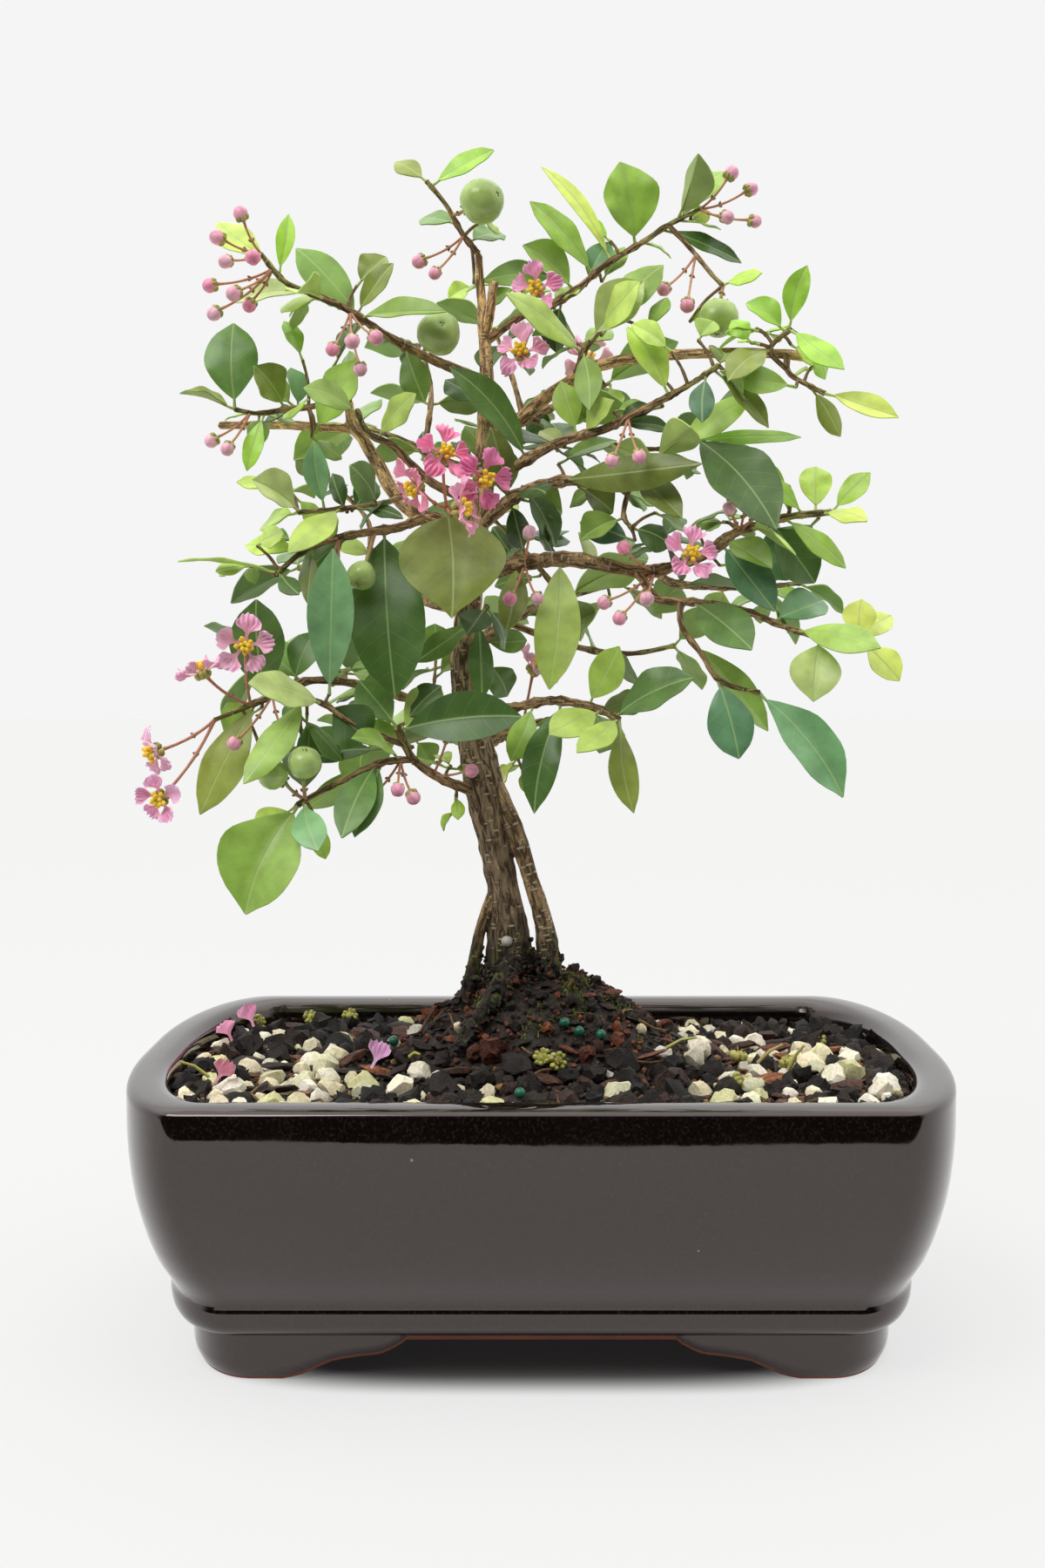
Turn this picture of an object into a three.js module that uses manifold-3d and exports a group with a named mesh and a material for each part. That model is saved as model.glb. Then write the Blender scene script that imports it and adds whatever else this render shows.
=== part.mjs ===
// Barbados cherry bonsai in a glazed pot. Millimetres, +Z up, the long side of the pot along X,
// the front towards -Y, the origin on the ground under the middle of the pot.
import * as THREE from "three";
import Module from "manifold-3d";
import { mergeVertices } from "three/addons/utils/BufferGeometryUtils.js";

const wasm = await Module();
wasm.setup();

// Driving dimensions of the pot
const POT_HALF_WIDTH = 101.6;
const POT_HALF_DEPTH = 74;
const CORNER_WIDTH_SHARE = 0.2;
const CORNER_DEPTH_SHARE = 0.878;
const CORNER_STEPS = 4;
const DEPTH_TAPER = 1.3;
const UNDERSIDE_HEIGHT = 9;
const FLOOR_HEIGHT = 15;
const DRAIN_RADIUS = 8;
const DRAIN_FROM_MIDDLE = 44;
const SEAT_GAP = 0.3;

// How far the outer wall stands inside the widest outline, at each height
const WALL_PROFILE = [
  [15.5, 9], [11.4, 9.8], [11, 14], [12.2, 15.4], [6.8, 25], [1.4, 38], [0, 48], [0.4, 60], [0, 66],
  [1.8, 68.7],
];
const INNER_PROFILE = [[7.6, 68.7], [9.4, 66.5], [9.6, 50], [12, 32], [19, 19], [24, 15]];

// The four feet: a skirt under the wall, cut away between the corners
const FOOT_INSET = 15.2;
const FOOT_TOE_INSET = 16.4;
const FOOT_THICKNESS = 9;
const TOE_HEIGHT = 3;
const FRONT_ARCH = [[-60, -1], [-60, 0], [-49, 4.6], [-38, 5.6], [-31.8, 9.4], [-31.8, 14]];
const SIDE_ARCH = [[-27, -1], [-27, 0], [-22, 4.6], [-17, 5.6], [-14, 9.4], [-14, 14]];

// Soil, with the mound that the root ball makes round the trunk
const SOIL_FRONT_HEIGHT = 65;
const SOIL_BACK_HEIGHT = 61;
const MOUND_CENTRE = [-1, 1];
const MOUND_HEIGHT = 25;
const MOUND_REACH = [27, 22];
const SOIL_RINGS = [0.86, 0.7, 0.54, 0.39, 0.25, 0.12];
const GRAIN_RELIEF = 1.1;
const STONE_COUNT = 8;
const STONE_REACH = [82, 54];
const STONE_RADII = [1.9, 3.4];
const STONE_FREE_RADIUS = 36;
const STONE_SINK = 0.1;
const SCREEN_SIDE = 24;
const SCREEN_THICKNESS = 1;
const SCREEN_BAR = 2;
const SCREEN_BARS = 3;

// Plain vector sums on [x, y, z]
const add = (a, b) => [a[0] + b[0], a[1] + b[1], a[2] + b[2]];
const take = (a, b) => [a[0] - b[0], a[1] - b[1], a[2] - b[2]];
const grow = (a, k) => [a[0] * k, a[1] * k, a[2] * k];
const dot = (a, b) => a[0] * b[0] + a[1] * b[1] + a[2] * b[2];
const cross = (a, b) => [
  a[1] * b[2] - a[2] * b[1],
  a[2] * b[0] - a[0] * b[2],
  a[0] * b[1] - a[1] * b[0],
];
const size = (a) => Math.sqrt(dot(a, a));
const unit = (a) => grow(a, 1 / size(a));
const mix = (a, b, t) => add(grow(a, 1 - t), grow(b, t));

// The part of a vector that is square to an axis, as a unit vector
function squareTo(vector, axis) {
  return unit(take(vector, grow(axis, dot(vector, axis))));
}

// A seeded row of draws between 0 and 1
function draws(seed) {
  let state = seed * 7919 + 17;
  return () => {
    state = (state * 1664525 + 1013904223) % 4294967296;
    return state / 4294967296;
  };
}

// A closed solid as vertices and triangles
function solidFrom(vertices, faces) {
  return new wasm.Manifold(new wasm.Mesh({
    numProp: 3,
    vertProperties: new Float32Array(vertices.flat()),
    triVerts: new Uint32Array(faces.flat()),
  }));
}

// A closed solid through rings of points, with flat ends or a pointed far end
function skin(rings, point) {
  const count = rings[0].length;
  const faces = [];
  for (let r = 0; r < rings.length - 1; r += 1) {
    for (let i = 0; i < count; i += 1) {
      const a = r * count + i;
      const b = r * count + ((i + 1) % count);
      if (i < count / 2) faces.push([a, b, b + count], [a, b + count, a + count]);
      else faces.push([a, b, a + count], [b, b + count, a + count]);
    }
  }
  const far = (rings.length - 1) * count;
  const vertices = rings.flat();
  for (let i = 1; i < count - 1; i += 1) {
    faces.push([0, i + 1, i]);
    if (!point) faces.push([far, far + i, far + i + 1]);
  }
  if (point) {
    vertices.push(point);
    for (let i = 0; i < count; i += 1) faces.push([far + i, far + ((i + 1) % count), far + count]);
  }
  return solidFrom(vertices, faces);
}

// A three.js geometry as a solid
function solidOf(geometry) {
  geometry.deleteAttribute("normal");
  geometry.deleteAttribute("uv");
  const merged = mergeVertices(geometry, 1e-4);
  return new wasm.Manifold(new wasm.Mesh({
    numProp: 3,
    vertProperties: new Float32Array(merged.attributes.position.array),
    triVerts: new Uint32Array(merged.index.array),
  }));
}

// Everything in a list joined into one solid, in pairs
function joined(solids) {
  let row = solids;
  while (row.length > 1) {
    const next = [];
    for (let i = 0; i < row.length; i += 2) {
      next.push(i + 1 < row.length ? row[i].add(row[i + 1]) : row[i]);
    }
    row = next;
  }
  return row[0];
}

// The pot's rounded outline at a height, drawn in by an inset on the long and the short sides
function outline(inset, height) {
  const halfWidth = POT_HALF_WIDTH - inset;
  const halfDepth = POT_HALF_DEPTH - inset * DEPTH_TAPER;
  const cornerWidth = halfWidth * CORNER_WIDTH_SHARE;
  const cornerDepth = halfDepth * CORNER_DEPTH_SHARE;
  const points = [];
  for (const [signX, signY] of [[1, 1], [-1, 1], [-1, -1], [1, -1]]) {
    for (let k = 0; k <= CORNER_STEPS; k += 1) {
      const turn = (Math.PI / 2) * (signX * signY > 0 ? k / CORNER_STEPS : 1 - k / CORNER_STEPS);
      points.push([
        signX * (halfWidth - cornerWidth + cornerWidth * Math.cos(turn)),
        signY * (halfDepth - cornerDepth + cornerDepth * Math.sin(turn)),
        height,
      ]);
    }
  }
  return points;
}

// A prism across the pot whose sides are an arch and its mirror image
function archCut(arch, alongX) {
  const shape = new THREE.Shape();
  const right = arch.map(([x, z]) => [-x, z]).reverse();
  [...arch, ...right].forEach(([x, z], i) => (i ? shape.lineTo(x, z) : shape.moveTo(x, z)));
  const reach = 2 * POT_HALF_WIDTH + 20;
  const prism = new THREE.ExtrudeGeometry(shape, { depth: reach, bevelEnabled: false });
  prism.translate(0, 0, -reach / 2);
  prism.rotateX(Math.PI / 2);
  if (alongX) prism.rotateZ(Math.PI / 2);
  return solidOf(prism);
}

function feet() {
  const [inner, top] = [FOOT_INSET + FOOT_THICKNESS, UNDERSIDE_HEIGHT + 2];
  const skirt = skin([outline(FOOT_TOE_INSET, 0), outline(FOOT_INSET, TOE_HEIGHT), outline(FOOT_INSET, top)]);
  const inside = skin([outline(inner, -1), outline(inner, UNDERSIDE_HEIGHT - 0.4)]);
  return skirt.subtract(inside).subtract(archCut(FRONT_ARCH, false)).subtract(archCut(SIDE_ARCH, true));
}

function drain(x, radius, low, high) {
  const plug = new THREE.CylinderGeometry(radius, radius, high - low, 16);
  plug.rotateX(Math.PI / 2);
  plug.translate(x, 0, (low + high) / 2);
  return solidOf(plug);
}

function pot() {
  const rings = [...WALL_PROFILE, ...INNER_PROFILE].map(([inset, height]) => outline(inset, height));
  let body = skin(rings).add(feet());
  for (const x of [-DRAIN_FROM_MIDDLE, DRAIN_FROM_MIDDLE]) {
    body = body.subtract(drain(x, DRAIN_RADIUS, UNDERSIDE_HEIGHT - 2, FLOOR_HEIGHT + 2));
  }
  return body;
}

// A square of plastic mesh over a drain hole, from bars laid both ways
function screen(x) {
  const reach = (SCREEN_SIDE - SCREEN_BAR) / 2;
  const bars = [];
  for (let k = 0; k < SCREEN_BARS; k += 1) {
    const offset = -reach + (2 * reach * k) / (SCREEN_BARS - 1);
    for (const lengthwise of [true, false]) {
      const bar = new THREE.BoxGeometry(
        lengthwise ? SCREEN_SIDE : SCREEN_BAR,
        lengthwise ? SCREEN_BAR : SCREEN_SIDE,
        SCREEN_THICKNESS,
      );
      const middle = FLOOR_HEIGHT + SEAT_GAP + SCREEN_THICKNESS / 2;
      bar.translate(x + (lengthwise ? 0 : offset), lengthwise ? offset : 0, middle);
      bars.push(solidOf(bar));
    }
  }
  return joined(bars);
}

// Height of the soil before its grains, at a place in the pot
function soilHeight(x, y) {
  const slope = (y + POT_HALF_DEPTH) / (2 * POT_HALF_DEPTH);
  const flat = SOIL_FRONT_HEIGHT + (SOIL_BACK_HEIGHT - SOIL_FRONT_HEIGHT) * slope;
  const u = (x - MOUND_CENTRE[0]) / MOUND_REACH[0];
  const v = (y - MOUND_CENTRE[1]) / MOUND_REACH[1];
  return flat + MOUND_HEIGHT * Math.exp(-((u * u + v * v) ** 1.2) / 1.6);
}

// One angular stone: a rounded lump with its corners drawn in or out
function stone(centre, radius, draw) {
  const lump = new THREE.IcosahedronGeometry(radius, 0);
  lump.deleteAttribute("normal");
  lump.deleteAttribute("uv");
  const merged = mergeVertices(lump, 1e-4);
  const place = merged.attributes.position;
  for (let i = 0; i < place.count; i += 1) {
    const k = 0.8 + 0.35 * draw();
    place.setXYZ(
      i,
      centre[0] + place.getX(i) * k * 1.2,
      centre[1] + place.getY(i) * k,
      centre[2] + place.getZ(i) * k * 0.8,
    );
  }
  return solidOf(merged);
}

function soil(rootHoles, screenPockets) {
  const draw = draws(3);
  const wallGap = (inset) => inset + SEAT_GAP / DEPTH_TAPER + 0.15;
  const rings = [
    outline(wallGap(24), FLOOR_HEIGHT + SEAT_GAP),
    outline(wallGap(19), 19.2),
    outline(wallGap(12), 32),
    outline(wallGap(9.6), 50),
    outline(wallGap(9.4), 60).map(([x, y]) => [x, y, soilHeight(x, y) - 1.2]),
  ];
  for (const share of SOIL_RINGS) {
    rings.push(rings[4].map(([x, y]) => {
      const grain = (2 * draw() - 1) * GRAIN_RELIEF;
      return [x * share, y * share, soilHeight(x * share, y * share) + grain];
    }));
  }
  const top = [0, 0, soilHeight(0, 0)];
  const stones = [];
  while (stones.length < STONE_COUNT) {
    const x = (2 * draw() - 1) * STONE_REACH[0];
    const y = (2 * draw() - 1) * STONE_REACH[1];
    const radius = STONE_RADII[0] + (STONE_RADII[1] - STONE_RADII[0]) * draw();
    const nearTrunk = (x - MOUND_CENTRE[0]) ** 2 + (y - MOUND_CENTRE[1]) ** 2 < STONE_FREE_RADIUS ** 2;
    const nearCorner = (x / STONE_REACH[0]) ** 4 + (y / STONE_REACH[1]) ** 4 > 0.8;
    if (!nearTrunk && !nearCorner) {
      stones.push(stone([x, y, soilHeight(x, y) - STONE_SINK * radius], radius, draw));
    }
  }
  let body = skin(rings, top).add(joined(stones));
  for (const hole of [...rootHoles, ...screenPockets]) body = body.subtract(hole);
  return body;
}

// The plant is laid out as it looks from the front. A row gives across, height and depth: across
// and height in the upright plane through the pot's middle, as seen by an eye in front of it, and
// depth behind that plane. A fourth number is a radius.
const EYE_DISTANCE = 492.6;
const EYE_HEIGHT = 168.6;
function seen([across, height, depth, ...rest]) {
  const spread = 1 + depth / EYE_DISTANCE;
  return [across * spread, depth, EYE_HEIGHT + (height - EYE_HEIGHT) * spread, ...rest];
}

// Trunk, aerial root, surface roots and the thick or cut branches, which are one piece of wood
const LIMBS = {
  trunk: [
    [-6, 72, 0, 6.6], [-8, 88, 0, 6.4], [-8.5, 95, 0, 5.9], [-9, 104, 0, 4.7], [-10.3, 112, 0, 4],
    [-12.5, 124, -1, 4.5], [-15, 137, -1, 5.2], [-17, 148, -1, 4.6], [-19, 163, -1, 4.2],
    [-19, 177, 0, 3.7], [-18, 192, 2, 3.4], [-15, 212, 3, 2.9], [-14, 230, 3, 2.3],
    [-14, 243, 3, 1.9], [-15, 257, 2, 1.4], [-16, 271, 1, 1],
  ],
  aerial_root: [
    [-12, 136, -2, 2.6], [-7, 125, -3, 2.4], [-2.8, 112, -3, 2.2], [0, 103, -3, 2.4],
    [1.4, 95, -3, 2.9], [2.5, 86, -4, 3.3], [4, 74, -5, 3],
  ],
  left_root: [
    [-12, 108, -1, 2], [-15.5, 100, -2, 1.5], [-17, 92, -3, 1.7], [-19, 84, -5, 1.8], [-22, 72, -8, 1.4],
  ],
  front_root: [[-8, 92, -1, 4], [-10, 85, -9, 3], [-15, 78, -17, 2.2], [-22, 68, -25, 1.4]],
  right_root: [[-5, 92, 1, 3.6], [5, 84, 8, 2.6], [14, 76, 14, 1.8], [22, 66, 20, 1.3]],
  back_root: [[-9, 92, 2, 3.6], [-16, 84, 10, 2.6], [-23, 75, 17, 1.8], [-30, 65, 22, 1.3]],
  left_fork: [
    [-16.5, 197, 2, 2.6], [-25, 203, -2, 2.2], [-31, 205, -4, 2], [-37, 210, -3, 1.9], [-41, 217, 0, 1.8],
    [-45, 224, 3, 1.6], [-48, 228, 5, 1.5], [-49, 234, 6, 1.2],
  ],
  left_cut: [[-47.5, 227, 5, 1.3], [-65, 228, 9, 1.2], [-82, 228, 10, 1.1]],
  top_stub: [[-14.5, 250, 3, 1.4], [-13, 256, 0, 1.3], [-12, 264, -2, 1.3]],
  right_fork: [[-14.5, 222, 3, 2], [-5, 230, 0, 1.8], [4, 237, -3, 1.7], [14, 243, -6, 1.6]],
  right_cut: [
    [13, 242.5, -6, 1.6], [22, 244.5, -8, 1.5], [39, 246, -12, 1.4], [60, 246, -15, 1.3],
    [74, 244, -16, 1.3],
  ],
};
const LIMB_SIDES = { trunk: 9, aerial_root: 7, left_root: 5, front_root: 5, right_root: 5, back_root: 5 };
const BURIED_LIMBS = ["trunk", "aerial_root", "left_root", "front_root", "right_root", "back_root"];

// Leafy branches. from: the limb, or the spray whose first stem carries it, the share of that
// length, and how far the root is drawn in. stems: the radii at root and tip, and the places
// between, where a later stem starts on the first one at its own share. leaves: [stem, share,
// tip across, height, depth, width, turn]. pairs, placed by rule: [stem, first share, last share,
// number of pairs, leaf length].
const SPRAYS = {
  spray_low_left: {
    from: ["trunk", 0.38],
    stems: [
      { radii: [1.7, 0.9], rows: [[-26, 138, -9], [-33, 143, -16], [-37, 151, -21]] },
      { start: 0.66, radii: [1, 0.7], rows: [
        [-41, 142, -22], [-50, 138, -27], [-58, 134, -31], [-63, 131, -33],
      ] },
      { start: 0.8, radii: [0.9, 0.6], rows: [[-48, 152, -26], [-58, 158, -30], [-66, 158, -33]] },
    ],
    leaves: [
      [0, 0.97, -5, 154, -26, 12, 25], [0, 1, -47, 163, -16, 9], [0, 0.9, -26, 162, -14, 9],
      [1, 0.2, -61, 130, -20, 7], [1, 0.25, -40, 118, -26, 8], [1, 0.3, -51, 124, -34, 9],
      [1, 0.12, -48, 149, -36, 7], [1, 0.97, -77, 103, -42, 20], [1, 0.9, -57, 120, -40, 8],
      [2, 0.75, -76, 137, -40, 8], [2, 0.6, -74, 163, -40, 10], [2, 0.95, -63, 181, -36, 6],
    ],
  },
  spray_far_left: {
    from: ["trunk", 0.51],
    stems: [
      { radii: [1.6, 0.7], rows: [
        [-32, 158, -5], [-46, 162, -10], [-60, 163, -15], [-72, 158, -20], [-84, 153, -24],
      ] },
    ],
    leaves: [
      [0, 0.82, -89, 128, -30, 11], [0, 0.97, -91, 133, -20, 9], [0, 1, -96, 134, -28, 4.5],
      [0, 0.78, -73, 184, -22, 13], [0, 0.66, -58, 176, -14, 8],
    ],
    pairs: [[0, 0.35, 0.62, 2, 17]],
  },
  spray_left_mid: {
    from: ["left_fork", 0.26, 1.2],
    stems: [
      { radii: [1.5, 0.7], rows: [
        [-37, 202, -11], [-44, 201, -15], [-54, 199, -18], [-61, 196, -21], [-68, 190, -24],
      ] },
    ],
    leaves: [
      [0, 0.3, -38, 159, -31, 18], [0, 0.62, -55, 160, -26, 11], [0, 0.97, -93, 194, -26, 4.5, 60],
      [0, 0.8, -76, 198, -16, 6.5], [0, 0.97, -62, 185, -30, 5], [0, 0.5, -63, 186, -12, 9.5],
    ],
    pairs: [[0, 0.45, 0.7, 1, 13]],
  },
  spray_left_upper: {
    from: ["left_fork", 1, 1],
    stems: [
      { radii: [1.1, 0.6], rows: [
        [-51, 236, 3], [-57, 233, -3], [-65, 232, -7], [-72, 231, -9], [-78, 232, -10],
      ] },
    ],
    leaves: [
      [0, 0.25, -47, 245, -8, 11], [0, 0.6, -73, 243, -14, 10], [0, 1, -79, 255, -12, 13],
      [0, 0.75, -76, 217, -16, 5], [0, 0.98, -92, 236, -10, 7, 40],
    ],
    pairs: [[0, 0.35, 0.5, 1, 16]],
  },
  spray_left_inner: {
    from: ["trunk", 0.72],
    stems: [
      { radii: [1.5, 0.7], rows: [
        [-27, 213, -8], [-33, 218, -13], [-38, 223, -16], [-44, 226, -18], [-47, 232, -19],
      ] },
      { start: 0.3, radii: [1, 0.6], rows: [[-38, 209, -19], [-50, 207, -22], [-62, 206, -25]] },
    ],
    leaves: [
      [0, 0.72, -32, 236, -24, 8], [0, 0.95, -60, 238, -24, 8], [1, 0.45, -48, 218, -30, 10],
      [1, 0.28, -47, 208, -30, 6, 60], [1, 0.97, -74, 214, -32, 10], [1, 0.8, -58, 224, -28, 6],
      [1, 0.7, -64, 196, -34, 8],
    ],
    pairs: [[1, 0.97, 1, 1, 13]],
  },
  spray_top_left: {
    from: ["trunk", 0.845],
    stems: [
      { radii: [1.6, 0.65], rows: [
        [-24, 243, 0], [-31, 246, -4], [-40, 251, -8], [-46, 255, -11], [-51, 258, -13], [-58, 261, -15],
        [-65, 264, -17], [-71, 271, -18],
      ] },
    ],
    leaves: [
      [0, 0.5, -62, 273, -8, 10], [0, 0.52, -38, 269, -14, 6], [0, 0.5, -24, 256, -20, 7],
      [0, 0.9, -64, 281, -18, 4.5], [0, 0.76, -72, 266, -10, 8], [0, 0.3, -30, 234, -10, 8, 30],
      [0, 0.95, -82, 279, -10, 8],
    ],
    pairs: [[0, 0.35, 0.7, 1, 14]],
  },
  spray_crown: {
    from: ["trunk", 1, 0.5],
    stems: [{ radii: [0.9, 0.6], rows: [[-20, 276, -1], [-24, 283, -3], [-29, 289, -4]] }],
    leaves: [
      [0, 0.9, -12, 297, -6, 6.5], [0, 0.45, -30, 280, 8, 7], [0, 0.2, -10, 276, 10, 8],
      [0, 0.98, -37, 294, 2, 6],
    ],
  },
  spray_top_right: {
    from: ["trunk", 0.895],
    stems: [
      { radii: [1.4, 0.6], rows: [
        [-4, 256, 4], [2, 258, 5], [9, 262, 6], [16, 268, 7], [26, 274, 8], [32, 278, 8], [40, 282, 8],
      ] },
      { start: 0.86, radii: [0.8, 0.6], rows: [[38, 272, 5], [43, 266, 1], [46, 263, -2]] },
    ],
    leaves: [
      [0, 0.68, 20, 294, 4, 14], [0, 0.52, -3, 284, 2, 8], [0, 0.6, 0, 293, 14, 4.5],
      [0, 0.42, -5, 274, -4, 10],
      [0, 0.82, 51, 269, 12, 6], [1, 0.97, 56, 266, -8, 5], [0, 0.9, 47, 293, 16, 7],
      [0, 0.35, 4, 246, 8, 8, 30],
    ],
    pairs: [[0, 0.3, 0.9, 2, 15]],
  },
  spray_right_crown: {
    from: ["right_fork", 0.8],
    stems: [{ radii: [1, 0.6], rows: [[11, 247, -8], [15, 252, -11], [18, 255, -13]] }],
    leaves: [
      [0, 0.55, 25, 264, -18, 10], [0, 0.8, 31, 268, -8, 9], [0, 0.25, -9, 257, -13, 10],
      [0, 1, 12, 270, -14, 7],
      [0, 0.3, 12, 232, -20, 7, 20],
    ],
  },
  spray_right_tip: {
    from: ["right_cut", 0.78],
    stems: [
      { radii: [0.9, 0.6], rows: [[63, 241, -20], [68, 238, -23], [72, 236, -25]] },
      { start: 0.25, radii: [0.8, 0.6], rows: [[58, 247, -21], [63, 252, -24]] },
    ],
    leaves: [
      [0, 1, 91, 230, -30, 7], [1, 1, 77, 242, -34, 7], [1, 0.5, 47, 239, -30, 8], [1, 0.9, 52, 259, -22, 7],
      [1, 0.95, 66, 264, -18, 6], [0, 0.7, 76, 225, -20, 6],
    ],
  },
  spray_right_high: {
    from: ["trunk", 0.735],
    stems: [
      { radii: [1.6, 0.65], rows: [
        [3, 223, -9], [16, 227, -16], [24, 231, -20], [32, 235, -23], [39, 239, -25], [45, 243, -27],
      ] },
    ],
    leaves: [
      [0, 0.68, 22, 253, -24, 8], [0, 0.38, 34, 226, -27, 5], [0, 0.9, 41, 229, -33, 6],
      [0, 0.24, 5, 240, -15, 7],
      [0, 0.26, 18, 240, -22, 7], [0, 0.1, -23, 243, -12, 9], [0, 1, 55, 253, -30, 8],
      [0, 0.95, 60, 240, -36, 6],
    ],
  },
  spray_right_mid: {
    from: ["trunk", 0.7],
    stems: [
      { radii: [1.9, 0.8], rows: [
        [-5, 211, -5], [6, 214, -9], [19, 213, -13], [25, 217, -15], [30, 220, -17], [39, 225, -18],
      ] },
      { start: 0.62, radii: [0.9, 0.6], rows: [[21, 206, -18], [23, 202, -21]] },
    ],
    leaves: [
      [0, 0.32, 40, 219, -32, 9, 30], [0, 1, 59, 200, -26, 16], [0, 0.96, 68, 225, -20, 4.5],
      [0, 0.62, 36, 205, -26, 8],
      [0, 0.14, 1, 211, -22, 9], [0, 0.1, -13, 227, -12, 8], [1, 0.95, 34, 196, -30, 8],
      [1, 0.6, 10, 199, -22, 8],
      [0, 0.9, 52, 232, -10, 8],
    ],
    pairs: [[0, 0.45, 0.8, 1, 16]],
  },
  spray_right_low: {
    from: ["trunk", 0.655],
    stems: [
      { radii: [2.5, 0.8], rows: [
        [-5, 193, -5], [8, 194, -9], [26, 191, -12], [36, 193, -14], [43, 196, -15], [50, 201, -15],
        [57, 203, -16], [64, 205, -16], [74, 206, -16],
      ] },
    ],
    leaves: [
      [0, 0.22, 37, 192, -26, 12, -10], [0, 0.62, 59, 192, -28, 8], [0, 0.8, 70, 188, -14, 13],
      [0, 0.86, 78, 192, -22, 6],
      [0, 0.92, 58, 215, -20, 5], [0, 1, 84, 216, -18, 6], [0, 0.97, 82, 204, -24, 6],
      [0, 0.2, 2, 161, -20, 11],
      [0, 0.6, 60, 181, -24, 10], [0, 0.95, 70, 218, -8, 8], [0, 0.1, -9, 176, -16, 7],
    ],
    pairs: [[0, 0.45, 0.72, 1, 16]],
  },
  spray_right_hang: {
    from: ["spray_right_low", 0.32, 0.9],
    stems: [
      { radii: [1.3, 0.65], rows: [
        [30, 184, -18], [41, 183, -21], [52, 181, -23], [62, 177, -24], [72, 174, -25], [82, 173, -26],
      ] },
      { start: 0.26, radii: [0.9, 0.65], rows: [
        [36, 177, -25], [41, 170, -27], [46, 163, -28], [56, 160, -28],
      ] },
    ],
    leaves: [
      [0, 0.3, 54, 171, -34, 12], [0, 0.62, 73, 184, -18, 10], [0, 0.72, 87, 172, -38, 9],
      [0, 0.82, 70, 158, -32, 12],
      [0, 0.98, 82, 184, -24, 8], [0, 1, 92, 163, -30, 8], [1, 0.72, 51, 143, -32, 11],
      [1, 1, 78, 133, -34, 12],
      [1, 0.4, 58, 150, -18, 8], [0, 0.9, 90, 180, -14, 7],
    ],
  },
  spray_low_right: {
    from: ["trunk", 0.5],
    stems: [
      { radii: [1.7, 0.9], rows: [[-8, 156, -8], [3, 158, -14], [14, 156, -18], [20, 153, -21]] },
    ],
    leaves: [
      [0, 0.92, 39, 164, -30, 11], [0, 0.8, 2, 149, -28, 9], [0, 0.55, -2, 129, -22, 9],
      [0, 0.98, 9, 145, -34, 7],
      [0, 1, 24, 129, -28, 7], [0, 0.7, 20, 172, -22, 9], [0, 0.4, -8, 142, -20, 7],
    ],
  },
  spray_heart: {
    from: ["trunk", 0.667],
    stems: [{ radii: [1.2, 0.8], rows: [[-19, 199, -11], [-22, 204, -16], [-24, 207, -21]] }],
    leaves: [[0, 0.97, -23, 179, -32, 25], [0, 0.4, -36, 190, -14, 9]],
  },
  spray_trunk_front: {
    from: ["trunk", 0.6],
    stems: [{ radii: [1, 0.7], rows: [[-16, 179, -9], [-14, 182, -14]] }],
    leaves: [
      [0, 0.95, -19, 175, -22, 8], [0, 1, -9, 168, -18, 6], [0, 0.6, -3, 173, -14, 6],
      [0, 0.5, -10, 158, -12, 6],
      [0, 0.3, -33, 168, -14, 7],
    ],
  },
  spray_back_right: {
    from: ["trunk", 0.567],
    stems: [
      { radii: [2.2, 0.8], rows: [[-12, 176, 17], [-3, 181, 30], [8, 185, 42], [20, 188, 52]] },
      { start: 0.35, radii: [1.2, 0.7], rows: [[8, 172, 26], [22, 170, 34], [34, 172, 40]] },
      { start: 0.7, radii: [1, 0.6], rows: [[-4, 196, 44], [-12, 204, 50]] },
    ],
    pairs: [[0, 0.45, 1, 3, 20], [1, 0.45, 1, 2, 19], [2, 0.5, 1, 1, 17]],
  },
  spray_back_left: {
    from: ["trunk", 0.62],
    stems: [
      { radii: [2, 0.8], rows: [[-28, 183, 16], [-38, 187, 28], [-50, 190, 40], [-62, 192, 48]] },
      { start: 0.4, radii: [1.1, 0.7], rows: [[-46, 176, 24], [-60, 170, 28], [-72, 168, 32]] },
      { start: 0.65, radii: [1, 0.6], rows: [[-44, 203, 42], [-52, 212, 48]] },
    ],
    pairs: [[0, 0.55, 1, 2, 20], [1, 0.35, 1, 3, 19], [2, 0.5, 1, 1, 17]],
  },
  spray_back_high: {
    from: ["trunk", 0.775],
    stems: [
      { radii: [1.7, 0.7], rows: [[-6, 228, 17], [4, 233, 30], [16, 238, 42]] },
      { start: 0.45, radii: [1.1, 0.6], rows: [[14, 224, 28], [30, 222, 34], [44, 226, 36]] },
      { start: 0.4, radii: [1, 0.6], rows: [[-8, 242, 30], [-12, 252, 38]] },
    ],
    pairs: [[0, 0.6, 1, 2, 19], [1, 0.4, 1, 3, 19], [2, 0.6, 1, 1, 17]],
  },
  spray_back_mid: {
    from: ["trunk", 0.745],
    stems: [
      { radii: [1.7, 0.7], rows: [[-25, 219, 16], [-35, 224, 28], [-46, 228, 40]] },
      { start: 0.5, radii: [1, 0.6], rows: [[-28, 236, 34], [-30, 246, 40]] },
    ],
    pairs: [[0, 0.5, 1, 2, 19], [1, 0.4, 1, 2, 17]],
  },
  spray_back_low: {
    from: ["trunk", 0.45],
    stems: [
      { radii: [1.8, 0.8], rows: [[-8, 150, 15], [2, 153, 28], [14, 155, 40]] },
      { start: 0.3, radii: [1.1, 0.6], rows: [[-22, 150, 24], [-34, 150, 34], [-46, 148, 42]] },
    ],
    pairs: [[0, 0.5, 1, 2, 20], [1, 0.4, 1, 3, 18]],
  },
  spray_outer_right: {
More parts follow.
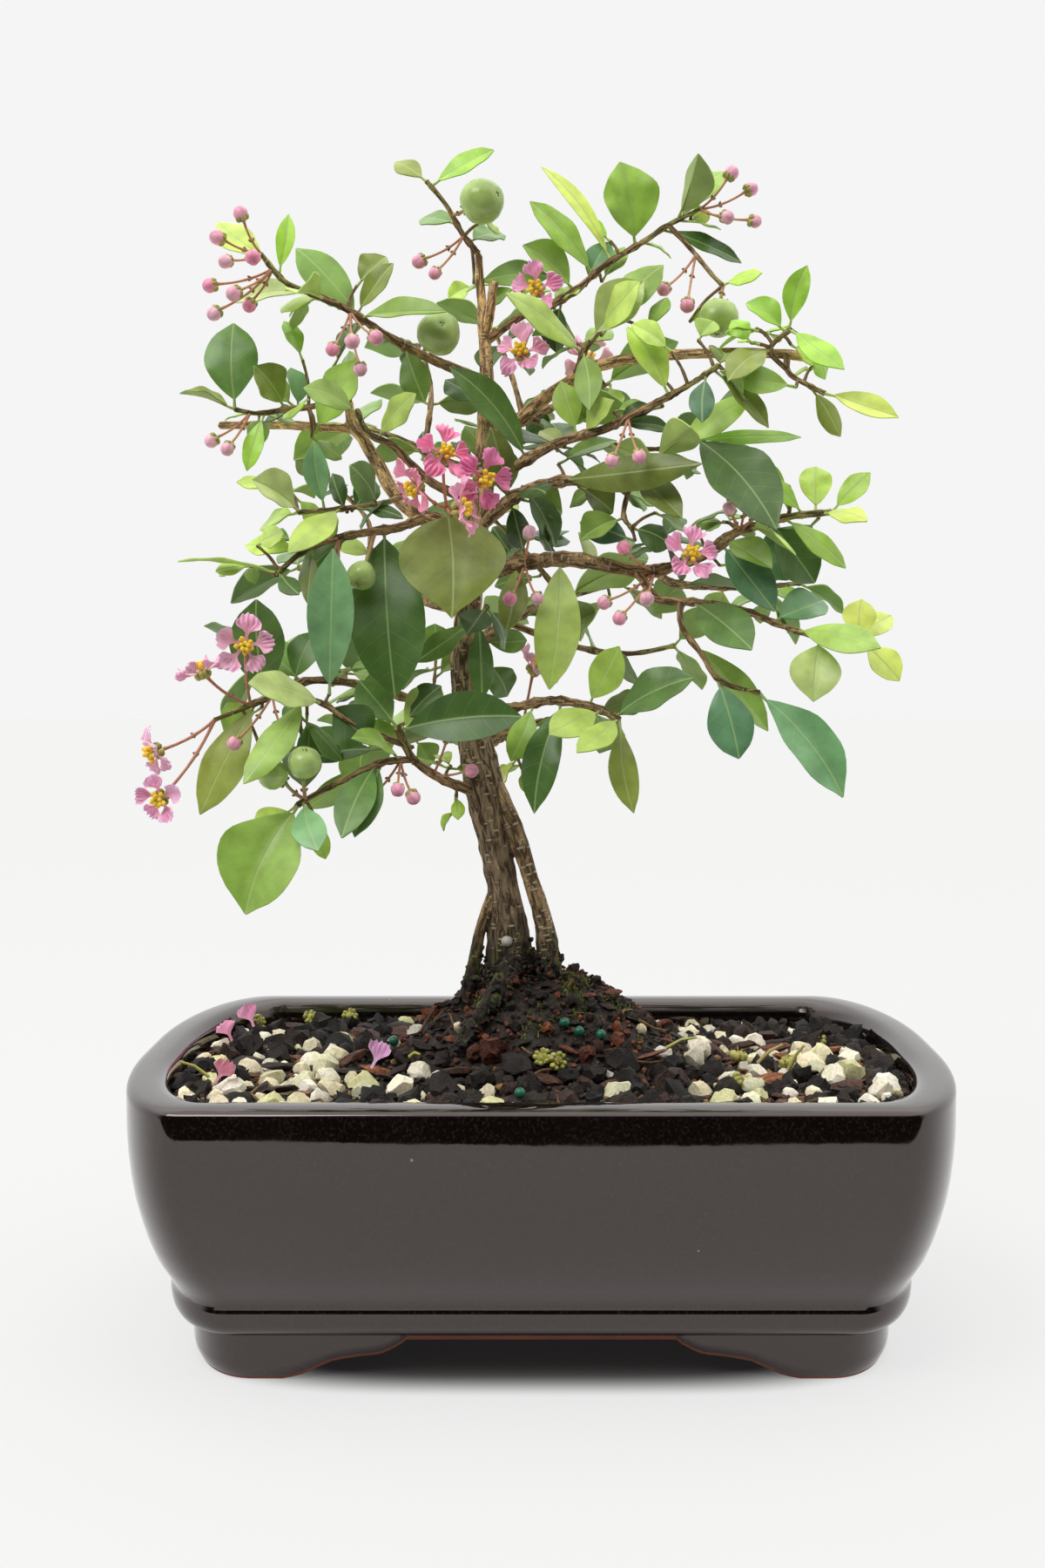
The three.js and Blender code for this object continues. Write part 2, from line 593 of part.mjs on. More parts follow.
    from: ["spray_right_low", 0.36],
    stems: [
      { radii: [1.4, 0.7], rows: [[34, 188, 1], [45, 187, 12], [56, 187, 22], [66, 188, 30]] },
    ],
    pairs: [[0, 0.3, 1, 4, 18]],
  },
};

// Blooms, buds and fruits on stalks that spring from one point of a spray's stem.
// from: [spray, stem, share, how far drawn in]. items: [across, height, depth, radius] of each head.
const CLUSTERS = {
  blooms_heart: {
    kind: "bloom", from: ["spray_heart", 0, 1, 0.4],
    items: [[-26, 224, -31, 8.6], [-36, 212, -33, 8.2], [-20, 203, -42, 8.4], [-11, 215, -35, 8.2]],
  },
  blooms_left: {
    kind: "bloom", from: ["spray_far_left", 0, 0.84, 0.5],
    items: [[-76, 172, -34, 8.4], [-87, 165, -33, 7.6]],
  },
  blooms_far_left: {
    kind: "bloom", from: ["spray_far_left", 0, 1, 0.8],
    items: [[-99, 145, -30, 6.8], [-98, 133, -33, 6.8]],
  },
  blooms_right: { kind: "bloom", from: ["spray_right_low", 0, 0.5, 0.5], items: [[38, 195, -32, 8]] },
  blooms_low: { kind: "bloom", from: ["spray_back_low", 0, 0.45, 0.5], items: [[-2, 166, 22, 8]] },
  blooms_upper: {
    kind: "bloom", from: ["spray_top_right", 0, 0.2],
    items: [[-5, 246, -8, 8], [-1, 262, -7, 7.6]],
  },
  blooms_back: { kind: "bloom", from: ["spray_back_high", 0, 0.78], items: [[12, 244, 52, 8.4]] },
  buds_top_left: {
    kind: "bud", from: ["spray_top_left", 0, 1, 0.3],
    items: [[-76, 281, -22, 2.3], [-82, 275, -24, 2.4], [-80, 269, -27, 2.2], [-73, 270, -29, 2.4]],
  },
  buds_far_top_left: {
    kind: "bud", from: ["spray_top_left", 0, 0.93, 0.5],
    items: [[-84, 263, -21, 2.3], [-78, 261, -25, 2.4], [-74, 258, -19, 2.2], [-83, 256, -25, 2.3]],
  },
  buds_upper_left: {
    kind: "bud", from: ["spray_top_left", 0, 0.56, 0.4],
    items: [[-42, 250, -21, 2.4], [-48, 249, -24, 2.4], [-53, 247, -21, 2.2], [-46, 242, -19, 2.2]],
  },
  buds_crown: { kind: "bud", from: ["spray_crown", 0, 0.3], items: [[-31, 269, -5, 2.3], [-27, 266, -9, 2]] },
  buds_top_right: {
    kind: "bud", from: ["spray_top_right", 0, 1, 0.6],
    items: [[48, 291, 8, 2.4], [53, 287, 12, 2.3], [47, 280, 3, 2.3], [54, 279, 9, 2.2]],
  },
  buds_upper_right: {
    kind: "bud", from: ["spray_top_right", 1, 0.4],
    items: [[31, 262, -2, 2.2], [37, 258, -4, 2.4]],
  },
  buds_middle: {
    kind: "bud", from: ["spray_right_high", 0, 0.46, 0.7],
    items: [[18, 219, -27, 2.2], [25, 220, -29, 2.2]],
  },
  buds_right: {
    kind: "bud", from: ["spray_right_low", 0, 0.68, 0.5],
    items: [[46, 216, -18, 2.2], [53, 212, -22, 2.4], [48, 207, -24, 2.2], [58, 210, -26, 2.4]],
  },
  buds_low_right: {
    kind: "bud", from: ["spray_right_low", 0, 0.36],
    items: [[21, 197, -23, 2.2], [27, 184, -27, 2.3], [16, 183, -24, 2.2], [20, 179, -27, 2.2]],
  },
  buds_centre: {
    kind: "bud", from: ["spray_right_low", 0, 0.12],
    items: [[-3, 201, -17, 2.2], [-8, 184, -19, 2.2], [-1, 184, -19, 2]],
  },
  buds_left: {
    kind: "bud", from: ["spray_left_mid", 0, 0.55],
    items: [[-56, 188, -28, 2.3], [-51, 184, -27, 2.3], [-61, 200, -29, 2.2]],
  },
  buds_low_left: {
    kind: "bud", from: ["spray_low_left", 1, 0.12],
    items: [[-37, 135, -30, 2.2], [-33, 133, -24, 2.3], [-46, 131, -24, 2.2]],
  },
  buds_low: {
    kind: "bud", from: ["spray_low_left", 0, 0.42],
    items: [[-24, 149, -20, 2.2], [-18, 140, -19, 2.3]],
  },
  buds_far_left: {
    kind: "bud", from: ["spray_far_left", 0, 0.75],
    items: [[-79, 147, -31, 2.2], [-66, 149, -26, 2.2]],
  },
  buds_left_high: {
    kind: "bud", from: ["spray_left_upper", 0, 0.86],
    items: [[-80, 222, -17, 2.2], [-84, 224, -12, 2.2]],
  },
  fruit_crown: { kind: "fruit", from: ["spray_crown", 0, 0.55, 0.6], items: [[-15, 284, -8, 5.6]] },
  fruit_upper: { kind: "fruit", from: ["spray_top_left", 0, 0.2], items: [[-26, 251, -14, 5.4]] },
  fruit_right: { kind: "fruit", from: ["spray_top_right", 1, 1, 0.5], items: [[45, 255, -5, 5]] },
  fruit_left: { kind: "fruit", from: ["spray_left_mid", 0, 0.36], items: [[-46, 190, -26, 3.6]] },
  fruits_low_left: {
    kind: "fruit", from: ["spray_low_left", 1, 0.86],
    items: [[-61, 142, -38, 4], [-69, 139, -36, 3.7]],
  },
};

// Shape of a leaf: where its cross rows stand, how full it is and how far it arches
const SMALL_LEAF_ROWS = [0.55];
const LEAF_ROWS = [0.3, 0.74];
const BIG_LEAF_ROWS = [0.16, 0.5, 0.84];
const SMALL_LEAF_WIDTH = 6.2;
const BIG_LEAF_WIDTH = 10.5;
const LEAF_BROADEST = 1.1;
const LEAF_FULLNESS = 0.75;
const LEAF_ARCH = 0.05;
const LEAF_THICKNESS = 0.85;
const PETIOLE_HALF_WIDTH = 0.55;
const TO_VIEWER = [0, -0.8, 0.6];
const LEAF_SPACE = 1.15;
const STEM_SPACE = 0.45;
const CROWD = 0.85;

// Ways to move a leaf's tip, in order, until the leaf is clear of its neighbours
const NUDGES = [
  [0, 0, 0], [0, -5, 0], [0, 5, 0], [0, -10, 2], [0, 10, 2], [0, -2, 5], [0, 2, -5], [5, -3, 0], [-5, -3, 0],
  [0, -16, 3], [0, 16, 3], [7, -8, 5], [-7, -8, 5], [7, 8, -5], [-7, 8, -5], [0, -12, 10], [0, 12, -10],
];

// A place on a route of [x, y, z, radius] rows, at a share of its length, on a smooth curve
function along(route, share) {
  const last = route.length - 1;
  const s = Math.min(Math.max(share, 0), 1) * last;
  const i = Math.min(Math.floor(s), last - 1);
  const f = s - i;
  const a = route[Math.max(i - 1, 0)];
  const b = route[i];
  const c = route[i + 1];
  const d = route[Math.min(i + 2, last)];
  return [0, 1, 2, 3].map((k) => {
    const slope = (c[k] - a[k]) * f;
    const bend = (2 * a[k] - 5 * b[k] + 4 * c[k] - d[k]) * f * f;
    const twist = (3 * b[k] - a[k] - 3 * c[k] + d[k]) * f * f * f;
    return 0.5 * (2 * b[k] + slope + bend + twist);
  });
}

function heading(route, share) {
  return unit(take(along(route, Math.min(share + 0.02, 1)), along(route, Math.max(share - 0.02, 0))));
}

// A tube along a route, with its rings carried on without twist. Extra widens and lengthens it.
function limb(route, sides, extra = 0) {
  const steps = Math.max(2, Math.round((route.length - 1) * (sides > 6 ? 1.2 : 1)));
  let aside = squareTo([0.3, -1, 0.2], heading(route, 0));
  const rings = [];
  for (let k = 0; k <= steps; k += 1) {
    const axis = heading(route, k / steps);
    const [x, y, z, radius] = along(route, k / steps);
    const onward = { 0: -extra, [steps]: extra }[k] ?? 0;
    const place = add([x, y, z], grow(axis, onward));
    aside = squareTo(aside, axis);
    const other = cross(axis, aside);
    rings.push(Array.from({ length: sides }, (_, i) => {
      const turn = (2 * Math.PI * i) / sides;
      const reach = radius + extra;
      return add(place, add(grow(aside, Math.cos(turn) * reach), grow(other, Math.sin(turn) * reach)));
    }));
  }
  return skin(rings);
}

// Where a side shoot leaves its carrier: just clear of the carrier's surface, drawn in by what the
// flats of the two take away
const SHOOT_GAP = 0.35;
const TIP_GAP = 0.4;
const LEAST_LEAN = 0.3;
function springPoint(route, share, towards, radius, drawnIn = 0) {
  const place = along(route, share);
  const way = unit(take(towards, place));
  const along01 = Math.abs(dot(way, heading(route, share)));
  const lean = Math.sqrt(1 - along01 * along01);
  const besideCarrier = (place[3] + SHOOT_GAP + radius * along01) / Math.max(lean, LEAST_LEAN);
  const clear = share < 1 ? besideCarrier : TIP_GAP + (place[3] + radius) * lean;
  return add(place, grow(way, clear - drawnIn));
}

const limbRoutes = Object.fromEntries(
  Object.entries(LIMBS).map(([name, rows]) => [name, rows.map(seen)]),
);

// Routes of a spray's stems in space
function stemRoutes(spray) {
  const routes = [];
  for (const { start, radii, rows } of spray.stems) {
    const places = rows.map(seen);
    const [name, share, drawnIn] = spray.from;
    const carrier = limbRoutes[name] ?? stems[name][0];
    const root = routes.length === 0
      ? springPoint(carrier, share, places[0], radii[0], drawnIn)
      : along(routes[0], start).slice(0, 3);
    const all = [root, ...places];
    routes.push(all.map((p, i) => [...p, radii[0] + (radii[1] - radii[0]) * (i / (all.length - 1))]));
  }
  return routes;
}
const stems = {};
for (const [name, spray] of Object.entries(SPRAYS)) stems[name] = stemRoutes(spray);

// What already stands in the tree: rows of points, each with the room it needs
const standing = [];
function stand(owner, points) {
  let centre = [0, 0, 0];
  for (const p of points) centre = add(centre, grow(p, 1 / points.length));
  const reach = Math.max(...points.map((p) => size(take(p, centre)) + p[3]));
  return { owner, centre, reach, points };
}

function isClear(item) {
  for (const other of standing) {
    const gap = size(take(item.centre, other.centre));
    const own = other.owner === item.owner;
    if (gap < item.reach + other.reach && !(own && other.stem)) {
      for (const p of item.points) {
        for (const q of other.points) {
          const room = (p[3] + q[3]) * (own ? CROWD : 1);
          if (size(take(p, q)) < room) return false;
        }
      }
    }
  }
  return true;
}

function standRoute(owner, route) {
  let length = 0;
  for (let i = 1; i < route.length; i += 1) length += size(take(route[i], route[i - 1]));
  const parts = Math.max(1, Math.round(length / 12));
  for (let part = 0; part < parts; part += 1) {
    const points = [];
    for (let k = 0; k <= 8; k += 1) {
      const place = along(route, (part + k / 8) / parts);
      points.push([place[0], place[1], place[2], place[3] + STEM_SPACE]);
    }
    standing.push({ ...stand(owner, points), stem: true });
  }
}
for (const route of Object.values(limbRoutes)) standRoute("trunk", route);
for (const [name, routes] of Object.entries(stems)) routes.forEach((route) => standRoute(name, route));

// Heads and stalks of a cluster, each head with its place, radius and facing. A bloom turns
// towards the front.
const STALK_ROOM = 0.85;
const BLOOM_TURN = [0, -0.75, 0.15];
const BLOOM_BACK = 1.6;
function headsOf(cluster) {
  const [spray, stem, share, drawnIn = 0] = cluster.from;
  const carrier = stems[spray][stem];
  const places = cluster.items.map(seen);
  let middle = [0, 0, 0];
  for (const p of places) middle = add(middle, grow(p, 1 / places.length));
  const start = along(carrier, share);
  const root = add(start, grow(unit(take(middle, start)), start[3] + STALK_ROOM - drawnIn));
  return places.map((place) => {
    const way = unit(take(place, root));
    const facing = cluster.kind === "bloom" ? unit(add(way, BLOOM_TURN)) : way;
    const behind = cluster.kind === "bloom" ? BLOOM_BACK : place[3] * 0.7;
    return { root, place: place.slice(0, 3), radius: place[3], facing, end: take(place, grow(facing, behind)) };
  });
}
const heads = Object.fromEntries(Object.entries(CLUSTERS).map(([name, c]) => [name, headsOf(c)]));
for (const [name, row] of Object.entries(heads)) {
  for (const head of row) {
    const wide = CLUSTERS[name].kind === "bloom";
    const points = [[...head.place, wide ? head.radius * 0.45 : head.radius + SEAT_GAP]];
    const aside = squareTo([1, 0.2, 0.1], head.facing);
    const other = cross(head.facing, aside);
    for (let k = 0; wide && k < 8; k += 1) {
      const turn = (Math.PI * k) / 4;
      const arm = add(grow(aside, Math.cos(turn) * head.radius), grow(other, Math.sin(turn) * head.radius));
      points.push([...add(head.place, grow(arm, 0.75)), head.radius * 0.28 + 0.4]);
    }
    for (let k = 1; k < 6; k += 1) points.push([...mix(head.root, head.end, k / 6), 0.9]);
    standing.push(stand(name, points));
  }
}

// The frame of a leaf: its axis, its upper side and its width at each row
function leafFrame(leaf) {
  const length = size(take(leaf.tip, leaf.root));
  const axis = unit(take(leaf.tip, leaf.root));
  const level = squareTo(leaf.facing, axis);
  const turn = (leaf.turn * Math.PI) / 180;
  const up = add(grow(level, Math.cos(turn)), grow(cross(axis, level), Math.sin(turn)));
  return { length, axis, up, side: cross(up, axis) };
}

function halfWidthAt(leaf, t) {
  return (leaf.width / 2) * Math.sin(Math.PI * t ** LEAF_BROADEST) ** LEAF_FULLNESS;
}

function leafPoint(leaf, frame, t, across) {
  const spine = add(leaf.root, grow(frame.axis, frame.length * t));
  const lift = LEAF_ARCH * frame.length * 4 * t * (1 - t);
  return add(spine, add(grow(frame.up, lift), grow(frame.side, across)));
}

// Points all over a leaf, near enough together that nothing passes between them
function leafPoints(leaf) {
  const frame = leafFrame(leaf);
  const rows = Math.max(4, Math.round(frame.length / 2.6));
  const points = [];
  for (let k = 1; k <= rows; k += 1) {
    const t = 0.1 + (0.9 * k) / rows;
    const half = t < 1 ? halfWidthAt(leaf, t) : 0;
    const columns = Math.max(0, Math.round(half / 2.4));
    for (let c = -columns; c <= columns; c += 1) {
      const across = columns ? (half * c) / columns : 0;
      points.push([...leafPoint(leaf, frame, t, across), LEAF_SPACE]);
    }
  }
  return points;
}

// A leaf takes the first attitude that is clear, or isn't there
function settle(leaf) {
  for (const nudge of NUDGES) {
    const tried = { ...leaf, tip: add(leaf.tip, nudge) };
    const item = stand(leaf.spray, leafPoints(tried));
    if (isClear(item)) {
      standing.push(item);
      return tried;
    }
  }
  return null;
}

// The leaves laid out by hand, then the pairs that grow by rule: each pair turned from the last
// by PAIR_TURN, and the leaves of a pair drooping a little and facing up and outwards
const PAIR_TURN = 0.9;
const PAIR_STRAY = 0.7;
const LEAF_DROOP = [0, 0, -0.25];
const FACE_UP = [0, 0, 0.8];
const FACE_OUT = 0.6;
const LEAF_TWIST = 30;
const CROWN_MIDDLE = -15;
const leaves = [];
for (const [name, spray] of Object.entries(SPRAYS)) {
  for (const [stem, share, across, height, depth, width, turn = 0] of spray.leaves ?? []) {
    const root = along(stems[name][stem], share).slice(0, 3);
    const leaf = { spray: name, root, tip: seen([across, height, depth]), width, facing: TO_VIEWER, turn };
    leaves.push(settle(leaf));
  }
}
for (const [index, [name, spray]] of Object.entries(SPRAYS).entries()) {
  const draw = draws(101 + index);
  for (const [stem, first, last, count, length] of spray.pairs ?? []) {
    const route = stems[name][stem];
    for (let k = 0; k < count; k += 1) {
      const share = count > 1 ? first + ((last - first) * k) / (count - 1) : last;
      const place = along(route, share);
      const axis = heading(route, share);
      const level = unit(cross(axis, [0, 0, 1]));
      const rise = cross(level, axis);
      const roll = PAIR_TURN * k + PAIR_STRAY * (draw() - 0.5);
      for (const hand of [1, -1]) {
        const sideways = add(grow(level, hand * Math.cos(roll)), grow(rise, hand * Math.sin(roll)));
        const way = unit(add(add(grow(axis, 0.35 + 0.5 * share), sideways), LEAF_DROOP));
        const reach = length * (0.75 + 0.5 * draw());
        const outward = unit([place[0] - CROWN_MIDDLE, place[1], 0]);
        leaves.push(settle({
          spray: name,
          root: place.slice(0, 3),
          tip: add(place, grow(way, reach)),
          width: reach * (0.5 + 0.12 * draw()),
          facing: unit(add(FACE_UP, grow(outward, FACE_OUT))),
          turn: LEAF_TWIST * (draw() - 0.5),
        }));
      }
    }
  }
}
const grown = leaves.filter(Boolean);

// One leaf as a thin solid, raised along its midrib and sharp at its edges
function blade(leaf) {
  const frame = leafFrame(leaf);
  const across = (t, half) => {
    const middle = leafPoint(leaf, frame, t, 0);
    return [
      leafPoint(leaf, frame, t, half),
      add(middle, grow(frame.up, LEAF_THICKNESS)),
      leafPoint(leaf, frame, t, -half),
    ];
  };
  const midway = leaf.width < SMALL_LEAF_WIDTH ? SMALL_LEAF_ROWS : LEAF_ROWS;
  const rows = leaf.width > BIG_LEAF_WIDTH ? BIG_LEAF_ROWS : midway;
  return skin([across(0, PETIOLE_HALF_WIDTH), ...rows.map((t) => across(t, halfWidthAt(leaf, t)))], leaf.tip);
}

// A ring of points round a place on an axis
function ringAt(place, axis, radius, sides, lobe = 0) {
  const aside = squareTo([0.2, 0.3, 1], axis);
  const other = cross(axis, aside);
  return Array.from({ length: sides }, (_, i) => {
    const turn = (2 * Math.PI * i) / sides;
    const out = radius * (1 + lobe * Math.cos(3 * turn));
    return add(place, add(grow(aside, Math.cos(turn) * out), grow(other, Math.sin(turn) * out)));
  });
}

// A bud or a fruit with its stalk, in one skin: [rise, reach] of each ring as shares of the radius
const BUD_RINGS = [[-0.72, 0.66], [0.35, 0.95]];
const FRUIT_RINGS = [[-0.9, 0.44], [-0.45, 0.89], [0.2, 0.98], [0.74, 0.66]];
const STALK_RADIUS = 0.45;
const BALL_END = 0.97;
function ball({ root, place, facing, radius }, sides, profile, lobe = 0) {
  const underside = take(place, grow(facing, radius * BALL_END));
  const stalk = [root, underside].map((p) => ringAt(p, facing, STALK_RADIUS, sides));
  const head = profile.map(([rise, reach]) => (
    ringAt(add(place, grow(facing, rise * radius)), facing, radius * reach, sides, lobe)
  ));
  return skin([...stalk, ...head], add(place, grow(facing, radius * BALL_END)));
}

// Five clawed petals as one thin cupped star: [turn, reach, rise] shares, petal by petal
const PETAL_POINTS = [[-0.5, 0.34, 0.04], [-0.3, 0.95, 0.2], [0.3, 0.95, 0.2]];
const THROAT_SHARE = 0.24;
const PETAL_THICKNESS = 0.8;
const CUP_DEPTH = 0.3;
const NECK_DEPTH = 0.26;
function bloom({ root, place, facing, radius, end }) {
  const aside = squareTo([0.1, 0.3, 1], facing);
  const other = cross(facing, aside);
  const spot = (turn, reach, rise) => {
    const arm = add(grow(aside, Math.cos(turn) * reach * radius), grow(other, Math.sin(turn) * reach * radius));
    return add(place, add(arm, grow(facing, rise)));
  };
  const rim = [];
  const throat = [];
  const back = [];
  for (let k = 0; k < 5; k += 1) {
    for (const [share, reach, rise] of PETAL_POINTS) {
      const turn = ((2 * Math.PI) / 5) * (k + share);
      rim.push(spot(turn, reach, rise * radius));
      throat.push(spot(turn, THROAT_SHARE, PETAL_THICKNESS));
      back.push(spot(turn, THROAT_SHARE, -PETAL_THICKNESS));
    }
  }
  const count = rim.length;
  const faces = [];
  for (let i = 0; i < count; i += 1) {
    const j = (i + 1) % count;
    const [front, nextFront] = [count + i, count + j];
    const [rear, nextRear] = [2 * count + i, 2 * count + j];
    faces.push([i, j, nextFront], [i, nextFront, front], [front, nextFront, 3 * count]);
    faces.push([j, i, nextRear], [i, rear, nextRear], [nextRear, rear, 3 * count + 1]);
  }
  const heart = [spot(0, 0, CUP_DEPTH * radius), spot(0, 0, -NECK_DEPTH * radius)];
  const corolla = solidFrom([...rim, ...throat, ...back, ...heart], faces);
  const stalkEnds = [root, mix(end, place, 0.6)];
  return corolla.add(skin(stalkEnds.map((p) => ringAt(p, facing, STALK_RADIUS, 3))));
}

function headSolid(kind, head) {
  if (kind === "bloom") return bloom(head);
  return kind === "fruit" ? ball(head, 10, FRUIT_RINGS, 0.05) : ball(head, 4, BUD_RINGS);
}

function clusterSolid(name) {
  const { kind } = CLUSTERS[name];
  return joined(heads[name].map((head) => headSolid(kind, head)));
}

function spraySolid(name) {
  const own = grown.filter((leaf) => leaf.spray === name).map(blade);
  return joined([...stems[name].map((route) => limb(route, 4)), ...own]);
}

function trunk() {
  return joined(Object.entries(limbRoutes).map(([name, route]) => limb(route, LIMB_SIDES[name] ?? 6)));
}

const COLOURS = {
  pot: ["#564c48", 0.22], screen: ["#2b2b2b", 0.6], soil: ["#6f5b4b", 0.95], wood: ["#6b5a48", 0.85],
  leaf: ["#4a7a3a", 0.4], bloom: ["#e884b4", 0.6], bud: ["#c4529a", 0.5], fruit: ["#7aa850", 0.3],
};

// A solid as a named three.js mesh of its own colour
function meshOf(name, solid, colour) {
  const { numProp, vertProperties, triVerts } = solid.getMesh();
  const places = new Float32Array((vertProperties.length / numProp) * 3);
  for (let i = 0; i < places.length / 3; i += 1) {
    for (let k = 0; k < 3; k += 1) places[3 * i + k] = vertProperties[numProp * i + k];
  }
  const geometry = new THREE.BufferGeometry();
  geometry.setAttribute("position", new THREE.BufferAttribute(places, 3));
  geometry.setIndex([...triVerts]);
  geometry.computeVertexNormals();
  const [color, roughness] = COLOURS[colour];
  const mesh = new THREE.Mesh(geometry, new THREE.MeshStandardMaterial({ color, roughness, metalness: 0 }));
  mesh.name = name;
  return mesh;
}

function screenPocket(x) {
  const side = SCREEN_SIDE + 2 * SEAT_GAP;
  const height = SCREEN_THICKNESS + 3 * SEAT_GAP;
  const box = new THREE.BoxGeometry(side, side, height);
  box.translate(x, 0, FLOOR_HEIGHT + height / 2);
  return solidOf(box);
}

const drains = [-DRAIN_FROM_MIDDLE, DRAIN_FROM_MIDDLE];
const rootHoles = BURIED_LIMBS.map((name) => limb(limbRoutes[name], LIMB_SIDES[name] ?? 6, SEAT_GAP + 0.1));

const bonsai = new THREE.Group();
bonsai.add(meshOf("pot", pot(), "pot"));
drains.forEach((x, i) => bonsai.add(meshOf(`drain_screen_${i + 1}`, screen(x), "screen")));
bonsai.add(meshOf("soil", soil(rootHoles, drains.map(screenPocket)), "soil"));
bonsai.add(meshOf("trunk", trunk(), "wood"));
for (const name of Object.keys(SPRAYS)) bonsai.add(meshOf(name, spraySolid(name), "leaf"));
for (const [name, { kind }] of Object.entries(CLUSTERS)) bonsai.add(meshOf(name, clusterSolid(name), kind));

export default bonsai;
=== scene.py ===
import math

import bpy
import numpy as np
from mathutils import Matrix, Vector, noise


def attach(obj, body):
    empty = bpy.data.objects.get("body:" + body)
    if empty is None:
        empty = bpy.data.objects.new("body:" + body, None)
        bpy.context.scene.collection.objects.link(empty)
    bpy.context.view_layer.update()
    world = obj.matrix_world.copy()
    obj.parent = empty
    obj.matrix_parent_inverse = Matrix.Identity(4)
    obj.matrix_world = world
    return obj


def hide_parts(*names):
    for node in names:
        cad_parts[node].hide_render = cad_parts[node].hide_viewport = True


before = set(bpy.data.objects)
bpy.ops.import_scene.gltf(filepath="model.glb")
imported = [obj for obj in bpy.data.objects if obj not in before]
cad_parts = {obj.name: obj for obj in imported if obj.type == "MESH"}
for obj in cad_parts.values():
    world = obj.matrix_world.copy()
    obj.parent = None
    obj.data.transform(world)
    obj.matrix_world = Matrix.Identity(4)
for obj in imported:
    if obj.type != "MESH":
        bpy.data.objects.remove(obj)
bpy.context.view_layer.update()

MM = 0.001

# Camera and the photograph's frame, in millimetres and radians
EYE = (0.0, -492.6, 168.6)
EYE_PITCH = 0.065
FOCAL_PIXELS = 2200.7
FRAME_PIXELS = (1200, 1800)
MIDDLE_PIXEL = 621.6
SENSOR = 36.0

# Pot: half sizes, rounded corners, and how far each height of the wall stands inside the outline
POT_HALF_WIDTH = 101.6
POT_HALF_DEPTH = 74.0
CORNER_WIDTH_SHARE = 0.2
CORNER_DEPTH_SHARE = 0.878
# the corners are tighter low down: heights, and the share of the half depth that they take there
CORNER_SHARES = [(22, 0.686), (50, CORNER_DEPTH_SHARE)]
DEPTH_TAPER = 1.3
UNDERSIDE_HEIGHT = 9.0
FLOOR_HEIGHT = 15.0
DRAIN_RADIUS = 8.0
DRAIN_FROM_MIDDLE = 44.0
DRILL_LENGTH = 12.0
WALL_PROFILE = [
    (16.2, 9.6), (15.6, 10.8), (13.8, 11.6), (12.2, 12.5), (11.0, 13.6), (10.4, 15), (10.15, 16.4),
    (10.1, 17.8), (10.2, 18.8), (10.42, 19.7), (10.2, 20.6), (9.4, 22.3), (8.3, 24.4), (6.4, 28), (4.5, 33),
    (3.0, 38), (1.7, 43), (0.8, 48), (0.25, 53), (0, 58), (0, 66.8), (0.08, 67.5), (0.35, 68.1),
    (0.9, 68.55), (2.0, 68.85),
]
INNER_PROFILE = [
    (5.6, 68.9), (7.2, 68.6), (8.4, 67.8), (9.2, 66.4), (9.5, 64), (9.6, 50), (12, 32), (19, 19), (24, 15),
]
FOOT_INSET = 14.9
FOOT_TOE_INSET = 15.8
FOOT_THICKNESS = 9.0
# how far the skirt of the feet goes up into the pot's floor
FOOT_SUNK = 4.5
FOOT_CORNER_DEPTH_SHARE = 0.687
FRONT_ARCH = [(60, 0), (56, 1.1), (49, 4.3), (43, 5.3), (38, 5.8), (34.5, 7.3), (31.5, 9.2), (30.5, 10.4)]
SIDE_ARCH = [(27, 0), (25.5, 1.1), (22, 4.3), (19.5, 5.3), (17, 5.8), (15.4, 7.3), (14, 9.2), (13.5, 10.4)]

# Soil
SOIL_FRONT_HEIGHT = 65.0
SOIL_BACK_HEIGHT = 61.0
MOUND_CENTRE = (-1.0, 1.0)
MOUND_HEIGHT = 25.0
MOUND_REACH = (27.0, 22.0)

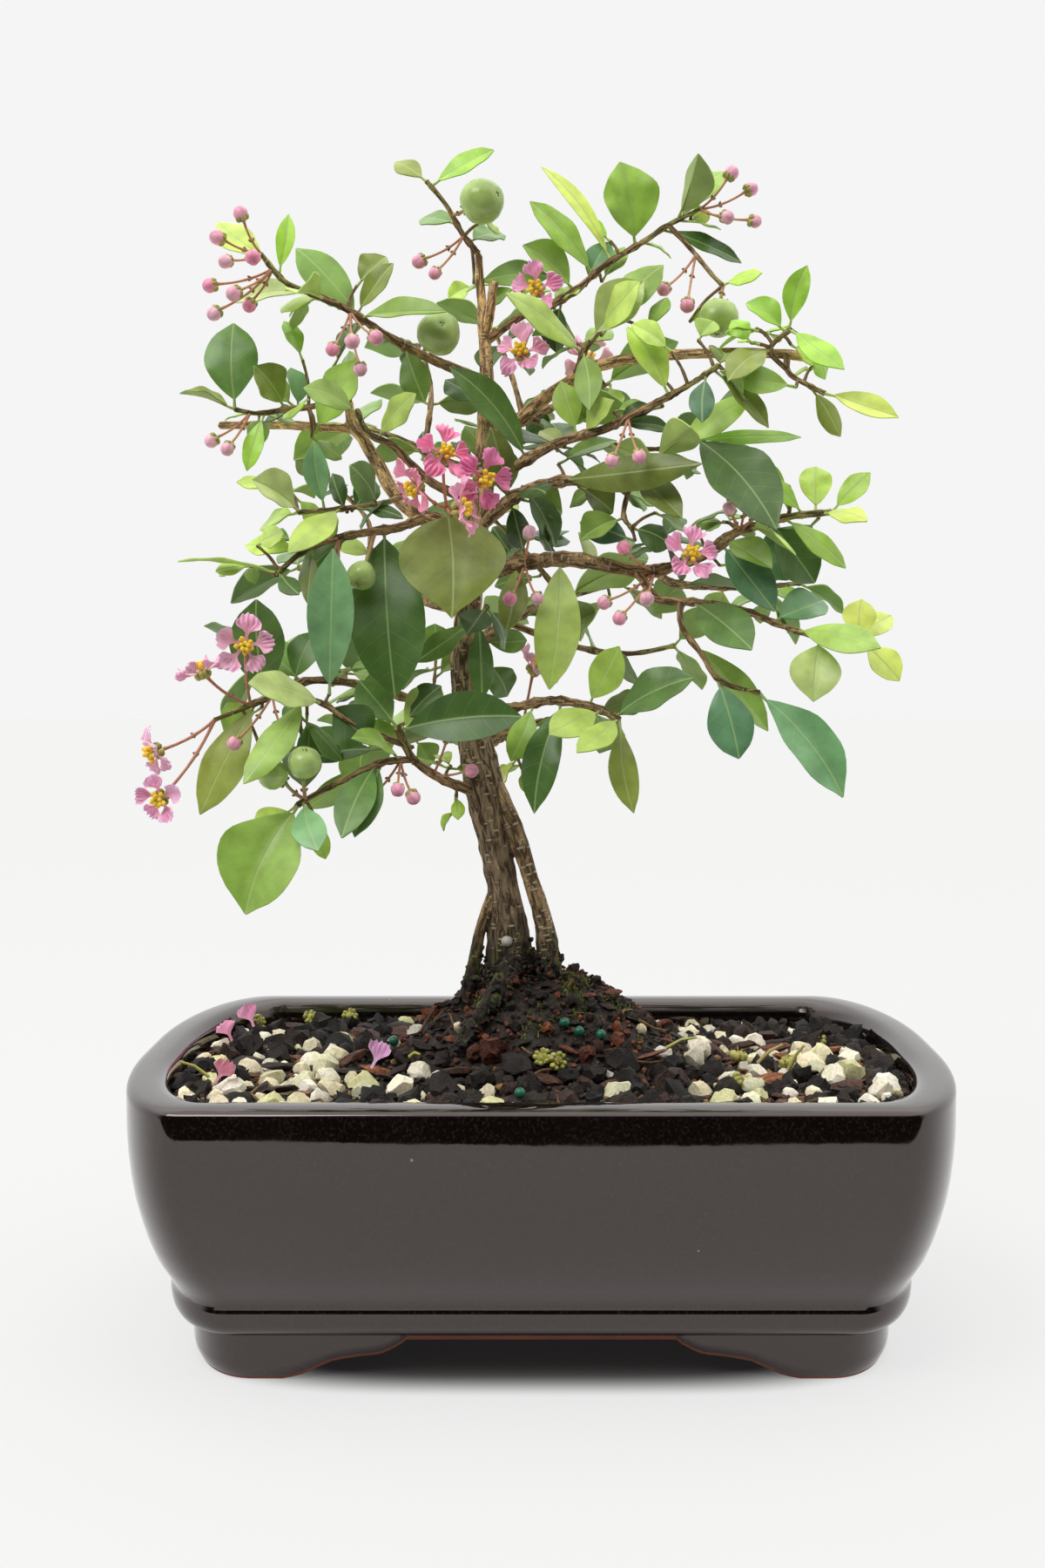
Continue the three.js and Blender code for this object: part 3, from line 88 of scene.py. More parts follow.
LIMBS = {
  "trunk": [
    [-6, 72, 0, 6.6], [-8, 88, 0, 6.4], [-8.5, 95, 0, 5.9], [-9, 104, 0, 4.7], [-10.3, 112, 0, 4],
    [-12.5, 124, -1, 4.5], [-15, 137, -1, 5.2], [-17, 148, -1, 4.6], [-19, 163, -1, 4.2],
    [-19, 177, 0, 3.7], [-18, 192, 2, 3.4], [-15, 212, 3, 2.9], [-14, 230, 3, 2.3],
    [-14, 243, 3, 1.9], [-15, 257, 2, 1.4], [-16, 271, 1, 1],
  ],
  "aerial_root": [
    [-12, 136, -2, 2.6], [-7, 125, -3, 2.4], [-2.8, 112, -3, 2.2], [0, 103, -3, 2.4],
    [1.4, 95, -3, 2.9], [2.5, 86, -4, 3.3], [4, 74, -5, 3],
  ],
  "left_root": [
    [-12, 108, -1, 2], [-15.5, 100, -2, 1.5], [-17, 92, -3, 1.7], [-19, 84, -5, 1.8], [-22, 72, -8, 1.4],
  ],
  "front_root": [[-8, 92, -1, 4], [-10, 85, -9, 3], [-15, 78, -17, 2.2], [-22, 68, -25, 1.4]],
  "right_root": [[-5, 92, 1, 3.6], [5, 84, 8, 2.6], [14, 76, 14, 1.8], [22, 66, 20, 1.3]],
  "back_root": [[-9, 92, 2, 3.6], [-16, 84, 10, 2.6], [-23, 75, 17, 1.8], [-30, 65, 22, 1.3]],
  "left_fork": [
    [-16.5, 197, 2, 2.6], [-25, 203, -2, 2.2], [-31, 205, -4, 2], [-37, 210, -3, 1.9], [-41, 217, 0, 1.8],
    [-45, 224, 3, 1.6], [-48, 228, 5, 1.5], [-49, 234, 6, 1.2],
  ],
  "left_cut": [[-47.5, 227, 5, 1.3], [-65, 228, 9, 1.2], [-82, 228, 10, 1.1]],
  "top_stub": [[-14.5, 250, 3, 1.4], [-13, 256, 0, 1.3], [-12, 264, -2, 1.3]],
  "right_fork": [[-14.5, 222, 3, 2], [-5, 230, 0, 1.8], [4, 237, -3, 1.7], [14, 243, -6, 1.6]],
  "right_cut": [
    [13, 242.5, -6, 1.6], [22, 244.5, -8, 1.5], [39, 246, -12, 1.4], [60, 246, -15, 1.3],
    [74, 244, -16, 1.3],
  ],
}

# Leafy branches: what each grows from, how far along it and how deep in it starts. Its stems follow,
# each with where it leaves the first stem, its radius at both ends, and its places across, up and
# behind. Then its leaves: stem, how far along, the tip's place, width and turn. Pairs grow by rule.
SPRAYS = {
  "spray_low_left": {"from": ("trunk", 0.38), "stems": [
    (0, 1.7, 0.9, [(-26, 138, -9), (-33, 143, -16), (-37, 151, -21)]),
    (0.66, 1, 0.7, [(-41, 142, -22), (-50, 138, -27), (-58, 134, -31), (-63, 131, -33)]),
    (0.8, 0.9, 0.6, [(-48, 152, -26), (-58, 158, -30), (-66, 158, -33)]),
  ], "leaves": [
    (0, 0.97, -5, 154, -26, 12, 25), (0, 1, -47, 163, -16, 9), (0, 0.9, -26, 162, -14, 9),
    (1, 0.2, -61, 130, -20, 7), (1, 0.25, -40, 118, -26, 8), (1, 0.3, -51, 124, -34, 9),
    (1, 0.12, -48, 149, -36, 7), (1, 0.97, -77, 103, -42, 20), (1, 0.9, -57, 120, -40, 8),
    (2, 0.75, -76, 137, -40, 8), (2, 0.6, -74, 163, -40, 10), (2, 0.95, -63, 181, -36, 6),
  ]},
  "spray_far_left": {"from": ("trunk", 0.51), "stems": [
    (0, 1.6, 0.7, [(-32, 158, -5), (-46, 162, -10), (-60, 163, -15), (-72, 158, -20), (-84, 153, -24)]),
  ], "leaves": [
    (0, 0.82, -89, 128, -30, 11), (0, 0.97, -91, 133, -20, 9), (0, 1, -96, 134, -28, 4.5),
    (0, 0.78, -73, 184, -22, 13), (0, 0.66, -58, 176, -14, 8),
  ], "pairs": [(0, 0.35, 0.62, 2, 17)]},
  "spray_left_mid": {"from": ("left_fork", 0.26, 1.2), "stems": [
    (0, 1.5, 0.7, [(-37, 202, -11), (-44, 201, -15), (-54, 199, -18), (-61, 196, -21), (-68, 190, -24)]),
  ], "leaves": [
    (0, 0.3, -38, 159, -31, 18), (0, 0.62, -55, 160, -26, 11), (0, 0.97, -93, 194, -26, 4.5, 60),
    (0, 0.8, -76, 198, -16, 6.5), (0, 0.97, -62, 185, -30, 5), (0, 0.5, -63, 186, -12, 9.5),
  ], "pairs": [(0, 0.45, 0.7, 1, 13)]},
  "spray_left_upper": {"from": ("left_fork", 1, 1), "stems": [
    (0, 1.1, 0.6, [(-51, 236, 3), (-57, 233, -3), (-65, 232, -7), (-72, 231, -9), (-78, 232, -10)]),
  ], "leaves": [
    (0, 0.25, -47, 245, -8, 11), (0, 0.6, -73, 243, -14, 10), (0, 1, -79, 255, -12, 13),
    (0, 0.75, -76, 217, -16, 5), (0, 0.98, -92, 236, -10, 7, 40),
  ], "pairs": [(0, 0.35, 0.5, 1, 16)]},
  "spray_left_inner": {"from": ("trunk", 0.72), "stems": [
    (0, 1.5, 0.7, [(-27, 213, -8), (-33, 218, -13), (-38, 223, -16), (-44, 226, -18), (-47, 232, -19)]),
    (0.3, 1, 0.6, [(-38, 209, -19), (-50, 207, -22), (-62, 206, -25)]),
  ], "leaves": [
    (0, 0.72, -32, 236, -24, 8), (0, 0.95, -60, 238, -24, 8), (1, 0.45, -48, 218, -30, 10),
    (1, 0.28, -47, 208, -30, 6, 60), (1, 0.97, -74, 214, -32, 10), (1, 0.8, -58, 224, -28, 6),
    (1, 0.7, -64, 196, -34, 8),
  ], "pairs": [(1, 0.97, 1, 1, 13)]},
  "spray_top_left": {"from": ("trunk", 0.845), "stems": [
    (0, 1.6, 0.65, [(-24, 243, 0), (-31, 246, -4), (-40, 251, -8), (-46, 255, -11), (-51, 258, -13),
      (-58, 261, -15), (-65, 264, -17), (-71, 271, -18)]),
  ], "leaves": [
    (0, 0.5, -62, 273, -8, 10), (0, 0.52, -38, 269, -14, 6), (0, 0.5, -24, 256, -20, 7),
    (0, 0.9, -64, 281, -18, 4.5), (0, 0.76, -72, 266, -10, 8), (0, 0.3, -30, 234, -10, 8, 30),
    (0, 0.95, -82, 279, -10, 8),
  ], "pairs": [(0, 0.35, 0.7, 1, 14)]},
  "spray_crown": {"from": ("trunk", 1, 0.5), "stems": [
    (0, 0.9, 0.6, [(-20, 276, -1), (-24, 283, -3), (-29, 289, -4)]),
  ], "leaves": [
    (0, 0.9, -12, 297, -6, 6.5), (0, 0.45, -30, 280, 8, 7), (0, 0.2, -10, 276, 10, 8),
    (0, 0.98, -37, 294, 2, 6),
  ]},
  "spray_top_right": {"from": ("trunk", 0.895), "stems": [
    (0, 1.4, 0.6, [(-4, 256, 4), (2, 258, 5), (9, 262, 6), (16, 268, 7), (26, 274, 8), (32, 278, 8),
      (40, 282, 8)]),
    (0.86, 0.8, 0.6, [(38, 272, 5), (43, 266, 1), (46, 263, -2)]),
  ], "leaves": [
    (0, 0.68, 20, 294, 4, 14), (0, 0.52, -3, 284, 2, 8), (0, 0.6, 0, 293, 14, 4.5),
    (0, 0.42, -5, 274, -4, 10), (0, 0.82, 51, 269, 12, 6), (1, 0.97, 56, 266, -8, 5),
    (0, 0.9, 47, 293, 16, 7), (0, 0.35, 4, 246, 8, 8, 30),
  ], "pairs": [(0, 0.3, 0.9, 2, 15)]},
  "spray_right_crown": {"from": ("right_fork", 0.8), "stems": [
    (0, 1, 0.6, [(11, 247, -8), (15, 252, -11), (18, 255, -13)]),
  ], "leaves": [
    (0, 0.55, 25, 264, -18, 10), (0, 0.8, 31, 268, -8, 9), (0, 0.25, -9, 257, -13, 10),
    (0, 1, 12, 270, -14, 7), (0, 0.3, 12, 232, -20, 7, 20),
  ]},
  "spray_right_tip": {"from": ("right_cut", 0.78), "stems": [
    (0, 0.9, 0.6, [(63, 241, -20), (68, 238, -23), (72, 236, -25)]),
    (0.25, 0.8, 0.6, [(58, 247, -21), (63, 252, -24)]),
  ], "leaves": [
    (0, 1, 91, 230, -30, 7), (1, 1, 77, 242, -34, 7), (1, 0.5, 47, 239, -30, 8), (1, 0.9, 52, 259, -22, 7),
    (1, 0.95, 66, 264, -18, 6), (0, 0.7, 76, 225, -20, 6),
  ]},
  "spray_right_high": {"from": ("trunk", 0.735), "stems": [
    (0, 1.6, 0.65, [(3, 223, -9), (16, 227, -16), (24, 231, -20), (32, 235, -23), (39, 239, -25),
      (45, 243, -27)]),
  ], "leaves": [
    (0, 0.68, 22, 253, -24, 8), (0, 0.38, 34, 226, -27, 5), (0, 0.9, 41, 229, -33, 6),
    (0, 0.24, 5, 240, -15, 7), (0, 0.26, 18, 240, -22, 7), (0, 0.1, -23, 243, -12, 9),
    (0, 1, 55, 253, -30, 8), (0, 0.95, 60, 240, -36, 6),
  ]},
  "spray_right_mid": {"from": ("trunk", 0.7), "stems": [
    (0, 1.9, 0.8, [(-5, 211, -5), (6, 214, -9), (19, 213, -13), (25, 217, -15), (30, 220, -17),
      (39, 225, -18)]),
    (0.62, 0.9, 0.6, [(21, 206, -18), (23, 202, -21)]),
  ], "leaves": [
    (0, 0.32, 40, 219, -32, 9, 30), (0, 1, 59, 200, -26, 16), (0, 0.96, 68, 225, -20, 4.5),
    (0, 0.62, 36, 205, -26, 8), (0, 0.14, 1, 211, -22, 9), (0, 0.1, -13, 227, -12, 8),
    (1, 0.95, 34, 196, -30, 8), (1, 0.6, 10, 199, -22, 8), (0, 0.9, 52, 232, -10, 8),
  ], "pairs": [(0, 0.45, 0.8, 1, 16)]},
  "spray_right_low": {"from": ("trunk", 0.655), "stems": [
    (0, 2.5, 0.8, [(-5, 193, -5), (8, 194, -9), (26, 191, -12), (36, 193, -14), (43, 196, -15),
      (50, 201, -15), (57, 203, -16), (64, 205, -16), (74, 206, -16)]),
  ], "leaves": [
    (0, 0.22, 37, 192, -26, 12, -10), (0, 0.62, 59, 192, -28, 8), (0, 0.8, 70, 188, -14, 13),
    (0, 0.86, 78, 192, -22, 6), (0, 0.92, 58, 215, -20, 5), (0, 1, 84, 216, -18, 6),
    (0, 0.97, 82, 204, -24, 6), (0, 0.2, 2, 161, -20, 11), (0, 0.6, 60, 181, -24, 10),
    (0, 0.95, 70, 218, -8, 8), (0, 0.1, -9, 176, -16, 7),
  ], "pairs": [(0, 0.45, 0.72, 1, 16)]},
  "spray_right_hang": {"from": ("spray_right_low", 0.32, 0.9), "stems": [
    (0, 1.3, 0.65, [(30, 184, -18), (41, 183, -21), (52, 181, -23), (62, 177, -24), (72, 174, -25),
      (82, 173, -26)]),
    (0.26, 0.9, 0.65, [(36, 177, -25), (41, 170, -27), (46, 163, -28), (56, 160, -28)]),
  ], "leaves": [
    (0, 0.3, 54, 171, -34, 12), (0, 0.62, 73, 184, -18, 10), (0, 0.72, 87, 172, -38, 9),
    (0, 0.82, 70, 158, -32, 12), (0, 0.98, 82, 184, -24, 8), (0, 1, 92, 163, -30, 8),
    (1, 0.72, 51, 143, -32, 11), (1, 1, 78, 133, -34, 12), (1, 0.4, 58, 150, -18, 8),
    (0, 0.9, 90, 180, -14, 7),
  ]},
  "spray_low_right": {"from": ("trunk", 0.5), "stems": [
    (0, 1.7, 0.9, [(-8, 156, -8), (3, 158, -14), (14, 156, -18), (20, 153, -21)]),
  ], "leaves": [
    (0, 0.92, 39, 164, -30, 11), (0, 0.8, 2, 149, -28, 9), (0, 0.55, -2, 129, -22, 9),
    (0, 0.98, 9, 145, -34, 7), (0, 1, 24, 129, -28, 7), (0, 0.7, 20, 172, -22, 9),
    (0, 0.4, -8, 142, -20, 7),
  ]},
  "spray_heart": {"from": ("trunk", 0.667), "stems": [
    (0, 1.2, 0.8, [(-19, 199, -11), (-22, 204, -16), (-24, 207, -21)]),
  ], "leaves": [
    (0, 0.97, -23, 179, -32, 25), (0, 0.4, -36, 190, -14, 9),
  ]},
  "spray_trunk_front": {"from": ("trunk", 0.6), "stems": [
    (0, 1, 0.7, [(-16, 179, -9), (-14, 182, -14)]),
  ], "leaves": [
    (0, 0.95, -19, 175, -22, 8), (0, 1, -9, 168, -18, 6), (0, 0.6, -3, 173, -14, 6),
    (0, 0.5, -10, 158, -12, 6), (0, 0.3, -33, 168, -14, 7),
  ]},
  "spray_back_right": {"from": ("trunk", 0.567), "stems": [
    (0, 2.2, 0.8, [(-12, 176, 17), (-3, 181, 30), (8, 185, 42), (20, 188, 52)]),
    (0.35, 1.2, 0.7, [(8, 172, 26), (22, 170, 34), (34, 172, 40)]),
    (0.7, 1, 0.6, [(-4, 196, 44), (-12, 204, 50)]),
  ], "pairs": [(0, 0.45, 1, 3, 20), (1, 0.45, 1, 2, 19), (2, 0.5, 1, 1, 17)]},
  "spray_back_left": {"from": ("trunk", 0.62), "stems": [
    (0, 2, 0.8, [(-28, 183, 16), (-38, 187, 28), (-50, 190, 40), (-62, 192, 48)]),
    (0.4, 1.1, 0.7, [(-46, 176, 24), (-60, 170, 28), (-72, 168, 32)]),
    (0.65, 1, 0.6, [(-44, 203, 42), (-52, 212, 48)]),
  ], "pairs": [(0, 0.55, 1, 2, 20), (1, 0.35, 1, 3, 19), (2, 0.5, 1, 1, 17)]},
  "spray_back_high": {"from": ("trunk", 0.775), "stems": [
    (0, 1.7, 0.7, [(-6, 228, 17), (4, 233, 30), (16, 238, 42)]),
    (0.45, 1.1, 0.6, [(14, 224, 28), (30, 222, 34), (44, 226, 36)]),
    (0.4, 1, 0.6, [(-8, 242, 30), (-12, 252, 38)]),
  ], "pairs": [(0, 0.6, 1, 2, 19), (1, 0.4, 1, 3, 19), (2, 0.6, 1, 1, 17)]},
  "spray_back_mid": {"from": ("trunk", 0.745), "stems": [
    (0, 1.7, 0.7, [(-25, 219, 16), (-35, 224, 28), (-46, 228, 40)]),
    (0.5, 1, 0.6, [(-28, 236, 34), (-30, 246, 40)]),
  ], "pairs": [(0, 0.5, 1, 2, 19), (1, 0.4, 1, 2, 17)]},
  "spray_back_low": {"from": ("trunk", 0.45), "stems": [
    (0, 1.8, 0.8, [(-8, 150, 15), (2, 153, 28), (14, 155, 40)]),
    (0.3, 1.1, 0.6, [(-22, 150, 24), (-34, 150, 34), (-46, 148, 42)]),
  ], "pairs": [(0, 0.5, 1, 2, 20), (1, 0.4, 1, 3, 18)]},
  "spray_outer_right": {"from": ("spray_right_low", 0.36), "stems": [
    (0, 1.4, 0.7, [(34, 188, 1), (45, 187, 12), (56, 187, 22), (66, 188, 30)]),
  ], "pairs": [(0, 0.3, 1, 4, 18)]},
}

# Clusters: the branch and stem that each grows on, how far along and how deep in, and then its
# heads, each with its place across, up and behind, and its radius
CLUSTER_ROWS = {
  "bloom": {
    "blooms_heart": [
      ("spray_heart", 0, 1, 0.4), (-26, 224, -31, 8.6), (-36, 212, -33, 8.2), (-20, 203, -42, 8.4),
      (-11, 215, -35, 8.2),
    ],
    "blooms_left": [("spray_far_left", 0, 0.84, 0.5), (-76, 172, -34, 8.4), (-87, 165, -33, 7.6)],
    "blooms_far_left": [("spray_far_left", 0, 1, 0.8), (-99, 145, -30, 6.8), (-98, 133, -33, 6.8)],
    "blooms_right": [("spray_right_low", 0, 0.5, 0.5), (38, 195, -32, 8)],
    "blooms_low": [("spray_back_low", 0, 0.45, 0.5), (-2, 166, 22, 8)],
    "blooms_upper": [("spray_top_right", 0, 0.2), (-5, 246, -8, 8), (-1, 262, -7, 7.6)],
    "blooms_back": [("spray_back_high", 0, 0.78), (12, 244, 52, 8.4)],
  },
  "bud": {
    "buds_top_left": [
      ("spray_top_left", 0, 1, 0.3), (-76, 281, -22, 2.3), (-82, 275, -24, 2.4), (-80, 269, -27, 2.2),
      (-73, 270, -29, 2.4),
    ],
    "buds_far_top_left": [
      ("spray_top_left", 0, 0.93, 0.5), (-84, 263, -21, 2.3), (-78, 261, -25, 2.4), (-74, 258, -19, 2.2),
      (-83, 256, -25, 2.3),
    ],
    "buds_upper_left": [
      ("spray_top_left", 0, 0.56, 0.4), (-42, 250, -21, 2.4), (-48, 249, -24, 2.4), (-53, 247, -21, 2.2),
      (-46, 242, -19, 2.2),
    ],
    "buds_crown": [("spray_crown", 0, 0.3), (-31, 269, -5, 2.3), (-27, 266, -9, 2)],
    "buds_top_right": [
      ("spray_top_right", 0, 1, 0.6), (48, 291, 8, 2.4), (53, 287, 12, 2.3), (47, 280, 3, 2.3),
      (54, 279, 9, 2.2),
    ],
    "buds_upper_right": [("spray_top_right", 1, 0.4), (31, 262, -2, 2.2), (37, 258, -4, 2.4)],
    "buds_middle": [("spray_right_high", 0, 0.46, 0.7), (18, 219, -27, 2.2), (25, 220, -29, 2.2)],
    "buds_right": [
      ("spray_right_low", 0, 0.68, 0.5), (46, 216, -18, 2.2), (53, 212, -22, 2.4), (48, 207, -24, 2.2),
      (58, 210, -26, 2.4),
    ],
    "buds_low_right": [
      ("spray_right_low", 0, 0.36), (21, 197, -23, 2.2), (27, 184, -27, 2.3), (16, 183, -24, 2.2),
      (20, 179, -27, 2.2),
    ],
    "buds_centre": [
      ("spray_right_low", 0, 0.12), (-3, 201, -17, 2.2), (-8, 184, -19, 2.2), (-1, 184, -19, 2),
    ],
    "buds_left": [
      ("spray_left_mid", 0, 0.55), (-56, 188, -28, 2.3), (-51, 184, -27, 2.3), (-61, 200, -29, 2.2),
    ],
    "buds_low_left": [
      ("spray_low_left", 1, 0.12), (-37, 135, -30, 2.2), (-33, 133, -24, 2.3), (-46, 131, -24, 2.2),
    ],
    "buds_low": [("spray_low_left", 0, 0.42), (-24, 149, -20, 2.2), (-18, 140, -19, 2.3)],
    "buds_far_left": [("spray_far_left", 0, 0.75), (-79, 147, -31, 2.2), (-66, 149, -26, 2.2)],
    "buds_left_high": [("spray_left_upper", 0, 0.86), (-80, 222, -17, 2.2), (-84, 224, -12, 2.2)],
  },
  "fruit": {
    "fruit_crown": [("spray_crown", 0, 0.55, 0.6), (-15, 284, -8, 5.6)],
    "fruit_upper": [("spray_top_left", 0, 0.2), (-26, 251, -14, 5.4)],
    "fruit_right": [("spray_top_right", 1, 1, 0.5), (45, 255, -5, 5)],
    "fruit_left": [("spray_left_mid", 0, 0.36), (-46, 190, -26, 3.6)],
    "fruits_low_left": [("spray_low_left", 1, 0.86), (-61, 142, -38, 4), (-69, 139, -36, 3.7)],
  },
}
CLUSTERS = {
    name: {"kind": kind, "from": carrier, "items": items}
    for kind, rows in CLUSTER_ROWS.items() for name, (carrier, *items) in rows.items()
}

# Shape of a leaf and the room that each kind of part needs round it
LEAF_BROADEST = 1.1
LEAF_FULLNESS = 0.75
LEAF_ARCH = 0.05
TO_VIEWER = (0.0, -0.8, 0.6)
LEAF_SPACE = 1.15
STEM_SPACE = 0.45
CROWD = 0.85
SEAT_GAP = 0.3

# Ways to move a leaf's tip, in order, until the leaf is clear of its neighbours
NUDGES = [
    (0, 0, 0), (0, -5, 0), (0, 5, 0), (0, -10, 2), (0, 10, 2), (0, -2, 5), (0, 2, -5), (5, -3, 0),
    (-5, -3, 0), (0, -16, 3), (0, 16, 3), (7, -8, 5), (-7, -8, 5), (7, 8, -5), (-7, 8, -5), (0, -12, 10),
    (0, 12, -10),
]

# How a side shoot leaves its carrier, and a stalk its twig
SHOOT_GAP = 0.35
TIP_GAP = 0.4
LEAST_LEAN = 0.3
STALK_ROOM = 0.85
BLOOM_TURN = (0.0, -0.75, 0.15)
BLOOM_BACK = 1.6

# Pairs of leaves that grow by rule
PAIR_TURN = 0.9
PAIR_STRAY = 0.7
LEAF_DROOP = (0.0, 0.0, -0.25)
FACE_UP = (0.0, 0.0, 0.8)
FACE_OUT = 0.6
LEAF_TWIST = 30
CROWN_MIDDLE = -15.0


def draws(seed):
    """A seeded row of draws between 0 and 1."""
    state = seed * 7919 + 17
    while True:
        state = (state * 1664525 + 1013904223) % 4294967296
        yield state / 4294967296


def vec(*values):
    return np.array(values, dtype=float)


def size(vector):
    return math.sqrt(float(vector @ vector))


def unit(vector):
    return vector / size(vector)


def square_to(vector, axis):
    """The part of a vector that is square to an axis, as a unit vector."""
    return unit(vector - axis * float(vector @ axis))


def spokes(axis, near=(0.1, 0.3, 1)):
    """A function that gives the direction square to an axis at a turn about it."""
    aside = square_to(vec(*near), axis)
    other = np.cross(axis, aside)
    return lambda turn: aside * math.cos(turn) + other * math.sin(turn)


def length_of(route):
    steps = route[1:, :3] - route[:-1, :3]
    return float(np.sqrt((steps**2).sum(axis=1)).sum())


def lengths_along(points):
    """The length of a line of points up to each of them."""
    steps = points[1:] - points[:-1]
    return np.concatenate([[0], np.cumsum(np.sqrt((steps**2).sum(axis=1)))])


def seen(row):
    """A place given across and up in the plane of the pot's middle, spread by its depth."""
    across, height, depth, *rest = row
    spread = 1 + depth / -EYE[1]
    return vec(across * spread, depth, EYE[2] + (height - EYE[2]) * spread, *rest)


def along(route, share):
    """A place on a route of [x, y, z, radius] rows, on a smooth curve."""
    last = len(route) - 1
    s = min(max(share, 0.0), 1.0) * last
    i = min(int(s), last - 1)
    f = s - i
    a, b, c, d = route[max(i - 1, 0)], route[i], route[i + 1], route[min(i + 2, last)]
    slope = (c - a) * f
    bend = (2 * a - 5 * b + 4 * c - d) * f * f
    twist = (3 * b - a - 3 * c + d) * f * f * f
    return 0.5 * (2 * b + slope + bend + twist)


def heading(route, share):
    ahead = along(route, min(share + 0.02, 1))[:3]
    return unit(ahead - along(route, max(share - 0.02, 0))[:3])


def spring_point(route, share, towards, radius, drawn_in):
    """Where a side shoot leaves its carrier."""
    place = along(route, share)
    way = unit(towards[:3] - place[:3])
    lengthwise = abs(float(way @ heading(route, share)))
    lean = math.sqrt(1 - lengthwise * lengthwise)
    if share < 1:
        clear = (place[3] + SHOOT_GAP + radius * lengthwise) / max(lean, LEAST_LEAN)
    else:
        clear = TIP_GAP + (place[3] + radius) * lean
    return place[:3] + way * (clear - drawn_in)


limb_routes = {name: np.array([seen(row) for row in rows]) for name, rows in LIMBS.items()}
stems = {}
carriers = {}


def stem_routes(spray):
    """Routes of a spray's stems in space, as [x, y, z, radius] rows, and where its carrier is."""
    routes = []
    name, share, *rest = spray["from"]
    carrier = limb_routes[name] if name in limb_routes else stems[name][0]
    for start, wide, narrow, rows in spray["stems"]:
        places = [seen(row) for row in rows]
        if routes:
            root = along(routes[0], start)[:3]
        else:
            root = spring_point(carrier, share, places[0], wide, rest[0] if rest else 0)
        last = len(places)
        taper = [wide + (narrow - wide) * (i / last) for i in range(last + 1)]
        routes.append(np.array([[*p, r] for p, r in zip([root, *places], taper)]))
    return routes, along(carrier, share)[:3]


for spray_name, spray in SPRAYS.items():
    stems[spray_name], carriers[spray_name] = stem_routes(spray)

# What already stands in the tree: rows of points, each with the room that it needs
standing = []
standing_balls = []


def stand(owner, points, stem=False):
    centre = points[:, :3].mean(axis=0)
    offsets = points[:, :3] - centre
    reach = float((np.sqrt((offsets**2).sum(axis=1)) + points[:, 3]).max())
    return {"owner": owner, "centre": centre, "reach": reach, "points": points, "stem": stem}


def keep(item):
    standing.append(item)
    standing_balls.append([*item["centre"], item["reach"]])


def is_clear(item):
    balls = np.array(standing_balls)
    gaps = np.sqrt(((balls[:, :3] - item["centre"]) ** 2).sum(axis=1))
    for index in np.nonzero(gaps < item["reach"] + balls[:, 3])[0]:
        other = standing[index]
        own = other["owner"] == item["owner"]
        if own and other["stem"]:
            continue
        apart = item["points"][:, None, :3] - other["points"][None, :, :3]
        room = (item["points"][:, None, 3] + other["points"][None, :, 3]) * (CROWD if own else 1)
        if (np.sqrt((apart**2).sum(axis=2)) < room).any():
            return False
    return True


def stand_route(owner, route):
    parts = max(1, int(length_of(route) / 12 + 0.5))
    for part in range(parts):
        places = [along(route, (part + k / 8) / parts) for k in range(9)]
        keep(stand(owner, np.array([[*p[:3], p[3] + STEM_SPACE] for p in places]), stem=True))


for route in limb_routes.values():
    stand_route("trunk", route)
for spray_name, routes in stems.items():
    for route in routes:
        stand_route(spray_name, route)


def heads_of(cluster):
    """Heads and stalks of a cluster, each head with its place, radius and facing."""
    spray_name, stem, share, *rest = cluster["from"]
    carrier = stems[spray_name][stem]
    places = [seen(row) for row in cluster["items"]]
    middle = sum(p[:3] for p in places) / len(places)
    start = along(carrier, share)
    room = start[3] + STALK_ROOM - (rest[0] if rest else 0)
    root = start[:3] + unit(middle - start[:3]) * room
    rows = []
    for place in places:
        way = unit(place[:3] - root)
        is_bloom = cluster["kind"] == "bloom"
        facing = unit(way + vec(*BLOOM_TURN)) if is_bloom else way
        behind = BLOOM_BACK if is_bloom else place[3] * 0.7
        rows.append({
            "start": start[:3], "root": root, "place": place[:3], "radius": place[3], "facing": facing,
            "end": place[:3] - facing * behind,
        })
    return rows


heads = {name: heads_of(cluster) for name, cluster in CLUSTERS.items()}
for cluster_name, rows in heads.items():
    for head in rows:
        wide = CLUSTERS[cluster_name]["kind"] == "bloom"
        points = [[*head["place"], head["radius"] * 0.45 if wide else head["radius"] + SEAT_GAP]]
        spoke = spokes(head["facing"], (1, 0.2, 0.1))
        for k in range(8 if wide else 0):
            arm = spoke(math.pi * k / 4) * head["radius"]
            points.append([*(head["place"] + arm * 0.75), head["radius"] * 0.28 + 0.4])
        for k in range(1, 6):
            points.append([*(head["root"] * (1 - k / 6) + head["end"] * (k / 6)), 0.9])
        keep(stand(cluster_name, np.array(points)))


def leaf_frame(leaf):
    """Length, axis, upper side and sideways direction of a leaf."""
    length = size(leaf["tip"] - leaf["root"])
    axis = unit(leaf["tip"] - leaf["root"])
    level = square_to(leaf["facing"], axis)
    turn = math.radians(leaf["turn"])
    up = level * math.cos(turn) + np.cross(axis, level) * math.sin(turn)
    return length, axis, up, np.cross(up, axis)


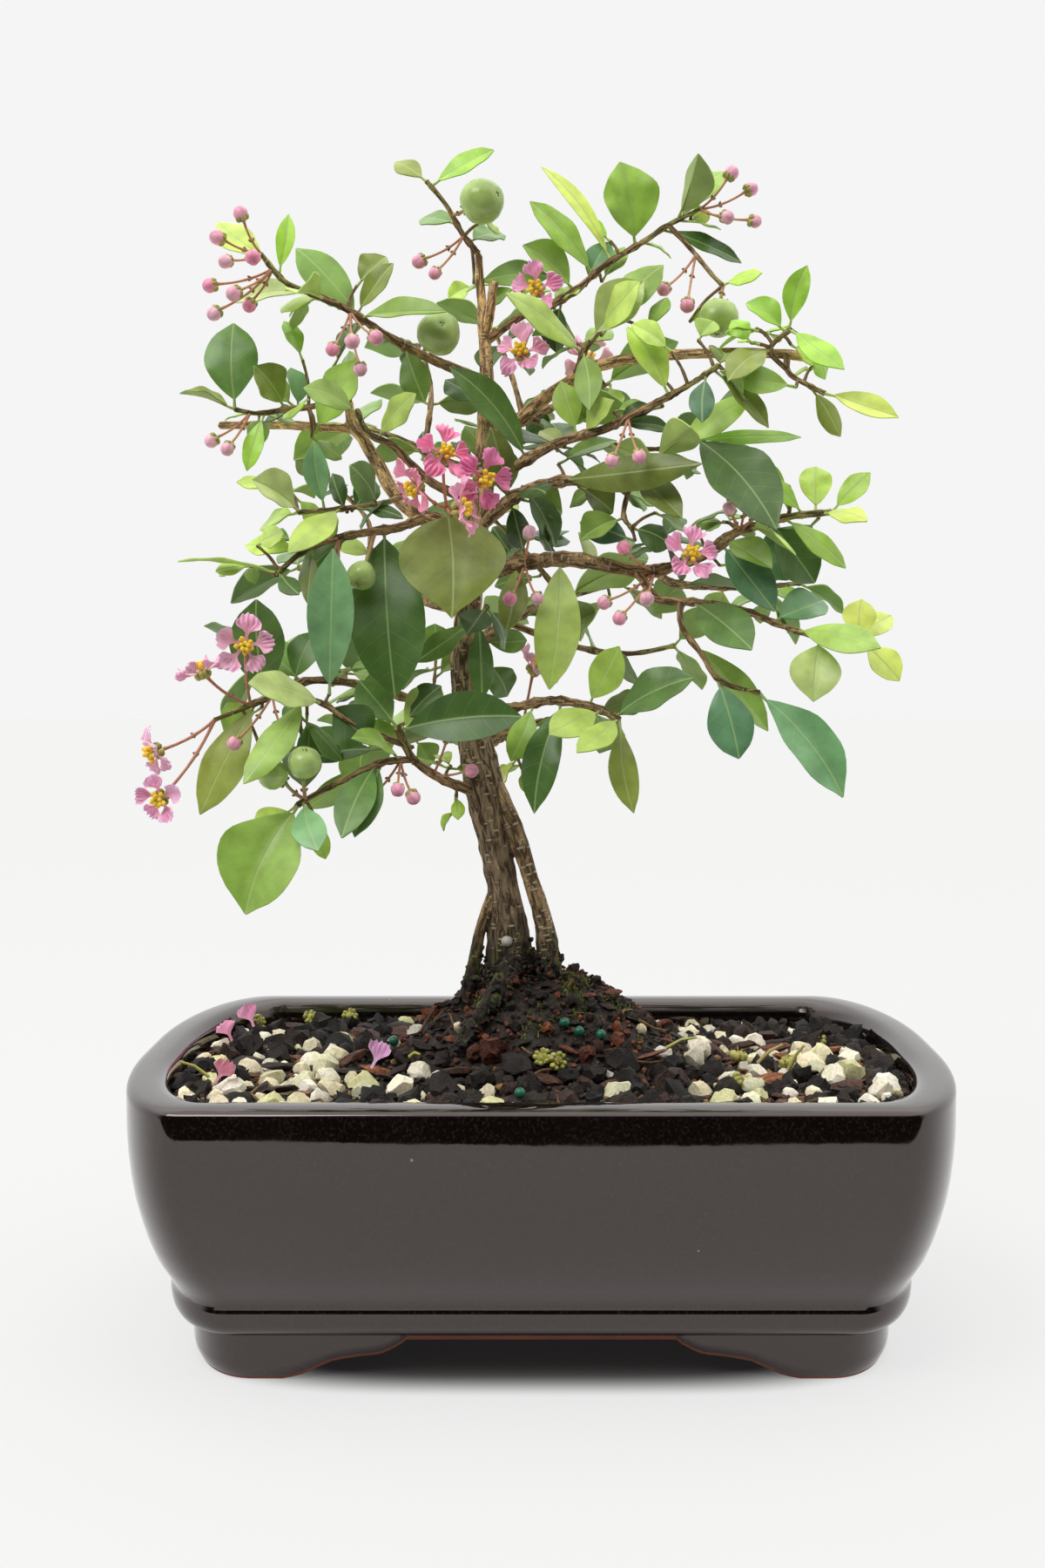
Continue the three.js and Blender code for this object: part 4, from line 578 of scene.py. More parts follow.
def leaf_points(leaf):
    """Points all over a leaf, near enough together that nothing passes between them."""
    length, axis, up, side = leaf_frame(leaf)
    rows = max(4, int(length / 2.6 + 0.5))
    points = []
    for k in range(1, rows + 1):
        t = 0.1 + 0.9 * k / rows
        swell = math.sin(math.pi * t**LEAF_BROADEST) if t < 1 else 0
        half = leaf["width"] / 2 * max(swell, 0) ** LEAF_FULLNESS
        columns = int(half / 2.4 + 0.5)
        spine = leaf["root"] + axis * (length * t) + up * (LEAF_ARCH * length * 4 * t * (1 - t))
        for c in range(-columns, columns + 1):
            points.append([*(spine + side * (half * c / columns if columns else 0)), LEAF_SPACE])
    return np.array(points)


leaves = []


def settle(leaf):
    """A leaf takes the first attitude that is clear, or isn't there."""
    for nudge in NUDGES:
        tried = {**leaf, "tip": leaf["tip"] + vec(*nudge)}
        item = stand(leaf["spray"], leaf_points(tried))
        if is_clear(item):
            keep(item)
            leaves.append(tried)
            return


for spray_name, spray in SPRAYS.items():
    for stem, share, across, height, depth, width, *turn in spray.get("leaves", []):
        settle({
            "spray": spray_name, "root": along(stems[spray_name][stem], share)[:3],
            "tip": seen((across, height, depth)), "width": width, "facing": vec(*TO_VIEWER),
            "turn": turn[0] if turn else 0, "sight": (across, height),
        })
for index, (spray_name, spray) in enumerate(SPRAYS.items()):
    draw = draws(101 + index)
    for stem, first, last, count, length in spray.get("pairs", []):
        route = stems[spray_name][stem]
        for k in range(count):
            share = first + (last - first) * k / (count - 1) if count > 1 else last
            place = along(route, share)[:3]
            axis = heading(route, share)
            level = unit(np.cross(axis, vec(0, 0, 1)))
            rise = np.cross(level, axis)
            roll = PAIR_TURN * k + PAIR_STRAY * (next(draw) - 0.5)
            for hand in (1, -1):
                sideways = level * (hand * math.cos(roll)) + rise * (hand * math.sin(roll))
                way = unit(axis * (0.35 + 0.5 * share) + sideways + vec(*LEAF_DROOP))
                reach = length * (0.75 + 0.5 * next(draw))
                outward = unit(vec(place[0] - CROWN_MIDDLE, place[1], 0))
                settle({
                    "spray": spray_name, "root": place, "tip": place + way * reach,
                    "width": reach * (0.5 + 0.12 * next(draw)),
                    "facing": unit(vec(*FACE_UP) + outward * FACE_OUT),
                    "turn": LEAF_TWIST * (next(draw) - 0.5),
                })


def new_mesh(name, points, faces):
    """A mesh from points in millimetres."""
    mesh = bpy.data.meshes.new(name)
    mesh.from_pydata((np.asarray(points) * MM).tolist(), [], faces)
    return mesh


def linked(name, data):
    """An object in the scene, at the origin."""
    obj = bpy.data.objects.new(name, data)
    bpy.context.scene.collection.objects.link(obj)
    return obj


def select_only(obj):
    bpy.ops.object.select_all(action="DESELECT")
    bpy.context.view_layer.objects.active = obj
    obj.select_set(True)


def carry(mesh, flow, tint):
    """Lays flow and tint on the points of a mesh, where its materials read them."""
    for title, kind, key, rows in (("flow", "FLOAT_VECTOR", "vector", flow),
                                   ("tint", "FLOAT_COLOR", "color", tint)):
        layer = mesh.attributes.new(title, kind, "POINT")
        layer.data.foreach_set(key, rows.astype(np.float32).ravel())


class Heap:
    """Skins and sheets gathered for one piece, in millimetres. Every point carries flow, its own
    place along and across the thing it belongs to, and tint, its colour."""

    def __init__(self):
        self.points, self.flow, self.tint = [], [], []
        self.faces, self.paints = [], []
        self.count = 0

    def add(self, skin, paint=0, flow=None, tint=(1, 1, 1, 1)):
        points, faces = skin
        points = np.asarray(points, dtype=float)
        self.points.append(points)
        self.flow.append(points if flow is None else np.asarray(flow, dtype=float))
        self.tint.append(np.broadcast_to(np.asarray(tint, dtype=float), (len(points), 4)))
        self.faces.extend(tuple(i + self.count for i in face) for face in faces)
        self.paints.extend([paint] * len(faces))
        self.count += len(points)

    def piece(self, name, materials, slot, nodes, sharp):
        """The heap as one Blender object, standing for its CAD nodes."""
        mesh = new_mesh(name, np.concatenate(self.points), self.faces)
        carry(mesh, np.concatenate(self.flow), np.concatenate(self.tint))
        mesh.polygons.foreach_set("material_index", self.paints)
        finish_piece(name, mesh, materials, nodes, sharp)


def finish_piece(name, mesh, materials, nodes, sharp):
    """A mesh as an object with its finishes, riding on the part. Edges over the angle stay sharp."""
    for material in materials:
        mesh.materials.append(material)
    mesh.shade_smooth()
    mesh.set_sharp_from_angle(angle=math.radians(sharp))
    obj = linked(name, mesh)
    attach(obj, "root")
    if nodes:
        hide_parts(*nodes)


def ringed(rings, start=None, end=None):
    """Points and faces of a skin through rings of points, each end closed at a point."""
    sides = len(rings[0])
    points = [p for ring in rings for p in ring]
    faces = []
    for r in range(len(rings) - 1):
        for i in range(sides):
            a, b = r * sides + i, r * sides + (i + 1) % sides
            faces.append((a, b, b + sides, a + sides))
    far = (len(rings) - 1) * sides
    if start is not None:
        points.append(start)
        faces.extend((len(points) - 1, (i + 1) % sides, i) for i in range(sides))
    if end is not None:
        points.append(end)
        faces.extend((len(points) - 1, far + i, far + (i + 1) % sides) for i in range(sides))
    return np.array(points), faces


def ring_at(place, axis, reach, sides, aside=None):
    """A ring of points round an axis. Reach is one radius or one for each point."""
    aside = square_to(vec(0.2, 0.3, 1) if aside is None else aside, axis)
    turn = np.arange(sides) * (2 * math.pi / sides)
    out = np.broadcast_to(reach, (sides,))[:, None]
    return place + out * (np.cos(turn)[:, None] * aside + np.sin(turn)[:, None] * np.cross(axis, aside))


def turned(place, axis, profile, sides, shape=None):
    """A closed body turned about an axis from (rise, reach) pairs, the first and last on the axis.
    Shape gives a factor on the reach for each turn and rise."""
    turn = np.arange(sides) * (2 * math.pi / sides)
    rings = []
    for rise, reach in profile[1:-1]:
        factor = shape(turn, rise) if shape else 1
        rings.append(ring_at(place + axis * rise, axis, reach * factor, sides))
    return ringed(rings, place + axis * profile[0][0], place + axis * profile[-1][0])


def ball_profile(radius, steps, stretch=1.0):
    """The (rise, reach) pairs of a ball."""
    turns = [math.pi * k / steps for k in range(steps + 1)]
    return [(-radius * stretch * math.cos(t), radius * math.sin(t)) for t in turns]


def tube(places, radii, sides):
    """A closed tube through places, and its flow: round its own axis, and along it."""
    places = np.asarray(places, dtype=float)
    lengths = lengths_along(places)
    first_way, last_way = unit(places[1] - places[0]), unit(places[-1] - places[-2])
    aside = square_to(vec(0.3, -1, 0.2), first_way)
    turn = np.arange(sides) * (2 * math.pi / sides)
    rings, flow = [], []
    for k, place in enumerate(places):
        axis = unit(places[min(k + 1, len(places) - 1)] - places[max(k - 1, 0)])
        aside = square_to(aside, axis)
        rings.append(ring_at(place, axis, radii[k], sides, aside))
        flow.extend([math.cos(a) * radii[k], math.sin(a) * radii[k], lengths[k]] for a in turn)
    flow.extend([[0, 0, 0], [0, 0, lengths[-1]]])
    first, last = places[0] - first_way * radii[0] * 0.3, places[-1] + last_way * radii[-1] * 0.4
    return ringed(rings, first, last), flow


def sheet(grid, thickness, up):
    """A thin closed sheet from a grid of points, with top, underside and rim."""
    rows, columns = grid.shape[:2]
    count = rows * columns
    shift = up * (thickness / 2)
    top = grid.reshape(-1, 3) + shift
    points = np.concatenate([top, grid.reshape(-1, 3) - shift])
    faces = []
    for r in range(rows - 1):
        for c in range(columns - 1):
            a = r * columns + c
            b = a + columns
            faces.append((a, b, b + 1, a + 1))
            faces.append((count + a, count + a + 1, count + b + 1, count + b))
    edge = [r * columns for r in range(rows)]
    edge += [(rows - 1) * columns + c for c in range(1, columns)]
    edge += [r * columns + columns - 1 for r in range(rows - 2, -1, -1)]
    edge += range(columns - 2, 0, -1)
    for a, b in zip(edge, edge[1:] + edge[:1]):
        faces.append((a, count + a, count + b, b))
    return points, faces


# Materials


def linear(code):
    """An sRGB hex colour as linear red, green, blue and alpha."""
    parts = [int(code[i:i + 2], 16) / 255 for i in (1, 3, 5)]
    return tuple(p / 12.92 if p <= 0.04045 else ((p + 0.055) / 1.055) ** 2.4 for p in parts) + (1.0,)


def rgb(code):
    return np.array(linear(code))[:3]


def live(source):
    """A socket as it is, or the first one that a node has in use."""
    if isinstance(source, bpy.types.Node):
        return next(socket for socket in source.outputs if socket.enabled)
    return source


def add_node(tree, kind, inputs=None, **settings):
    """One shader node with its settings. Each input gets a value, or a link from a socket or from
    the first socket that a node has in use."""
    node = tree.nodes.new("ShaderNode" + kind)
    for key, value in settings.items():
        setattr(node, key, value)
    for socket, value in (inputs or {}).items():
        value = live(value)
        if isinstance(value, bpy.types.NodeSocket):
            tree.links.new(value, node.inputs[socket])
        else:
            node.inputs[socket].default_value = value
    return node


def new_material(name, **shader_values):
    """A material with one Principled shader, and its node tree."""
    material = bpy.data.materials.new(name)
    material.use_nodes = True
    tree = material.node_tree
    shader = tree.nodes["Principled BSDF"]
    for socket, value in shader_values.items():
        shader.inputs[socket.replace("_", " ")].default_value = value
    return material, tree, shader


def wire(tree, shader, **outputs):
    """Links nodes to the shader's own sockets."""
    for socket, output in outputs.items():
        tree.links.new(live(output), shader.inputs[socket.replace("_", " ")])


def iron_glaze():
    """Iron-saturated stoneware glaze: near black, glassy, with a faint metallic grit in it."""
    material, tree, shader = new_material(
        "iron_glaze", IOR=1.82, Roughness=0.09, Specular_Tint=linear("#f4e4e0"),
    )
    place = add_node(tree, "TexCoord").outputs["Object"]
    grit = add_node(tree, "TexNoise", {"Vector": place, "Scale": 1 / (0.7 * MM), "Detail": 3.0})
    cloud = add_node(tree, "TexNoise", {"Vector": place, "Scale": 1 / (24 * MM), "Detail": 4.0})
    fleck = add_node(tree, "MapRange", {"Value": grit, "From Min": 0.52, "From Max": 0.8, "To Max": 0.6})
    body = add_node(tree, "Mix", {
        "Factor": cloud, 6: linear("#0c0807"), 7: linear("#150f0d"),
    }, data_type="RGBA")
    speckled = add_node(tree, "Mix", {"Factor": fleck, 6: body, 7: linear("#3a312c")}, data_type="RGBA")
    # white grains burst through the glaze here and there, about 0.6 mm across
    grains = add_node(tree, "TexVoronoi", {"Vector": place, "Scale": 1 / (15 * MM)})
    burst = add_node(tree, "Math", {0: grains, 1: 0.022}, operation="LESS_THAN")
    colour = add_node(tree, "Mix", {"Factor": burst, 6: speckled, 7: linear("#8a8078")}, data_type="RGBA")
    gloss = add_node(tree, "MapRange", {
        "Value": cloud, "From Min": 0.3, "From Max": 0.7, "To Min": 0.03, "To Max": 0.07,
    })
    orange_peel = add_node(tree, "TexNoise", {"Vector": place, "Scale": 1 / (5 * MM), "Detail": 1.0})
    bump = add_node(tree, "Bump", {"Height": orange_peel, "Strength": 0.3, "Distance": 0.05 * MM})
    fine = add_node(tree, "Bump", {
        "Height": grit, "Strength": 0.2, "Distance": 0.008 * MM,
        "Normal": bump,
    })
    wire(tree, shader, Base_Color=colour, Roughness=gloss, Normal=fine)
    return material


def bare_clay():
    """Unglazed red-brown stoneware: dry, sandy, darker where the glaze thinned out over it."""
    material, tree, shader = new_material("bare_stoneware_clay", Roughness=0.9)
    place = add_node(tree, "TexCoord").outputs["Object"]
    sand = add_node(tree, "TexNoise", {"Vector": place, "Scale": 1 / (0.8 * MM), "Detail": 4.0})
    stain = add_node(tree, "TexNoise", {"Vector": place, "Scale": 1 / (9 * MM), "Detail": 3.0})
    clay = add_node(tree, "Mix", {
        "Factor": sand, 6: linear("#6e3a2a"), 7: linear("#96583e"),
    }, data_type="RGBA")
    colour = add_node(tree, "Mix", {"Factor": stain, 6: clay, 7: linear("#5a3228")}, data_type="RGBA")
    bump = add_node(tree, "Bump", {"Height": sand, "Strength": 0.6, "Distance": 0.15 * MM})
    wire(tree, shader, Base_Color=colour, Normal=bump)
    return material


def tinted(name, roughness, grain, depth, shade="#3a3a3a", share=0.5, subsurface=0.0, specular=0.5):
    """A finish whose colour comes from each point's tint, with darker grain of a size in
    millimetres and pits of a depth in millimetres."""
    material, tree, shader = new_material(name, Roughness=roughness, Specular_IOR_Level=specular)
    if subsurface:
        shader.inputs["Subsurface Weight"].default_value = subsurface
        shader.inputs["Subsurface Radius"].default_value = (1.0, 0.6, 0.4)
        shader.inputs["Subsurface Scale"].default_value = 1.2 * MM
    place = add_node(tree, "TexCoord").outputs["Object"]
    tint = add_node(tree, "Attribute", attribute_name="tint")
    spots = add_node(tree, "TexNoise", {"Vector": place, "Scale": 1 / (grain * MM), "Detail": 4.0})
    pits = add_node(tree, "MapRange", {
        "Value": spots, "From Min": 0.38, "From Max": 0.62,
        "To Min": share, "To Max": 0.0,
    })
    colour = add_node(tree, "Mix", {
        "Factor": pits, 6: tint, 7: linear(shade),
    }, data_type="RGBA", blend_type="MULTIPLY")
    bump = add_node(tree, "Bump", {"Height": spots, "Strength": 0.8, "Distance": depth * MM})
    wire(tree, shader, Base_Color=colour, Normal=bump)
    return material


def bark():
    """Bonsai bark: grey-brown, fissured along the limb, dark in the fissures from their own bark and from
    painted shade, with lighter flakes and pale corky lenticels across it.
    """
    material, tree, shader = new_material("fissured_bark", Roughness=0.85)
    flow = add_node(tree, "Attribute", attribute_name="flow").outputs["Vector"]
    tint = add_node(tree, "Attribute", attribute_name="tint")
    lengthwise = add_node(tree, "VectorMath", {0: flow, 1: (1.0, 1.0, 0.22)}, operation="MULTIPLY")
    fissure = add_node(tree, "TexNoise", {
        "Vector": lengthwise, "Scale": 0.8, "Detail": 6.0, "Roughness": 0.7,
        "Distortion": 0.8,
    })
    crack = add_node(tree, "MapRange", {"Value": fissure, "From Min": 0.44, "From Max": 0.53})
    flake = add_node(tree, "MapRange", {
        "Value": fissure, "From Min": 0.54, "From Max": 0.66, "To Max": 0.8,
    })
    across = add_node(tree, "VectorMath", {0: flow, 1: (0.42, 0.42, 1.25)}, operation="MULTIPLY")
    corky = add_node(tree, "TexVoronoi", {"Vector": across, "Scale": 0.75})
    dash = add_node(tree, "MapRange", {
        "Value": corky, "From Min": 0.26, "From Max": 0.36, "To Min": 1.0, "To Max": 0.0,
    })
    # only some cells hold a lenticel
    chosen = add_node(tree, "SeparateColor", {"Color": corky.outputs["Color"]})
    present = add_node(tree, "Math", {0: chosen.outputs["Red"], 1: 0.42}, operation="GREATER_THAN")
    marked = add_node(tree, "Math", {0: dash, 1: present}, operation="MULTIPLY")
    strength = add_node(tree, "Math", {0: marked, 1: tint.outputs["Alpha"]}, operation="MULTIPLY")
    # the fissures are dark partly from the darker bark inside them, partly from painted shade in them
    furrow_painted_shade = add_node(tree, "VectorMath", {0: tint, 1: (0.24, 0.2, 0.17)}, operation="MULTIPLY")
    rough_wood = add_node(tree, "Mix", {"Factor": crack, 6: furrow_painted_shade, 7: tint}, data_type="RGBA")
    dusty = add_node(tree, "VectorMath", {0: tint, 1: (2.1, 2.1, 2.0)}, operation="MULTIPLY")
    wood = add_node(tree, "Mix", {"Factor": flake, 6: rough_wood, 7: dusty}, data_type="RGBA")
    colour = add_node(tree, "Mix", {"Factor": strength, 6: wood, 7: linear("#c9b896")}, data_type="RGBA")
    height = add_node(tree, "Math", {0: fissure, 1: strength}, operation="ADD")
    bump = add_node(tree, "Bump", {"Height": height, "Strength": 1.0, "Distance": 0.7 * MM})
    wire(tree, shader, Base_Color=colour, Normal=bump)
    return material


def leaf_blade():
    """A waxy leaf: green from its tint, paler veins from the midrib, a dull pale underside. Flow
    is across and along the blade in millimetres, and the half width; alpha is 1 on top."""
    material, tree, shader = new_material(
        "waxy_leaf_blade", Roughness=0.38, IOR=1.45,
        Subsurface_Weight=0.15, Subsurface_Radius=(0.6, 1.0, 0.2), Subsurface_Scale=0.8 * MM,
    )
    tint = add_node(tree, "Attribute", attribute_name="tint")
    flow = add_node(tree, "Attribute", attribute_name="flow")
    place = add_node(tree, "TexCoord").outputs["Object"]
    parts = add_node(tree, "SeparateXYZ", {0: flow.outputs["Vector"]})
    across = add_node(tree, "Math", {0: parts.outputs["X"]}, operation="ABSOLUTE")
    # side veins every 2.6 mm, leaving the midrib at about 55 degrees and curving forward
    forward = add_node(tree, "Math", {0: across, 1: 1.25}, operation="POWER")
    slant = add_node(tree, "Math", {0: forward, 1: -0.5, 2: parts.outputs["Y"]}, operation="MULTIPLY_ADD")
    wave = add_node(tree, "Math", {0: slant, 1: 2.6}, operation="PINGPONG")
    vein = add_node(tree, "MapRange", {
        "Value": wave, "From Min": 0.0, "From Max": 0.28, "To Min": 1.0, "To Max": 0.0,
    }, interpolation_type="SMOOTHSTEP")
    midrib = add_node(tree, "MapRange", {
        "Value": across, "From Min": 0.1, "From Max": 0.34, "To Min": 1.0, "To Max": 0.0,
    }, interpolation_type="SMOOTHSTEP")
    faint = add_node(tree, "Math", {0: vein, 1: 0.1}, operation="MULTIPLY")
    strong = add_node(tree, "Math", {0: midrib, 1: 0.5}, operation="MULTIPLY")
    lines = add_node(tree, "Math", {0: faint, 1: strong}, operation="MAXIMUM")
    mottle = add_node(tree, "TexNoise", {"Vector": place, "Scale": 1 / (5 * MM), "Detail": 5.0})
    shade = add_node(tree, "MapRange", {
        "Value": mottle, "From Min": 0.3, "From Max": 0.7, "To Min": 0.8, "To Max": 1.2,
    })
    green = add_node(tree, "VectorMath", {0: tint, "Scale": shade}, operation="SCALE")
    veined = add_node(tree, "Mix", {"Factor": lines, 6: green, 7: linear("#b9cf8a")}, data_type="RGBA")
    below = add_node(tree, "Math", {0: 1.0, 1: tint.outputs["Alpha"]}, operation="SUBTRACT")
    dull = add_node(tree, "Math", {0: below, 1: 0.38}, operation="MULTIPLY")
    colour = add_node(tree, "Mix", {"Factor": dull, 6: veined, 7: linear("#9db37e")}, data_type="RGBA")
    gloss = add_node(tree, "MapRange", {"Value": tint.outputs["Alpha"], "To Min": 0.62, "To Max": 0.34})
    relief = add_node(tree, "Math", {0: mottle, 1: lines}, operation="SUBTRACT")
    bump = add_node(tree, "Bump", {"Height": relief, "Strength": 0.45, "Distance": 0.25 * MM})
    wire(tree, shader, Base_Color=colour, Roughness=gloss, Normal=bump)
    return material


def petal():
    """A thin crinkled petal: pink from its tint, with fine lengthwise veins."""
    material, tree, shader = new_material(
        "crinkled_petal", Roughness=0.6,
        Subsurface_Weight=0.12, Subsurface_Radius=(1.0, 0.7, 0.8), Subsurface_Scale=0.9 * MM,
    )
    tint = add_node(tree, "Attribute", attribute_name="tint")
    flow = add_node(tree, "Attribute", attribute_name="flow").outputs["Vector"]
    fan = add_node(tree, "VectorMath", {0: flow, 1: (1.0, 0.12, 0.0)}, operation="MULTIPLY")
    streak = add_node(tree, "TexNoise", {"Vector": fan, "Scale": 2.2, "Detail": 2.0})
    shade = add_node(tree, "MapRange", {
        "Value": streak, "From Min": 0.3, "From Max": 0.7, "To Min": 0.84, "To Max": 1.12,
    })
    colour = add_node(tree, "VectorMath", {0: tint, "Scale": shade}, operation="SCALE")
    bump = add_node(tree, "Bump", {"Height": streak, "Strength": 0.5, "Distance": 0.12 * MM})
    wire(tree, shader, Base_Color=colour, Normal=bump)
    return material


GLAZE = iron_glaze()
CLAY = bare_clay()
BARK = bark()
LEAF = leaf_blade()
PETAL = petal()
# green shoots, stalks, calyx glands and fruit: smooth living skin, slightly see-through
LIVING = tinted("living_green_skin", 0.42, 0.9, 0.04, "#b0b09c", 0.22, 0.2)
# the waxy skin of an unripe cherry
FRUIT = tinted("unripe_cherry_skin", 0.22, 3.0, 0.015, "#c8d0a8", 0.3, 0.2)
# anthers full of pollen
POLLEN = tinted("yellow_anther", 0.7, 0.3, 0.03, "#f4e4a8", 0.3, 0.1)
# closed petals of a bud: satiny, folded tight
BUD = tinted("satin_bud_petal", 0.45, 2.5, 0.01, "#fceef4", 0.2, 0.15)
# pumice is open-pored and dry, lava is darker and rougher, bark chips are fibrous
PUMICE = tinted("pumice", 0.92, 0.8, 0.22, "#c4b68c", 0.4, 0.1, 0.3)
LAVA = tinted("black_lava", 0.8, 0.6, 0.3, "#4a4440", 0.8)
CHIP = tinted("pine_bark_chip", 0.75, 1.1, 0.25, "#4a352a", 0.8)
# humus is damp and loose, a coated pellet smooth and a little shiny
HUMUS = tinted("wet_humus", 0.7, 1.2, 0.5, "#3a302a", 0.8)
PELLET = tinted("coated_fertiliser_pellet", 0.3, 1.5, 0.02, "#909090", 0.4)
# cushion moss: matt, damp shoots
MOSS = tinted("cushion_moss", 0.85, 0.8, 0.05, "#7a7a60", 0.4, 0.1, 0.3)


# Pot


def outline(inset, heights, corner_steps=18, step=None, corner_depth_share=None):
    """The pot's rounded outline, drawn in by an inset. Heights is a number or a function of x, y.
    Step divides the straight runs."""
    if corner_depth_share is None:
        corner_depth_share = np.interp(heights, *zip(*CORNER_SHARES))
    half_width = POT_HALF_WIDTH - inset
    half_depth = POT_HALF_DEPTH - inset * DEPTH_TAPER
    corner_width = half_width * CORNER_WIDTH_SHARE
    corner_depth = half_depth * corner_depth_share
    flat = []
    for sign_x, sign_y in ((1, 1), (-1, 1), (-1, -1), (1, -1)):
        for k in range(corner_steps + 1):
            share = k / corner_steps if sign_x * sign_y > 0 else 1 - k / corner_steps
            turn = math.pi / 2 * share
            flat.append((
                sign_x * (half_width - corner_width + corner_width * math.cos(turn)),
                sign_y * (half_depth - corner_depth + corner_depth * math.sin(turn)),
            ))
        if step and sign_x == sign_y:
            run = 2 * (half_width - corner_width)
            count = round(2 * (POT_HALF_WIDTH - FOOT_INSET) * (1 - CORNER_WIDTH_SHARE) / step)
            x, y = flat[-1]
            flat.extend((x - sign_x * run * k / count, y) for k in range(1, count))
    height = heights if callable(heights) else lambda x, y: heights
    return np.array([(x, y, height(x, y)) for x, y in flat])


def arch_height(arch, distance):
    """Height of a foot arch at a distance from the pot's middle."""
    return float(np.interp(-abs(distance), [-x for x, _ in arch], [z for _, z in arch]))


def foot_bottom(x, y):
    return max(arch_height(FRONT_ARCH, x), arch_height(SIDE_ARCH, y))


def cut(obj, tool, operation):
    """A Boolean modifier on a piece, applied, and its tool removed."""
    modifier = obj.modifiers.new("cut", "BOOLEAN")
    modifier.operation = operation
    modifier.solver = "EXACT"
    modifier.object = tool
    select_only(obj)
    bpy.ops.object.modifier_apply(modifier="cut")
    bpy.data.objects.remove(tool)


def pot_object(name, points, faces, paints):
    """A closed body with the pot's two finishes, glaze and bare clay."""
    mesh = new_mesh(name, points, faces)
    for material in (GLAZE, CLAY):
        mesh.materials.append(material)
    mesh.polygons.foreach_set("material_index", paints)
    return linked(name, mesh)


def make_pot():
    rings = [outline(inset, height) for inset, height in WALL_PROFILE + INNER_PROFILE]
    points, faces = ringed(rings, vec(0, 0, UNDERSIDE_HEIGHT), vec(0, 0, FLOOR_HEIGHT))
    sides = len(rings[0])
    under = len(points) - 2
    paints = [1 if under in face or max(face) < 2 * sides else 0 for face in faces]
    pot = pot_object("glazed_pot", points, faces, paints)

    # the skirt of the feet: inner wall, flat foot ring, rolled toe and outer wall
    top = UNDERSIDE_HEIGHT + FOOT_SUNK
    inner = FOOT_INSET + FOOT_THICKNESS
    toe = FOOT_TOE_INSET
    profile = [
        (inner, None), (inner, 0.6), (inner - 0.6, 0), (toe + 0.9, 0), (toe + 0.3, 0.35), (toe, 1.0),
        (FOOT_INSET + 0.25, 2.6), (FOOT_INSET, 4.4), (FOOT_INSET, None),
    ]
    rings = []
    for inset, rise in profile:
        def height(x, y):
            return top if rise is None else min(foot_bottom(x, y) + rise, top - 0.01)
        rings.append(outline(inset, height, 26, 2.4, FOOT_CORNER_DEPTH_SHARE))
    points, faces = ringed(rings)
    sides = len(rings[0])
    last = (len(rings) - 1) * sides
    faces.extend((last + i, last + (i + 1) % sides, (i + 1) % sides, i) for i in range(sides))
    paints = [1 if max(face) < 6 * sides else 0 for face in faces]
    skirt = pot_object("feet", points, faces, paints)
    cut(pot, skirt, "UNION")

    for x in (-DRAIN_FROM_MIDDLE, DRAIN_FROM_MIDDLE):
        middle = (UNDERSIDE_HEIGHT + FLOOR_HEIGHT) / 2 * MM
        bpy.ops.object.select_all(action="DESELECT")
        bpy.ops.mesh.primitive_cylinder_add(vertices=40, radius=DRAIN_RADIUS * MM,
                                            depth=DRILL_LENGTH * MM, location=(x * MM, 0, middle))
        drill = bpy.context.object
        drill.data.materials.append(CLAY)
        cut(pot, drill, "DIFFERENCE")
    pot.data.shade_smooth()
    pot.data.set_sharp_from_angle(angle=math.radians(38))
    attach(pot, "root")
    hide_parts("pot")


make_pot()


# Soil and what lies on it

# how far the soil stands off the pot's wall, and its insets and heights below its top
WALL_GAP = 0.4
SOIL_OUTLINES = [(24, FLOOR_HEIGHT + SEAT_GAP), (19, 19.2), (12, 32), (9.6, 50)]
SOIL_RINGS = 64
INNER_WALL_INSET = 9.6


def mound_share(x, y):
    """1 on top of the mound, falling to 0 on the flat."""
    u = (x - MOUND_CENTRE[0]) / MOUND_REACH[0]
    v = (y - MOUND_CENTRE[1]) / MOUND_REACH[1]
    return math.exp(-((u * u + v * v) ** 1.2) / 1.6)


def soil_height(x, y):
    """Height of the soil before its grains, at a place in the pot."""
    slope = (y + POT_HALF_DEPTH) / (2 * POT_HALF_DEPTH)
    flat = SOIL_FRONT_HEIGHT + (SOIL_BACK_HEIGHT - SOIL_FRONT_HEIGHT) * slope
    return flat + MOUND_HEIGHT * mound_share(x, y)


def crumbly(x, y):
    """The soil's height with lumps 3 to 9 mm wide."""
    lumps = noise.noise(Vector((x / 6, y / 6, 3.1)))
    lumps += 0.6 * noise.noise(Vector((x / 2.2, y / 2.2, 8.7)))
    return soil_height(x, y) - 0.7 + 1.1 * lumps


def soil_bed():
    """The mix under the grains: it fills the pot, a wall's gap away from it."""
    foot, edge = SOIL_OUTLINES[0], outline(9.5 + WALL_GAP, 60, 18, 3.0)
    rings = [resampled(outline(inset + WALL_GAP, height), len(edge)) for inset, height in SOIL_OUTLINES]
    edge = resampled(edge, len(edge))
    for k in range(SOIL_RINGS):
        share = 1 - k / SOIL_RINGS
        rings.append(np.array([(x * share, y * share, crumbly(x * share, y * share)) for x, y, _ in edge]))
    heap = Heap()
    heap.add(ringed(rings, vec(0, 0, foot[1]), vec(0, 0, crumbly(0, 0))), tint=linear("#33261d"))
    heap.piece("soil_bed", [HUMUS], "substrate", ["soil"], 70)


def resampled(ring, count):
    """A ring of points spread evenly to a new count."""
    loop = np.concatenate([ring, ring[:1]])
    lengths = lengths_along(loop)
    spots = np.linspace(0, lengths[-1], count, endpoint=False)
    return np.stack([np.interp(spots, lengths, loop[:, k]) for k in range(3)], axis=1)


